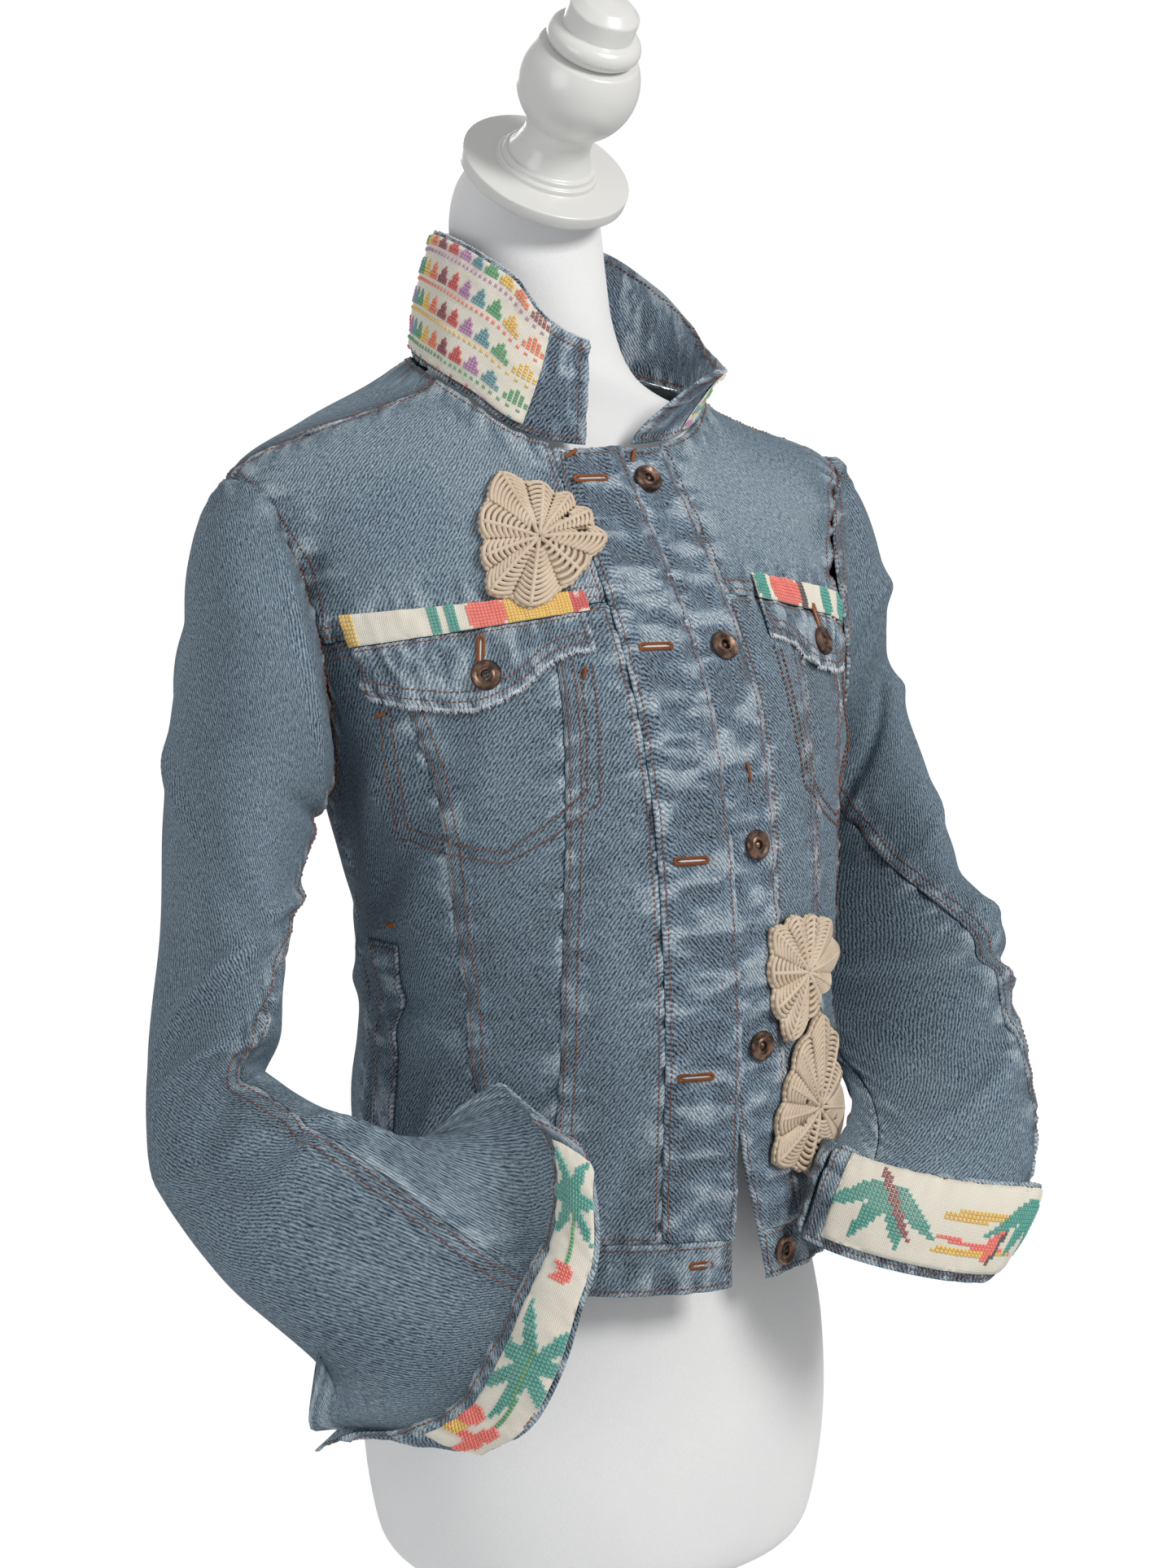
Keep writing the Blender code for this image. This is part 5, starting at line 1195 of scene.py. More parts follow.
def cloth(name, inner, outer, finish, slot, wear_and_shade, gap=SEAM_GAP / 2, sides=(True, True, True, True), closed=False,
          held="draped", rests_on=(FORM,)):
    """A piece of cloth on a grid: its outer face with the rim turned in, and its inner face too if it is closed."""
    inner, outer = inset_edges(inner, gap, sides), inset_edges(outer, gap, sides)
    columns, rows = outer.shape[:2]
    across, _, along, _ = distances(outer)
    flat = (round(float(across[-1].max()), 3) + 0.001, round(float(along[:, -1].max()), 3) + 0.001)
    du, dv = np.gradient(outer, axis=0), np.gradient(outer, axis=1)
    normals = unit(np.cross(du, dv))
    flip = (normals * (outer - inner)).sum() < 0
    if flip:
        normals = -normals
    index = np.arange(columns * rows).reshape(columns, rows)
    quads = np.stack([index[:-1, :-1], index[1:, :-1], index[1:, 1:], index[:-1, 1:]], -1).reshape(-1, 4)
    rim = np.concatenate([index[:, 0], index[-1, 1:], index[-2::-1, -1], index[0, -2:0:-1]])
    following = np.roll(rim, -1)
    points = outer.reshape(-1, 3)
    count = len(points)
    if name.startswith("sleeve"):
        across = np.linspace(0, across[-1].mean(), columns)[:, None] + 0 * across
        along = np.linspace(0, along[:, -1].mean(), rows)[None, :] + 0 * along
    uv = np.stack([across, along], -1).reshape(-1, 2) + seed_of(name) * 0.013
    values = wear_and_shade.reshape(-1)
    if closed:
        walls = np.stack([rim, rim + count, following + count, following], -1)
        faces = np.concatenate([quads, quads[:, ::-1] + count, walls])
        points = np.concatenate([points, inner.reshape(-1, 3)])
        uv, values = np.concatenate([uv, uv]), np.concatenate([values, values])
    else:
        place = count + np.arange(len(rim))
        faces = np.concatenate([quads, np.stack([rim, place, np.roll(place, -1), following], -1)])
        points = np.concatenate([points, inner.reshape(-1, 3)[rim]])
        uv, values = np.concatenate([uv, uv[rim]]), np.concatenate([values, values[rim]])
    if flip:
        faces = faces[:, ::-1]
    made = dress(make_mesh(name + "_cloth", points, faces, uv, values), finish, name)
    corners = outer[:-1, :-1], outer[1:, :-1], outer[1:, 1:], outer[:-1, 1:]
    area = np.linalg.norm(np.cross(corners[2] - corners[0], corners[3] - corners[1]), axis=-1).sum() / 2
    SHEETS[name] = (made, flat, held, rests_on, min(float(area), flat[0] * flat[1]), [])
    GRIDS[name] = (outer, normals)
    return made


def panel(name, places, finish, low=0.0, high=DENIM, gap=SEAM_GAP / 2):
    """A piece that lies on the body: laid pieces are closed, and the body's own panels are open shells."""
    creases = body_creases(places)
    base = on_body(places, high)
    lift, wear_and_shade = cloth_relief(name, base)
    laid = stem_of(name) in PUCKERS
    if laid:
        creases = creases + (0.0018 if "strip" in name else 0.0004)
    slot = "cream_cotton" if "strip" in name else "denim"
    inner, outer = on_body(places, low + creases), on_body(places, high + creases + lift)
    cloth(name, inner, outer, finish, slot, wear_and_shade, gap=gap, closed=laid)


def wall(name, inner, outer, finish, slot, sides=(True, True, True, True), gap=0.0, extra=0.0, closed=False, tuck=0.0,
         **options):
    """A piece that stands free of the body, lifted by its own folds, with its first row tucked in where asked."""
    lift, wear_and_shade = cloth_relief(name, outer)
    if tuck:
        first = unit(outer[:, 1] - outer[:, 0])
        inner, outer = inner.copy(), outer.copy()
        inner[:, 0] -= first * tuck
        outer[:, 0] -= first * tuck
    outward = unit(outer - inner)
    inner = inner + outward * np.asarray(extra)[..., None]
    outer = outer + outward * (lift + extra)[..., None]
    cloth(name, inner, outer, finish, slot, wear_and_shade, gap=gap, sides=sides, closed=closed, **options)


# Stitches and yarn
STITCH_PITCH = 0.0031
HALF_STEP = 0.0006
SEAM_STITCH = {"length": 0.0023, "width": 0.0010, "height": 0.0006}
CORNERS = 10


def parallel_line(name, side, away):
    """Points and normals at one distance in from an edge of a piece."""
    points, normals = GRIDS[name]
    if side >= 2:
        points, normals = points.transpose(1, 0, 2), normals.transpose(1, 0, 2)
    if side % 2:
        points, normals = points[::-1], normals[::-1]
    reach = distances(points)[0]
    k = np.clip((reach < away).sum(axis=0) - 1, 0, len(points) - 2)
    j = np.arange(points.shape[1])
    t = np.clip((away - reach[k, j]) / np.maximum(reach[k + 1, j] - reach[k, j], 1e-9), 0, 1)[:, None]
    return points[k, j] * (1 - t) + points[k + 1, j] * t, unit(normals[k, j] * (1 - t) + normals[k + 1, j] * t)


def length_along(line):
    """How far along a line each of its points is."""
    return np.concatenate([[0], np.cumsum(np.linalg.norm(np.diff(line, axis=0), axis=-1))])


def read_along(at, length, values):
    """The values of a line's points, read at distances along the line."""
    return np.stack([np.interp(at, length, values[:, k]) for k in range(values.shape[1])], -1)


def stitch_places(line, normals, skip):
    """Middles, directions and normals of the stitches along a line, or nothing where it is too short."""
    length = length_along(line)
    if length[-1] < 2 * skip + STITCH_PITCH:
        return None
    at = np.arange(skip, length[-1] - skip, STITCH_PITCH)
    ahead = read_along(at + HALF_STEP, length, line)
    behind = read_along(at - HALF_STEP, length, line)
    return read_along(at, length, line), unit(ahead - behind), unit(read_along(at, length, normals))


def stitches(centre, ahead, up, length=0.0021, width=0.0008, height=0.0005):
    """Small rounded stitches that lie along a direction, each of 16 triangles."""
    beside = np.cross(up, ahead)
    rings = [centre - ahead * length / 2]
    for share in (-0.28, 0.28):
        middle = centre + ahead * length * share
        rings += [middle + beside * width / 2, middle + up * height]
        rings += [middle - beside * width / 2, middle - up * height]
    rings.append(centre + ahead * length / 2)
    points = np.stack(rings, 1)
    faces = []
    for k in range(4):
        a, b = 1 + k, 1 + (k + 1) % 4
        faces += [(0, b, a), (a, b, b + 4), (a, b + 4, a + 4), (CORNERS - 1, a + 4, b + 4)]
    base = (np.arange(len(centre)) * CORNERS)[:, None, None]
    return points.reshape(-1, 3), (np.array(faces)[None] + base).reshape(-1, 3)


def seam_stitches(line, up, skip):
    found = stitch_places(line, up, skip)
    return stitches(*found, **SEAM_STITCH) if found else None


def joined_parts(parts):
    points, faces, count = [], [], 0
    for some_points, some_faces in parts:
        points.append(some_points)
        faces.append(some_faces + count)
        count += len(some_points)
    return np.concatenate(points), np.concatenate(faces)


def tube(line, up, radius, sides=6):
    """A round yarn along a line of points, closed at its ends."""
    ahead = unit(np.gradient(line, axis=0))
    beside = unit(np.cross(up, ahead))
    above = np.cross(ahead, beside)
    turn = 2 * math.pi * np.arange(sides) / sides
    radius = np.broadcast_to(radius, (len(line),))[:, None, None]
    ring = beside[:, None] * np.cos(turn)[None, :, None] + above[:, None] * np.sin(turn)[None, :, None]
    points = (line[:, None] + ring * radius).reshape(-1, 3)
    k = np.arange(len(line) - 1)[:, None] * sides
    i = np.arange(sides)[None, :]
    a, b = k + i, k + (i + 1) % sides
    faces = np.concatenate([np.stack([a, b, b + sides], -1).reshape(-1, 3),
                            np.stack([a, b + sides, a + sides], -1).reshape(-1, 3)])
    count = len(points)
    ends = np.concatenate([line[:1], line[-1:]])
    i = np.arange(sides)
    last = count - sides
    caps = np.concatenate([np.stack([i * 0 + count, (i + 1) % sides, i], -1),
                           np.stack([i * 0 + count + 1, last + i, last + (i + 1) % sides], -1)])
    return np.concatenate([points, ends]), np.concatenate([faces, caps])


# Finishes


def shader_tree(name):
    """A new finish with its nodes and its surface shader."""
    made = bpy.data.materials.new(name)
    made.use_nodes = True
    tree = made.node_tree
    return made, tree, tree.nodes["Principled BSDF"]


def add(tree, kind, **settings):
    """A node of the kind, with its settings."""
    node = tree.nodes.new(kind)
    for key, value in settings.items():
        setattr(node, key, value)
    return node


def math_node(tree, operation, first, second=None):
    node = add(tree, "ShaderNodeMath", operation=operation)
    for k, value in enumerate((first, second)):
        if value is None:
            continue
        if isinstance(value, (int, float)):
            node.inputs[k].default_value = value
        else:
            tree.links.new(value, node.inputs[k])
    return node.outputs[0]


def times(tree, first, second):
    return math_node(tree, "MULTIPLY", first, second)


def plus(tree, first, second):
    return math_node(tree, "ADD", first, second)


def darker(colour, share):
    return tuple(c * share for c in colour)


def mix_colour(tree, share, first, second, blend="MIX"):
    node = add(tree, "ShaderNodeMix", data_type="RGBA", blend_type=blend)
    for socket, value in ((node.inputs[0], share), (node.inputs[6], first), (node.inputs[7], second)):
        if isinstance(value, (tuple, float, int)):
            socket.default_value = value if not isinstance(value, tuple) else (*value, 1.0)
        else:
            tree.links.new(value, socket)
    return node.outputs[2]


def noise(tree, vector, scale, detail=3.0, roughness=0.5, stretch=None):
    node = add(tree, "ShaderNodeTexNoise")
    node.inputs["Scale"].default_value = scale
    node.inputs["Detail"].default_value = detail
    node.inputs["Roughness"].default_value = roughness
    if stretch:
        moved = add(tree, "ShaderNodeMapping")
        moved.inputs["Scale"].default_value = stretch
        tree.links.new(vector, moved.inputs[0])
        vector = moved.outputs[0]
    tree.links.new(vector, node.inputs["Vector"])
    return node.outputs["Fac"]


def ramp(tree, value, low, high):
    """The value from 0 at low to 1 at high."""
    node = add(tree, "ShaderNodeMapRange")
    node.inputs["From Min"].default_value = low
    node.inputs["From Max"].default_value = high
    tree.links.new(value, node.inputs["Value"])
    return node.outputs[0]


def cloth_vector(tree):
    node = add(tree, "ShaderNodeUVMap", uv_map="cloth")
    return node.outputs[0]


def object_vector(tree):
    return add(tree, "ShaderNodeTexCoord").outputs["Object"]


def weave(tree, vector, first, second, wide, wander=0.0):
    """Ribs that run along a slanted direction and wander a little, from 0 to 1."""
    node = add(tree, "ShaderNodeVectorMath", operation="DOT_PRODUCT")
    node.inputs[1].default_value = (first * 2 * math.pi / wide, second * 2 * math.pi / wide, 0)
    tree.links.new(vector, node.inputs[0])
    wave = math_node(tree, "SINE", plus(tree, node.outputs["Value"], wander))
    return plus(tree, times(tree, wave, 0.5), 0.5)


def bump(tree, shader, height, distance, strength=1.0):
    node = add(tree, "ShaderNodeBump")
    node.inputs["Distance"].default_value = distance
    node.inputs["Strength"].default_value = strength
    tree.links.new(height, node.inputs["Height"])
    tree.links.new(node.outputs[0], shader.inputs["Normal"])


def streaks(tree, vector, turn, across, along):
    """Uneven fine lines that run along a slanted direction."""
    moved = add(tree, "ShaderNodeMapping", vector_type="TEXTURE")
    moved.inputs["Rotation"].default_value = (0, 0, turn)
    moved.inputs["Scale"].default_value = (across, along, 1)
    tree.links.new(vector, moved.inputs[0])
    return noise(tree, moved.outputs[0], 1.0, 2.0, 0.6)


# The denim's twill: which way its ribs lie, that turn in radians, and the width of a rib in metres
TWILL = (0.8, 0.6)
TWILL_TURN = 0.6435
TWILL_WIDE = 0.0019
# Yarns across and along themselves, in metres
TWILL_YARN = (0.00075, 0.0028)
WARP_YARN = (0.0009, 0.0060)


def make_denim(name, dark, light, white, weft):
    """Indigo twill: it fades in clouds and where it is worn, and its pale weft shows between the ribs. In troughs and
    stitch grooves it is painted far darker than the dye, as shade.
    """
    made, tree, shader = shader_tree(name)
    vector = cloth_vector(tree)
    body = object_vector(tree)
    wander = times(tree, noise(tree, vector, 240.0, 2.0, 0.6), 9.0)
    ribs = weave(tree, vector, *TWILL, TWILL_WIDE, wander)
    twill = streaks(tree, vector, TWILL_TURN, *TWILL_YARN)
    slub = streaks(tree, vector, 0.0, *WARP_YARN)
    grain = noise(tree, vector, 900.0, 2.0, 0.7)
    cloud = noise(tree, vector, 60.0, 3.0, 0.6)
    fade = noise(tree, body, 7.0, 4.0, 0.55)
    # The cloth's value: high on worn ridges and edges, low in troughs and stitch grooves. It makes the worn places
    # pale and paints shade into the low ones.
    worn = add(tree, "ShaderNodeAttribute", attribute_name="wear_and_shade").outputs["Fac"]
    tone = plus(tree, times(tree, fade, 0.7), times(tree, worn, 0.7))
    tone = ramp(tree, plus(tree, tone, times(tree, cloud, 0.25)), 0.62, 1.06)
    colour = mix_colour(tree, tone, dark, light)
    rubbed = times(tree, ramp(tree, worn, 0.58, 0.90), 0.85)
    colour = mix_colour(tree, rubbed, colour, white)
    # Painted shade: in the troughs and stitch grooves the colour goes far darker than the unworn dye.
    unworn_dye_and_painted_shade = times(tree, ramp(tree, worn, 0.46, 0.14), 0.92)
    colour = mix_colour(tree, unworn_dye_and_painted_shade, colour, darker(dark, 0.35))
    yarns = plus(tree, times(tree, twill, 0.40), times(tree, slub, 0.16))
    yarns = plus(tree, yarns, times(tree, grain, 0.30))
    yarns = ramp(tree, plus(tree, yarns, times(tree, ribs, 0.14)), 0.40, 0.60)
    pale = mix_colour(tree, 0.52, colour, weft)
    deep = mix_colour(tree, 0.78, colour, darker(dark, 0.45))
    tree.links.new(mix_colour(tree, yarns, deep, pale), shader.inputs["Base Color"])
    shader.inputs["Roughness"].default_value = 0.88
    shader.inputs["Specular IOR Level"].default_value = 0.18
    height = plus(tree, yarns, times(tree, ribs, 0.5))
    bump(tree, shader, height, 0.00024, 0.9)
    return made


def make_plain_weave(name, colour, shade, wide):
    made, tree, shader = shader_tree(name)
    vector = cloth_vector(tree)
    warp = weave(tree, vector, 1.0, 0.0, wide)
    weft = weave(tree, vector, 0.0, 1.0, wide)
    both = times(tree, warp, weft)
    stain = noise(tree, object_vector(tree), 30.0, 3.0)
    tint = mix_colour(tree, ramp(tree, stain, 0.35, 0.75), colour, shade)
    # Painted shade: darker between the threads, where the weave's bump is low.
    tint = mix_colour(tree, ramp(tree, both, 0.5, 0.0), tint, darker(shade, 0.8))
    tree.links.new(tint, shader.inputs["Base Color"])
    shader.inputs["Roughness"].default_value = 0.9
    bump(tree, shader, both, 0.0002)
    return made


def make_thread(name, colour, shade, scale=900.0, distance=0.0003):
    made, tree, shader = shader_tree(name)
    vector = object_vector(tree)
    strand = noise(tree, vector, scale, 3.0, 0.6)
    patchy = noise(tree, vector, 60.0, 3.0)
    tint = mix_colour(tree, ramp(tree, patchy, 0.3, 0.75), colour, shade)
    # Painted shade: the thread is coloured darker in the hollows of its own bump.
    hollow_shade = times(tree, ramp(tree, strand, 0.7, 0.3), 0.4)
    tint = mix_colour(tree, hollow_shade, tint, darker(shade, 0.45))
    tree.links.new(tint, shader.inputs["Base Color"])
    shader.inputs["Roughness"].default_value = 0.85
    bump(tree, shader, strand, distance)
    return made


def make_coloured_thread(name):
    made, tree, shader = shader_tree(name)
    thread = add(tree, "ShaderNodeAttribute", attribute_name="thread").outputs["Color"]
    strand = noise(tree, object_vector(tree), 1400.0, 2.0)
    tint = mix_colour(tree, times(tree, strand, 0.25), thread, (1.0, 0.97, 0.92))
    tree.links.new(tint, shader.inputs["Base Color"])
    shader.inputs["Roughness"].default_value = 0.7
    bump(tree, shader, strand, 0.0002)
    return made


def make_paint(name, colour, roughness, coat):
    made, tree, shader = shader_tree(name)
    vector = object_vector(tree)
    cloud = noise(tree, vector, 6.0, 4.0)
    fine = noise(tree, vector, 240.0, 2.0)
    tint = mix_colour(tree, ramp(tree, cloud, 0.3, 0.8), colour, darker(colour, 0.95))
    tree.links.new(tint, shader.inputs["Base Color"])
    tree.links.new(plus(tree, times(tree, cloud, 0.1), roughness), shader.inputs["Roughness"])
    shader.inputs["Coat Weight"].default_value = coat
    shader.inputs["Coat Roughness"].default_value = 0.15
    bump(tree, shader, fine, 0.00006, 0.6)
    return made


def make_jersey(name):
    made, tree, shader = shader_tree(name)
    vector = object_vector(tree)
    knit = noise(tree, vector, 1.0, 2.0, 0.6, (1400.0, 1400.0, 500.0))
    cloud = noise(tree, vector, 9.0, 3.0)
    tint = mix_colour(tree, ramp(tree, cloud, 0.3, 0.75), (0.80, 0.80, 0.80), (0.74, 0.745, 0.755))
    # Painted shade: the jersey goes greyer in the knit's hollows, where its bump is low.
    tint = mix_colour(tree, times(tree, ramp(tree, knit, 0.65, 0.35), 0.12), tint, (0.5, 0.5, 0.52))
    tree.links.new(tint, shader.inputs["Base Color"])
    shader.inputs["Roughness"].default_value = 0.92
    bump(tree, shader, knit, 0.00012)
    return made


def make_copper(name):
    made, tree, shader = shader_tree(name)
    vector = object_vector(tree)
    cloud = noise(tree, vector, 160.0, 4.0, 0.6)
    scratch = noise(tree, vector, 900.0, 2.0)
    tint = mix_colour(tree, ramp(tree, cloud, 0.4, 0.7), (0.055, 0.036, 0.030), (0.34, 0.20, 0.14))
    tree.links.new(tint, shader.inputs["Base Color"])
    tree.links.new(plus(tree, times(tree, scratch, 0.25), 0.28), shader.inputs["Roughness"])
    shader.inputs["Metallic"].default_value = 0.85
    bump(tree, shader, cloud, 0.00015)
    return made


DENIM_FINISH = make_denim("denim_cloth", (0.020, 0.048, 0.090), (0.150, 0.232, 0.305), (0.57, 0.65, 0.71),
                          (0.44, 0.54, 0.61))
DARK_FINISH = make_denim("denim_dark", (0.010, 0.030, 0.070), (0.165, 0.250, 0.335), (0.62, 0.69, 0.74),
                         (0.42, 0.52, 0.61))
CREAM_FINISH = make_plain_weave("cream_cotton_cloth", (0.86, 0.82, 0.72), (0.80, 0.75, 0.64), 0.0011)
RUST_FINISH = make_thread("rust_thread", (0.30, 0.100, 0.045), (0.16, 0.055, 0.030))
ORANGE_FINISH = make_thread("orange_thread", (0.40, 0.135, 0.040), (0.24, 0.080, 0.030))
PALE_FINISH = make_thread("pale_thread", (0.74, 0.76, 0.78), (0.60, 0.64, 0.69))
YARN_FINISH = make_thread("crochet_yarn", (0.74, 0.61, 0.47), (0.60, 0.47, 0.35), 1100.0)
# Painted shade: the crochet's ground is a dark brown finish that stands for the shade between the yarns.
YARN_SHADE = make_thread("crochet_ground_painted_shade", (0.46, 0.35, 0.25), (0.36, 0.265, 0.185), 900.0, 0.0006)
THREAD_FINISH = make_coloured_thread("embroidery_thread")
PAINT_FINISH = make_paint("painted_wood_finish", (0.68, 0.68, 0.66), 0.24, 0.4)
JERSEY_FINISH = make_jersey("form_jersey_finish")
COPPER_FINISH = make_copper("aged_copper_finish")


# The form and the buttons


def rings_mesh(rings):
    """Points and quads of a stack of closed rings. Its ends are closed by rings too small to see."""
    count, steps = rings.shape[:2]
    points = rings.reshape(-1, 3)
    k, i = np.arange(count - 1)[:, None] * steps, np.arange(steps)[None, :]
    a, b = k + i, k + (i + 1) % steps
    return points, np.stack([a, b, b + steps, a + steps], -1).reshape(-1, 4)


def shrunk(ring, shares):
    middle = ring.mean(axis=0)
    return [middle + (ring - middle) * share for share in shares]


def outward_faces(points, faces):
    a, b, c = (points[faces[:, k]] for k in range(3))
    return faces if np.einsum("ij,ij->i", a, np.cross(b, c)).sum() > 0 else faces[:, ::-1]


def lathe_points(profile, centre, axis, steps):
    axis = unit(np.asarray(axis, float))
    first = unit(np.cross(axis, (0.0, 1.0, 0.0)) if abs(axis[1]) < 0.95 else np.cross(axis, (1.0, 0.0, 0.0)))
    second = np.cross(axis, first)
    turn = 2 * math.pi * np.arange(steps) / steps
    ring = np.cos(turn)[:, None] * first + np.sin(turn)[:, None] * second
    return np.array([np.asarray(centre) + axis * height + ring * max(radius, 1e-5) for radius, height in profile])


def turned(name, profile, centre, axis, steps, finish, node, slot, looped=False):
    rings = lathe_points(profile, centre, axis, steps)
    if looped:
        rings = np.concatenate([rings, rings[:1]])
    points, faces = rings_mesh(rings)
    if looped:
        last = (len(rings) - 1) * steps
        faces = np.where(faces >= last, faces - last, faces)
        points = points[:last]
    made = make_mesh(name, points, outward_faces(points - np.mean(points, axis=0), faces))
    made.data.set_sharp_from_angle(angle=math.radians(38))
    return dress(made, finish, node)


def rounded(profile, size=0.0012, steps=3):
    """The profile with its corners rounded a little."""
    profile = [np.array(point, float) for point in profile]
    result = [profile[0]]
    for before, here, after in zip(profile, profile[1:], profile[2:]):
        back, on = before - here, after - here
        reach = min(size, 0.45 * np.linalg.norm(back), 0.45 * np.linalg.norm(on))
        start, end = here + unit(back) * reach, here + unit(on) * reach
        for t in np.linspace(0, 1, steps + 1):
            result.append((1 - t) ** 2 * start + 2 * t * (1 - t) * here + t * t * end)
    return result + [profile[-1]]


def make_form():
    steps = 96
    angle = np.arange(steps) * 2 * math.pi / steps
    rings = [ring_point(FORM_RINGS, angle, level) for level in FORM_RINGS[:, 0]]
    for level, lift in SHOULDER_RINGS:
        rings.append(on_body(np.stack([angle, level + 0 * angle], -1), lift - CHEST_CLEARANCE * np.cos(angle) ** 4))
    top = np.array(CAP_CENTRE) - cap_axis() * SEAM_GAP
    for x, y, z, tilt, wide, deep, drop in NECK + ((*top, CAP_TILT, CAP_SEAT, CAP_SEAT, 0.0),):
        lean = math.radians(tilt)
        ahead = deep * np.cos(angle)
        height = z - ahead * math.sin(lean) - drop * np.maximum(0.0, np.sin(angle)) ** 1.5
        rings.append(np.stack([x + wide * np.sin(angle), y - ahead * math.cos(lean), height], -1))
    rings = np.array(rings)
    count = len(rings)
    levels = np.linspace(0, count - 1, (count - 1) * 5 + 1)
    fine = spline(np.arange(count), rings.reshape(count, -1), levels).reshape(-1, steps, 3)
    low, high = shrunk(fine[0], (1e-4, 0.5, 0.85, 0.96)), shrunk(fine[-1], (0.95, 0.6, 1e-4))
    points, faces = rings_mesh(np.concatenate([low, fine, high]))
    cover = make_mesh(FORM, points, outward_faces(points - points.mean(axis=0), faces))
    dress(cover, JERSEY_FINISH, "form_body")
    bulb = [(BULB_RADIUS * math.sin(t), BULB_CENTRE - BULB_RADIUS * math.cos(t))
            for t in np.radians(np.linspace(38, 124, 19))]
    ring = [(RING_RADIUS + RING_TUBE * math.sin(t), RING_CENTRE - RING_TUBE * math.cos(t))
            for t in np.radians(np.linspace(10, 170, 13))]
    profile = [(0.0, 0.0), *CAP_PROFILE, *bulb, *ring, (FINIAL_NECK, RING_CENTRE + RING_TUBE),
               (FINIAL_NECK, FINIAL_TOP - 0.007), (FINIAL_NECK * 0.7, FINIAL_TOP - 0.002), (0.0, FINIAL_TOP)]
    turned("form_cap_turned", rounded(profile), CAP_CENTRE, cap_axis(), 72, PAINT_FINISH, "form_cap", "painted_wood")
    profile = [(0.0, 0.0), *FOOT_PROFILE, (0.0, FOOT_PROFILE[-1][1])]
    turned("form_foot_turned", rounded(profile, 0.003), (0, 0, 0), (0, 0, 1), 96, PAINT_FINISH, "form_foot",
           "painted_wood")
    low, high = FOOT_PROFILE[-1][1] + SEAM_GAP, FORM_RINGS[0, 1] - SEAM_GAP
    profile = [(0.0, low), (POLE_RADIUS, low), (POLE_RADIUS, high), (0.0, high)]
    turned("form_pole_turned", rounded(profile, 0.001), (0, 0, 0), (0, 0, 1), 48, PAINT_FINISH, "form_pole",
           "painted_wood")


def make_buttons():
    """Donut buttons with a raised rim and a dished hole, each standing on the creased cloth."""
    r, t, h = BUTTON_RADIUS, BUTTON_THICK, BUTTON_HOLE
    profile = [(r - 0.0004, 0.0), (r, 0.0008), (r - 0.0001, t * 0.62), (r - 0.0010, t), (r - 0.0022, t - 0.0001),
               (r - 0.0030, t - 0.0007), (h + 0.0022, t - 0.0009), (h + 0.0012, t - 0.0003), (h + 0.0004, t - 0.0004),
               (h, t - 0.0012), (h, 0.0)]
    flap_face = DENIM + LAID_GAP + DOUBLE
    for stem, places, face in (("front_button", FRONT_BUTTONS, DOUBLE), ("flap_button", FLAP_BUTTONS, flap_face)):
        for k, (girth, level) in enumerate(places):
            point, outward, _, _ = body_frame(np.array(girth), np.array(level))
            lift = face + SEAM_GAP + 0.0008 + float(body_creases(chart_places(girth, level)))
            name = side_name(stem, girth) if stem == "flap_button" else f"{stem}_{k + 1}"
            place = point + outward * lift
            turned(name + "_metal", profile, place, outward, 40, COPPER_FINISH, name, "aged_copper", looped=True)
            post = [(0.0, 0.0004), (0.0017, 0.0004), (0.0016, t * 0.5), (0.0009, t * 0.7), (0.0, t * 0.72)]
            turned(name + "_post", post, place, outward, 24, COPPER_FINISH, None, "aged_copper")


# Cloth pieces that have their own layout


def make_plackets():
    low, high = WAIST_SEAM, NECK_FRONT
    edges = {-1: (straight(-1, PLACKET, low, high), straight(-1, -EDGE_RIGHT, low, high)),
             1: (left_edge(0.0, low, high), front_edge(1, low, high))}
    columns = {-1: finer((0.0, 0.3, 0.62, 0.82, 1.0)), 1: finer((0.0, 0.35, 0.7, 1.0))}
    for side, (left, right) in edges.items():
        top = between(last_angle(left), last_angle(right), neck_level)
        places = patch(left, right, waist_seam(left, right), top, columns[side], even(15))
        rise = np.interp(columns[side], (0.62, 0.82), (0.0, PLACKET_RISE if side < 0 else 0.0))
        rise = np.repeat(rise[:, None], places.shape[1], axis=1)
        panel(side_name("placket", side), places, DARK_FINISH, rise, rise + DOUBLE)


COLLAR_WAVE = 0.0012
PATCH_BOW = 0.020
PATCH_TIP = 0.008
PATCH_GAP = LAID_GAP + 0.0004


def make_collar():
    """The collar and its two patches, whose front edges bow back a little."""
    places, heights = 2 * even(COLLAR_STEPS) - 1, even(COLLAR_ROWS)
    near, far = COLLAR_PATCH
    middle = COLLAR_STEPS // 2
    low, high = COLLAR_PATCH_HEIGHT
    jobs = [("collar", places, heights, DARK_FINISH, "denim", -DOUBLE, 0.0, FORM)]
    patch_rows = low + (high - low) * heights
    for side in (-1, 1):
        first, last = sorted((middle + side * near, middle + side * far))
        run = places[first * FINE:last * FINE + 1]
        jobs.append((side_name("collar_patch", side), run, patch_rows, CREAM_FINISH, "cream_cotton", PATCH_GAP,
                     PATCH_GAP + STRIP, "collar_cloth"))
    for name, at, rows, finish, slot, inside, outside, under in jobs:
        place, height = np.meshgrid(at, rows, indexing="ij")
        if name != "collar":
            front = smooth((abs(place) - 0.3) / 0.4)
            place = place - np.sign(place) * front * (PATCH_BOW * (1 - height) ** 2 + PATCH_TIP * height**4)
        surface = collar_point(place, height)
        outward = surface_normals(collar_point, place, np.clip(height, 0.02, 1.0), 0.01, -1)
        wave = COLLAR_WAVE * rough(place * 5.5, height * 2.2, 5) * smooth(height / 0.3)
        wall(name, surface + outward * inside, surface + outward * outside, finish, slot, extra=wave, closed=True,
             rests_on=(under,))


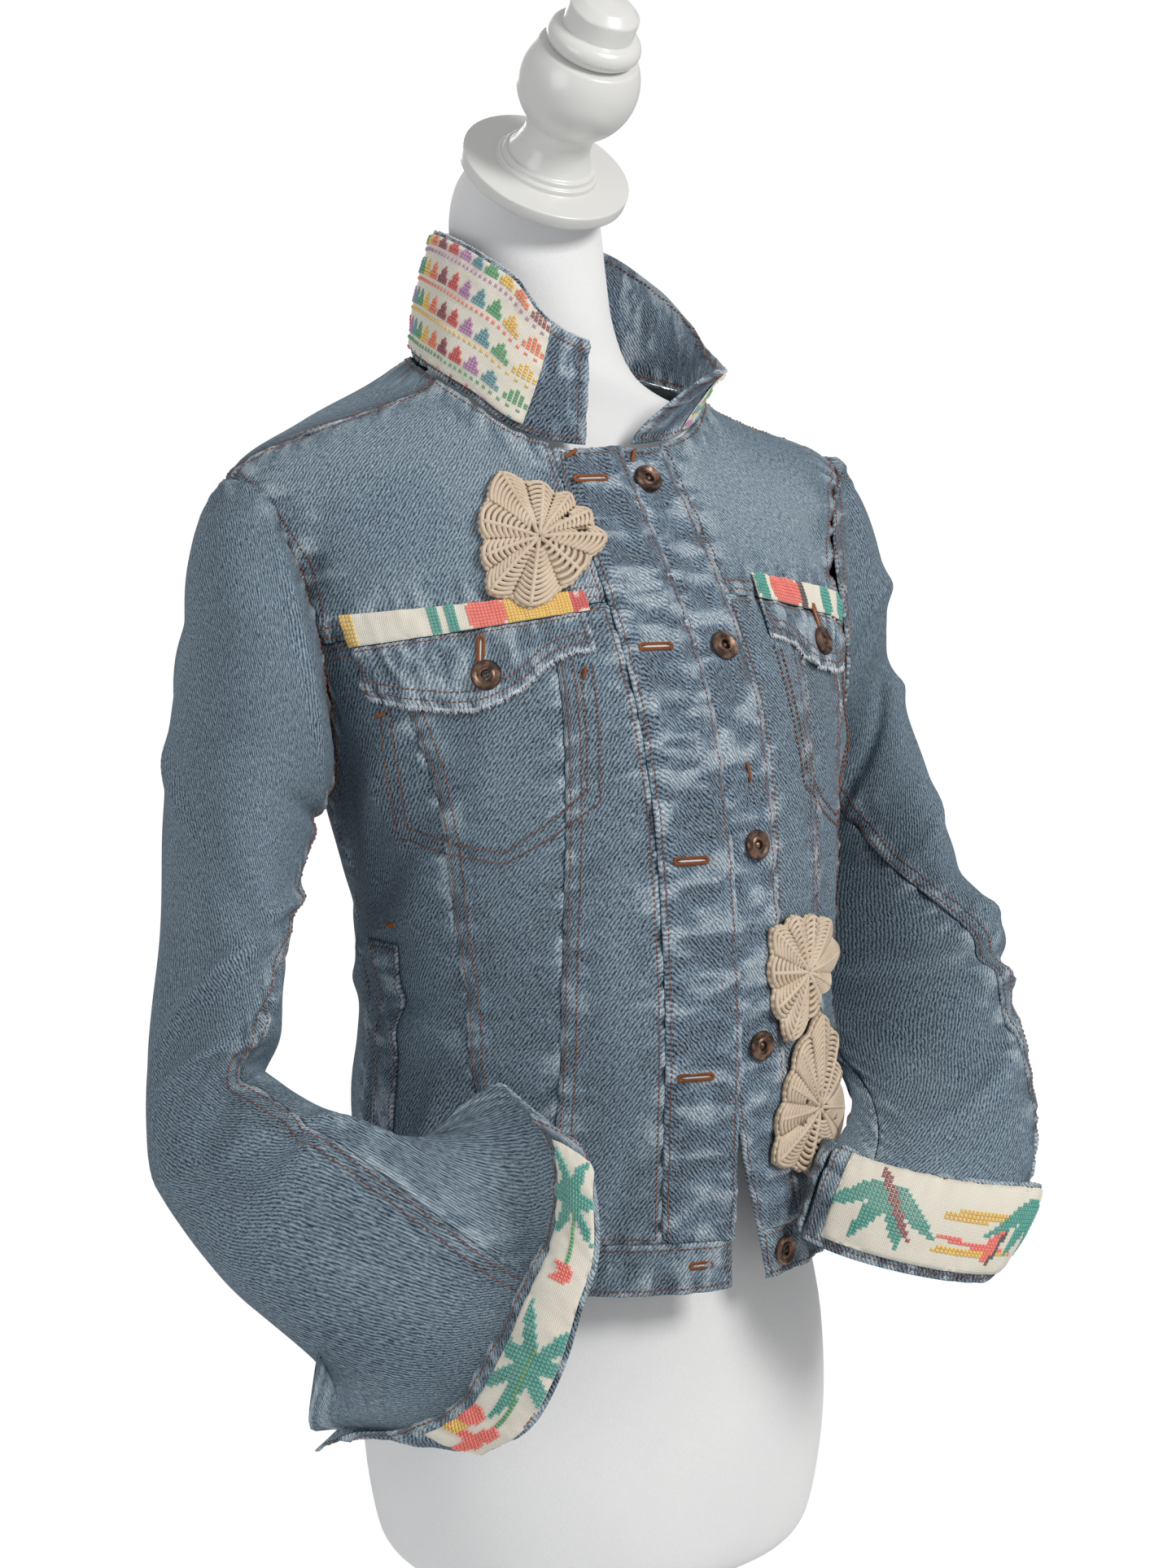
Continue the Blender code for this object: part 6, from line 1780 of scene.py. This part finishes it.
def make_sleeve(side):
    share = even(SLEEVE_ROWS)
    front_seam_at = spline(SLEEVE_SEAMS[:, 0], SLEEVE_SEAMS[:, 3], share)[None, :]
    under = even(UNDER_COLUMNS)[:, None] * front_seam_at
    top = front_seam_at + even(TOP_COLUMNS)[:, None] * (1 - front_seam_at)
    for stem, around in (("sleeve_under", under), ("sleeve_top", top)):
        rows = np.broadcast_to(share, around.shape)
        inner = sleeve_point(side, around, rows)
        outward = sleeve_normal(side, around, rows)
        turn = spline(SLEEVE_SEAMS[:, 0], SLEEVE_SEAMS[:, seam_column(side)], rows) + 360.0 * around
        extra = SLEEVE_RIPPLE * rough(turn / 34.0, rows / 0.07, 31 + side)
        for fold_side, at_share, at_turn, along, round_it, slant, height in SLEEVE_CREASES:
            if fold_side == side:
                away = (turn - at_turn + 180.0) % 360.0 - 180.0
                line = rows - (at_share + slant * away)
                extra = extra + SLEEVE_DEPTH * height * np.exp(-((line / along) ** 2) - (away / round_it) ** 2)
        extra = extra * smooth(rows / 0.05) * smooth((0.90 - rows) / 0.07)
        wall(side_name(stem, side), inner, inner + outward * DENIM, DENIM_FINISH, "denim", gap=SEAM_GAP,
             sides=(True, True, False, True), extra=extra, tuck=TUCK, held="hung",
             rests_on=(side_name("front_yoke", side) + "_cloth",))


def make_cuff(side):
    columns = even(CUFF_STEPS)
    rows = finer(CUFF_ROWS_RIGHT if side < 0 else CUFF_ROWS_LEFT)
    first, last = STRIP_RIGHT if side < 0 else STRIP_LEFT
    base = CUFF_THICK + LAID_GAP + SEAM_GAP
    sleeve = side_name("sleeve_top", side) + "_cloth"
    jobs = (("cuff", columns, rows, DENIM_FINISH, "denim", 0.0, CUFF_THICK, sleeve),
            ("cuff_strip", columns[first * FINE:last * FINE + 1], rows[FINE:-FINE], CREAM_FINISH, "cream_cotton",
             base, base + STRIP, side_name("cuff", side) + "_cloth"))
    for stem, at, across, finish, slot, low, high, under in jobs:
        along, over = np.meshgrid(at, across, indexing="ij")
        inner, outward = cuff_grid(side, along, over)
        extra = CUFF_RIPPLE * rough(along * 9.0, over * 2.0, 51 + side)
        wall(side_name(stem, side), inner + outward * low, inner + outward * high, finish, slot, extra=extra,
             closed=True, rests_on=(under,))


# Crochet
YARN_RADIUS = 0.00130
YARN_SINK = 0.0010
YARN_PITCH = 0.0027
# The chain round a leaf's edge: its radius, how much that swells and the length of one link
CHAIN_RADIUS = 0.00135
CHAIN_SWELL = 0.26
CHAIN_LINK = 0.0040


def leaf_cells(lobes, slits):
    """Points and triangles of a leaf's flat shape."""
    outline = leaf_outline(lobes)
    loops = [outline] + [slit_loop(*slit) for slit in slits]
    points = [tuple(point) for loop in loops for point in loop]
    edges = []
    start = 0
    for loop in loops:
        edges += [(start + k, start + (k + 1) % len(loop)) for k in range(len(loop))]
        start += len(loop)
    for share in (0.90, 0.80, 0.70, 0.60, 0.50, 0.40, 0.30, 0.20, 0.10):
        step = 1 if share > 0.55 else 2 if share > 0.25 else 5
        for point in outline[::step] * share:
            near = [np.linalg.norm(slit_loop(*slit) - point, axis=1).min() for slit in slits]
            covered = any(inside_loop(point, slit_loop(*slit)) for slit in slits)
            if not covered and (not near or min(near) > 0.0012):
                points.append(tuple(point))
    found = delaunay_2d_cdt([Vector(point) for point in points], edges, [], 0, 1e-7)
    flat = np.array([tuple(point) for point in found[0]])
    cells = []
    for cell in found[2]:
        middle = flat[list(cell)].mean(axis=0)
        if inside_loop(middle, outline) and not any(inside_loop(middle, slit_loop(*slit)) for slit in slits):
            cells.append(tuple(cell))
    return flat, np.array(cells)


def leaf_surface(leaf, flat, lift):
    girth, level = leaf["centre"]
    centre, _, across, up = body_frame(np.array(girth), np.array(level))
    places = nearest_places(centre + flat[:, :1] * across + flat[:, 1:] * up, girth + flat[:, 0], level + flat[:, 1])
    lift = LEAF_LOW + 0.0006 + lift + body_creases(places)
    return on_body(places, lift), body_normal(places[:, 0], places[:, 1])


def leaf_yarns(lobes, slits):
    """Flat lines of the leaf's yarns: fans of crosswise rows in each lobe, and a spine down it."""
    directions = np.radians([direction for direction, _ in lobes])
    count = len(lobes)
    lines = []
    for k in range(count):
        before = directions[k - 1] - (2 * math.pi if k == 0 else 0)
        after = directions[(k + 1) % count] + (2 * math.pi if k == count - 1 else 0)
        start, end = (before + directions[k]) / 2, (after + directions[k]) / 2
        reach = lobes[k][1]
        rows = max(4, int(reach * 0.72 / YARN_PITCH))
        for row in range(rows):
            share = 0.20 + 0.70 * row / (rows - 1)
            turn = np.linspace(start + 0.02, end - 0.02, 13)
            over = np.linspace(-1, 1, 13)
            radius = leaf_reach(lobes, turn)[0] * share * (1 + 0.05 * np.cos(over * math.pi / 2))
            fan = np.stack([radius * np.cos(turn), radius * np.sin(turn)], -1)
            lines.append((fan, YARN_RADIUS, 0.0004 + 0.0009 * (1 - over**2)))
    for direction, reach in zip(directions, [reach for _, reach in lobes]):
        far = np.linspace(0.02, 0.93, 14)[:, None] * reach
        spine = far * np.array([[math.cos(direction), math.sin(direction)]])
        lines.append((spine, YARN_RADIUS, 0.0015 + 0 * far[:, 0]))
    kept = []
    for line, radius, lift in lines:
        clear = np.array([not any(inside_loop(point, slit_loop(*slit)) for slit in slits) for point in line])
        run = []
        for k, good in enumerate([*clear, False]):
            if good:
                run.append(k)
                continue
            if len(run) > 2:
                kept.append((line[run], radius, lift[run]))
            run = []
    return kept


def make_leaf(name, leaf):
    lobes, slits = leaf["lobes"], leaf["slits"]
    flat, cells = leaf_cells(lobes, slits)
    body = leaf_height(lobes, flat) - YARN_SINK
    high, _ = leaf_surface(leaf, flat, body)
    low, _ = leaf_surface(leaf, flat, 0 * body)
    count = len(flat)
    ends = [edge for a, b, c in cells for edge in ((a, b), (b, c), (c, a))]
    known = set(ends)
    rim = [(a, b) for a, b in ends if (b, a) not in known]
    faces = np.concatenate([cells, cells[:, ::-1] + count, [(a, a + count, b + count) for a, b in rim],
                            [(a, b + count, b) for a, b in rim]])
    # The ground sheet lies under the yarns and carries painted shade: its dark colour stands for the shade between
    # them.
    ground = make_mesh(name + "_ground", np.concatenate([high, low]), faces)
    dress(ground, YARN_SHADE, name)
    parts = []
    for line, radius, lift in leaf_yarns(lobes, slits):
        points, up = leaf_surface(leaf, line, leaf_height(lobes, line) - YARN_SINK + lift)
        parts.append(tube(points, up, radius))
    outline = leaf_outline(lobes) * 0.965
    outline = np.concatenate([outline, outline[:1]])
    length = length_along(outline)
    at = np.arange(0, length[-1], 0.0007)
    line = read_along(at, length, outline)
    points, up = leaf_surface(leaf, line, 0.0012 + 0 * at)
    beads = CHAIN_RADIUS * (1 + CHAIN_SWELL * np.cos(2 * math.pi * at / CHAIN_LINK))
    parts.append(tube(points, up, beads))
    points, faces = joined_parts(parts)
    yarn = dress(make_mesh(name + "_yarn", points, faces), YARN_FINISH, None)
    x, y = flat[:, 0], flat[:, 1]
    sides = (round(float(x.max() - x.min()), 3) + 0.002, round(float(y.max() - y.min()), 3) + 0.002)
    a, b, c = (flat[cells[:, k]] for k in range(3))
    area = abs(((b - a)[:, 0] * (c - a)[:, 1] - (b - a)[:, 1] * (c - a)[:, 0]).sum() / 2)
    under = "front_center_R_cloth" if "shoulder" in name else "front_center_L_cloth"
    SHEETS[name] = (ground, sides, "laid", (under,), area, [yarn])


# Sewing


def sew(node, parts, finish, suffix="stitches"):
    parts = [part for part in parts if part is not None]
    if not parts:
        return
    points, faces = joined_parts(parts)
    made = dress(make_mesh(f"{node}_{suffix}", points, faces), finish, None)
    SHEETS[node][5].append(made)


def make_seam_stitches():
    for name in list(GRIDS):
        parts = []
        for side, rows in enumerate(STITCHING[stem_of(name)]):
            for away in rows:
                parts.append(seam_stitches(*parallel_line(name, side, away), 0.004))
        sew(name, parts, RUST_FINISH)


def make_collar_stitches():
    """The collar's inner face shows the same lines of stitches as its outer face."""
    parts = []
    for side, rows in enumerate(STITCHING["collar"]):
        for away in rows:
            line, up = parallel_line("collar", side, away)
            parts.append(seam_stitches(line - up * (DOUBLE + 0.0004), -up, 0.004))
    sew("collar", parts, RUST_FINISH, "inner_stitches")


def chart_line(places, lift, count=60):
    """Points and normals along a line given by girths and levels on the front."""
    places = np.array(places, float)
    length = length_along(places)
    at = np.linspace(0, length[-1], count)
    girth, level = (np.interp(at, length, places[:, k]) for k in range(2))
    rows = chart_places(girth, level)
    return on_body(rows, lift + body_creases(rows)), body_normal(rows[:, 0], rows[:, 1])


# Outlines of the chest pockets, as girths and levels in metres
POCKETS = {
    -1: ((-0.182, 1.234), (-0.1845, 1.205), (-0.189, 1.161), (-0.155, 1.156), (-0.122, 1.1525), (-0.095, 1.168),
         (-0.068, 1.186), (-0.063, 1.222), (-0.059, 1.258)),
    1: ((0.170, 1.238), (0.170, 1.200), (0.170, 1.168), (0.145, 1.160), (0.118, 1.156), (0.094, 1.170),
        (0.070, 1.186), (0.067, 1.222), (0.064, 1.262)),
}
# Far end, near end and level of each front buttonhole
BUTTONHOLES = ((-0.0405, -0.0069, 1.376), (-0.0375, -0.0060, 1.266), (-0.0380, -0.0060, 1.154),
               (-0.0400, -0.0070, 1.037), (-0.0290, -0.0070, 0.930))


def make_pocket_stitches():
    for side, outline in POCKETS.items():
        parts = []
        middle = np.mean(np.array(outline), axis=0)
        for inward in (0.0, 0.006):
            places = np.array(outline) - np.array([0.0, middle[1]])
            shrink = 1 - inward / 0.055
            moved = np.stack([middle[0] + (places[:, 0] - middle[0]) * shrink, places[:, 1] + middle[1]], -1)
            moved[2:7, 1] += inward
            parts.append(seam_stitches(*chart_line(moved, DENIM + 0.0009, 120), 0.001))
        sew(side_name("front_middle", side), parts, RUST_FINISH, "pocket_stitches")


def oval_stitches(centre, ahead, up, length, width, step=0.0007, thick=0.0011):
    """Close stitches across the edge of a buttonhole's oval."""
    beside = np.cross(up, ahead)
    straight_part = (length - width) / 2
    total = 4 * straight_part + math.pi * width
    parts = []
    for at in np.arange(0, total, step):
        if at < 2 * straight_part:
            x, y, turn = at - straight_part, -width / 2, -math.pi / 2
        elif at < 2 * straight_part + math.pi * width / 2:
            turn = (at - 2 * straight_part) / (width / 2) - math.pi / 2
            x, y = straight_part + width / 2 * math.cos(turn), width / 2 * math.sin(turn)
        elif at < 4 * straight_part + math.pi * width / 2:
            x, y, turn = straight_part - (at - 2 * straight_part - math.pi * width / 2), width / 2, math.pi / 2
        else:
            turn = (at - 4 * straight_part - math.pi * width / 2) / (width / 2) + math.pi / 2
            x, y = -straight_part + width / 2 * math.cos(turn), width / 2 * math.sin(turn)
        parts.append((centre + ahead * x + beside * y, ahead * math.cos(turn) + beside * math.sin(turn)))
    points = np.array([point for point, _ in parts])
    across = np.array([turn for _, turn in parts])
    return stitches(points, across, np.broadcast_to(up, points.shape), length=0.0021, width=0.0009, height=thick)


def make_buttonholes():
    jobs = {"placket_R": [], "waistband_R": [], "pocket_flap_R": [], "pocket_flap_L": []}
    slits = {name: [] for name in jobs}
    for far, near, level in BUTTONHOLES:
        name = "waistband_R" if level < WAIST_SEAM else "placket_R"
        jobs[name].append(((far + near) / 2, level, abs(far - near) * 0.60, 0.0, DOUBLE))
    for (girth, level), name in zip(FLAP_BUTTONS, ("pocket_flap_R", "pocket_flap_L")):
        jobs[name].append((girth, level + 0.013, 0.016, 90.0, DENIM + LAID_GAP + DOUBLE))
    for name, holes in jobs.items():
        parts = []
        for girth, level, length, slant, face in holes:
            point, up, across, along = body_frame(np.array(girth), np.array(level))
            lift = face + 0.0009 + float(body_creases(chart_places(girth, level)))
            turn = math.radians(slant)
            ahead = across * math.cos(turn) + along * math.sin(turn)
            rise = 0.0006 if name == "placket_R" else 0.0
            parts.append(oval_stitches(point + up * (lift + rise), ahead, up, length, 0.0030))
            middle = point + up * (lift + rise - 0.0002)
            slit = stitches(middle[None], ahead[None], up[None], length=length, width=0.0018, height=0.0006)
            slits[name].append(slit)
        sew(name, parts, ORANGE_FINISH, "buttonholes")
        sew(name, slits[name], PALE_FINISH, "slit_threads")


# Bartacks: the piece, girth, level, slant in degrees, length and the face that they lie on
BARTACKS = (
    ("placket_R", -0.0300, 1.3985, 35.0, 0.0085, DOUBLE), ("placket_L", 0.0085, 1.3950, 60.0, 0.0085, DOUBLE),
    ("placket_L", 0.0200, 1.1980, 92.0, 0.0105, DOUBLE),
    ("front_side_R", -0.2010, 0.9700, 30.0, 0.0080, DENIM), ("front_side_R", -0.1990, 1.1120, 10.0, 0.0080, DENIM),
    ("front_middle_R", -0.1820, 1.2300, 20.0, 0.0070, DENIM),
    ("front_middle_R", -0.0640, 1.2540, 80.0, 0.0070, DENIM),
)


def make_bartacks():
    for k, (name, girth, level, slant, length, face) in enumerate(BARTACKS):
        point, up, across, along = body_frame(np.array(girth), np.array(level))
        turn = math.radians(slant)
        ahead = across * math.cos(turn) + along * math.sin(turn)
        beside = np.cross(up, ahead)
        lift = face + 0.0010 + float(body_creases(chart_places(girth, level)))
        steps = np.arange(-length / 2, length / 2, 0.0006)
        centre = point + up * lift + ahead * steps[:, None]
        lean, up = np.broadcast_to(beside, centre.shape), np.broadcast_to(up, centre.shape)
        bar = stitches(centre, lean, up, length=0.0024, width=0.0008, height=0.0008)
        sew(name, [bar], ORANGE_FINISH, f"bartack_{k + 1}")


# Embroidery
PALETTE = {
    "maroon": (0.28, 0.030, 0.050), "red": (0.62, 0.050, 0.050), "orange": (0.82, 0.200, 0.070),
    "lilac": (0.46, 0.200, 0.420), "teal": (0.010, 0.330, 0.270), "green": (0.060, 0.340, 0.130),
    "yellow": (0.82, 0.520, 0.070), "coral": (0.86, 0.150, 0.110), "blue": (0.090, 0.300, 0.370),
    "dark": (0.050, 0.030, 0.035),
}
ROW_COLOURS = ("maroon", "orange", "yellow", "green", "blue", "lilac", "red")
LINE_COLOURS = ("lilac", "coral", "yellow", "green", "coral")
BAND_CELLS = 9
PYRAMID_CELLS = 6
PYRAMID_STEPS = (2, 2, 1, 1, 0)
# Sizes of a square cell of each kind of cloth, and half the reach of its stitches as a share
COLLAR_CELL = 0.0019
STRIP_CELL = 0.0019
CUFF_CELL = 0.0021
HALF_CELL = 0.46


def embroider(name, cell, colour_of):
    """Crossed stitches on a grid of square cells over a piece, each the colour that the chart gives its cell."""
    grid, normals = GRIDS[name]
    across, _, along, _ = distances(grid)
    wide, long = float(across[-1].mean()), float(along[:, -1].mean())
    columns, rows = int(wide / cell), int(long / cell)
    centres, colours = [], []
    for i in range(columns):
        for j in range(rows):
            colour = colour_of(i, j, columns, rows)
            if colour:
                centres.append(((i + 0.5) / columns, (j + 0.5) / rows))
                colours.append(PALETTE[colour])
    centres = np.array(centres)
    colours = np.array(colours)

    def at(u, v):
        place = (u * (grid.shape[0] - 1), v * (grid.shape[1] - 1))
        return between_cells(grid, *place), unit(between_cells(normals, *place))

    parts, tints = [], []
    for sign, lift in ((1, 0.0001), (-1, 0.0003)):
        start, up = at(centres[:, 0] - HALF_CELL / columns, centres[:, 1] - sign * HALF_CELL / rows)
        end, _ = at(centres[:, 0] + HALF_CELL / columns, centres[:, 1] + sign * HALF_CELL / rows)
        ahead = end - start
        size = float(np.linalg.norm(ahead, axis=1).mean())
        middle = (start + end) / 2 + up * lift
        parts.append(stitches(middle, unit(ahead), up, length=size * 1.15, width=cell * 0.52, height=0.0005))
        tints.append(np.repeat(colours, CORNERS, axis=0))
    points, faces = joined_parts(parts)
    tints = np.concatenate([np.concatenate(tints), np.ones((len(points), 1))], axis=1)
    made = dress(make_mesh(name + "_embroidery", points, faces, colours=tints), THREAD_FINISH, None)
    SHEETS[name][5].append(made)


def collar_chart(i, j, columns, rows):
    """Rows of stepped pyramids, each with a thin line and a row of short dashes under it."""
    band, step = divmod(rows - 1 - j + 4, BAND_CELLS)
    step = BAND_CELLS - 1 - step
    if step == 0:
        return LINE_COLOURS[band % len(LINE_COLOURS)] if i % 2 else None
    centre = i % PYRAMID_CELLS - 2
    if 2 <= step <= 6 and abs(centre) <= PYRAMID_STEPS[step - 2]:
        return ROW_COLOURS[(i // PYRAMID_CELLS + band) % len(ROW_COLOURS)]
    return None


# Cuff motifs, each of blades that spread from one place: its place along and across the strip as shares, the blades'
# slants in degrees, their length and half width in metres, and their colour
CUFF_FANS = {
    -1: ((0.13, 0.50, (35, 88, 145, 205, 262, 320), 0.022, 0.0034, "teal"),
         (0.62, 0.46, (8, 48, 112, 160, 215, 262, 318), 0.034, 0.0040, "teal"),
         (0.54, 0.50, (-4,), 0.052, 0.0008, "green"), (0.16, 0.46, (0,), 0.026, 0.0010, "green"),
         (0.34, 0.30, (70, 110), 0.012, 0.0036, "coral"), (0.80, 0.72, (20, 70), 0.020, 0.0048, "coral"),
         (0.92, 0.30, (20, 100, 170), 0.016, 0.0044, "coral"), (0.90, 0.70, (60, 120), 0.011, 0.0032, "yellow")),
    1: ((0.17, 0.80, (212, 250, 290, 318), 0.036, 0.0046, "teal"), (0.13, 0.95, (-58,), 0.042, 0.0022, "maroon"),
        (0.33, 0.62, (5,), 0.050, 0.0030, "yellow"), (0.34, 0.40, (-8,), 0.048, 0.0014, "coral"),
        (0.34, 0.24, (2,), 0.046, 0.0026, "yellow"),
        (0.52, 0.15, (80,), 0.026, 0.0044, "coral"), (0.54, 0.12, (80,), 0.028, 0.0012, "dark"),
        (0.66, 0.85, (214, 252, 288, 320), 0.034, 0.0044, "teal"), (0.76, 0.90, (-62,), 0.040, 0.0018, "maroon"),
        (0.84, 0.55, (8,), 0.036, 0.0028, "yellow"), (0.84, 0.35, (-6,), 0.034, 0.0016, "coral")),
}


def cuff_chart(side):
    def colour_of(i, j, columns, rows):
        found = None
        for along, across, slants, length, width, colour in CUFF_FANS[side]:
            x = (i + 0.5 - along * columns) * CUFF_CELL
            y = (j + 0.5 - across * rows) * CUFF_CELL
            for slant in slants:
                turn = math.radians(slant)
                share = (x * math.cos(turn) + y * math.sin(turn)) / length
                beside = abs(y * math.cos(turn) - x * math.sin(turn))
                if 0 < share < 1 and beside < width * 2.6 * share**0.6 * (1 - share) + 0.0004:
                    found = colour
        return found

    return colour_of


# Blocks of colour along each flap strip: where they start and end, as shares of its length
STRIP_BLOCKS = {
    -1: ((0.0, 0.06, "yellow"), (0.36, 0.40, "teal"), (0.43, 0.47, "teal"), (0.52, 0.66, "coral"),
         (0.66, 0.93, "yellow"), (0.93, 1.0, "red")),
    1: ((0.00, 0.10, "teal"), (0.12, 0.38, "coral"), (0.38, 0.44, "dark"), (0.62, 0.74, "teal"), (0.86, 1.0, "teal")),
}


def strip_chart(side):
    def colour_of(i, j, columns, rows):
        share = 1 - (i + 0.5) / columns if side < 0 else (i + 0.5) / columns
        for low, high, colour in STRIP_BLOCKS[side]:
            if low <= share < high:
                rounded_end = colour in ("teal", "coral") and abs((share - low) / (high - low) - 0.5) > 0.40
                return None if rounded_end and j in (0, rows - 1) else colour
        return None

    return colour_of


def make_embroidery():
    for side in (-1, 1):
        embroider(side_name("collar_patch", side), COLLAR_CELL, collar_chart)
        embroider(side_name("cuff_strip", side), CUFF_CELL, cuff_chart(side))
        embroider(side_name("flap_strip", side), STRIP_CELL, strip_chart(side))


# Frayed edges


FRAY_PITCH = 0.0011
FRAY_LAYERS = 3
# Pieces with a frayed edge, which of their edges it is and how far its threads stand out
FRAYED = (("pocket_flap_R", 2, 0.0022), ("pocket_flap_L", 2, 0.0022), ("collar", 3, 0.0008))


def make_fraying():
    for name, side, deep in FRAYED:
        line, up = parallel_line(name, side, 0.0004)
        inner, _ = parallel_line(name, side, 0.0060)
        chance = np.random.default_rng(seed_of(name))
        length = length_along(line)
        parts = []
        for _ in range(FRAY_LAYERS):
            at = np.sort(chance.uniform(0, length[-1], int(length[-1] / FRAY_PITCH)))
            centre = read_along(at, length, line)
            rise = unit(read_along(at, length, up))
            out = unit(centre - read_along(at, length, inner))
            beside = np.cross(rise, out)
            shape = (len(at), 1)
            lean = unit(out + beside * chance.normal(0, 0.5, shape) + rise * chance.normal(0.1, 0.35, shape))
            reach = chance.uniform(0.5, 1.5, shape) * deep
            middle = centre + lean * reach * 0.3
            parts.append(stitches(middle, lean, rise, length=reach * 1.6, width=0.0005, height=0.0003))
        sew(name, parts, PALE_FINISH, "fraying")


# Stage, light and camera


def make_stage():
    floor, tree, shader = shader_tree("floor_finish")
    tint = mix_colour(tree, noise(tree, object_vector(tree), 3.0, 3.0), (0.88, 0.88, 0.88), (0.84, 0.84, 0.845))
    tree.links.new(tint, shader.inputs["Base Color"])
    shader.inputs["Roughness"].default_value = 0.9
    rings = [(radius, 0.0) for radius in (0.0, 0.4, 0.8, 1.15, 1.45)]
    points, faces = rings_mesh(lathe_points(rings, (0, 0, -0.0005), (0, 0, 1), 96))
    ground = make_mesh("floor", points, faces)
    ground.data.materials.append(floor)
    world = bpy.context.scene.world or bpy.data.worlds.new("World")
    bpy.context.scene.world = world
    world.use_nodes = True
    tree = world.node_tree
    background = tree.nodes["Background"]
    background.inputs[0].default_value = (1.0, 1.0, 1.0, 1)
    seen = add(tree, "ShaderNodeLightPath").outputs["Is Camera Ray"]
    tree.links.new(plus(tree, times(tree, seen, 0.56), 0.46), background.inputs[1])
    for name, place, size, power, colour in (
        ("key_light", (0.9, -2.4, 2.9), 0.9, 66, (1.0, 0.985, 0.96)),
        ("fill_light", (-2.8, -1.2, 1.5), 1.6, 20, (0.96, 0.98, 1.0)),
        ("back_light", (0.6, 2.8, 2.6), 1.8, 30, (1.0, 1.0, 1.0)),
    ):
        light = bpy.data.lights.new(name, "AREA")
        light.size = size
        light.energy = power
        light.color = colour
        lamp = bpy.data.objects.new(name, light)
        lamp.location = place
        lamp.rotation_euler = (Vector((0, 0, 1.15)) - Vector(place)).to_track_quat("-Z", "Y").to_euler()
        bpy.context.collection.objects.link(lamp)
    bpy.context.scene.view_settings.view_transform = "Standard"
    bpy.context.scene.view_settings.look = "None"


# The camera's sensor in millimetres, its focal length and its picture's height in pixels, the place that it looks at
# and how far it stands from there
SENSOR = 36.0
FOCAL_LENGTH = 3870
PICTURE_HEIGHT = 1927
LOOKED_AT = (-0.015, -0.01, 1.18)
CAMERA_DISTANCE = 1.8


def make_camera():
    azimuth, elevation = math.radians(-30.5), math.radians(8.5)
    level = math.cos(elevation)
    back = Vector((math.sin(azimuth) * level, -math.cos(azimuth) * level, math.sin(elevation)))
    camera = bpy.data.objects.new("camera", bpy.data.cameras.new("camera"))
    camera.data.sensor_width = SENSOR
    camera.data.lens = FOCAL_LENGTH / PICTURE_HEIGHT * SENSOR
    camera.location = Vector(LOOKED_AT) + back * CAMERA_DISTANCE
    camera.rotation_euler = back.to_track_quat("Z", "Y").to_euler()
    camera.data.clip_end = 50
    bpy.context.collection.objects.link(camera)
    bpy.context.scene.camera = camera


def main():
    make_form()
    for side in (-1, 1):
        make_front_panels(side)
        make_front_yoke(side)
        make_sleeve(side)
        make_cuff(side)
        make_flap(side)
        make_welt(side)
    make_back()
    make_back_yoke()
    make_plackets()
    make_waistbands()
    make_collar()
    make_buttons()
    for name, leaf in LEAVES.items():
        make_leaf(name, leaf)
    make_seam_stitches()
    make_pocket_stitches()
    make_buttonholes()
    make_collar_stitches()
    make_bartacks()
    make_embroidery()
    make_fraying()
    make_stage()
    make_camera()


main()
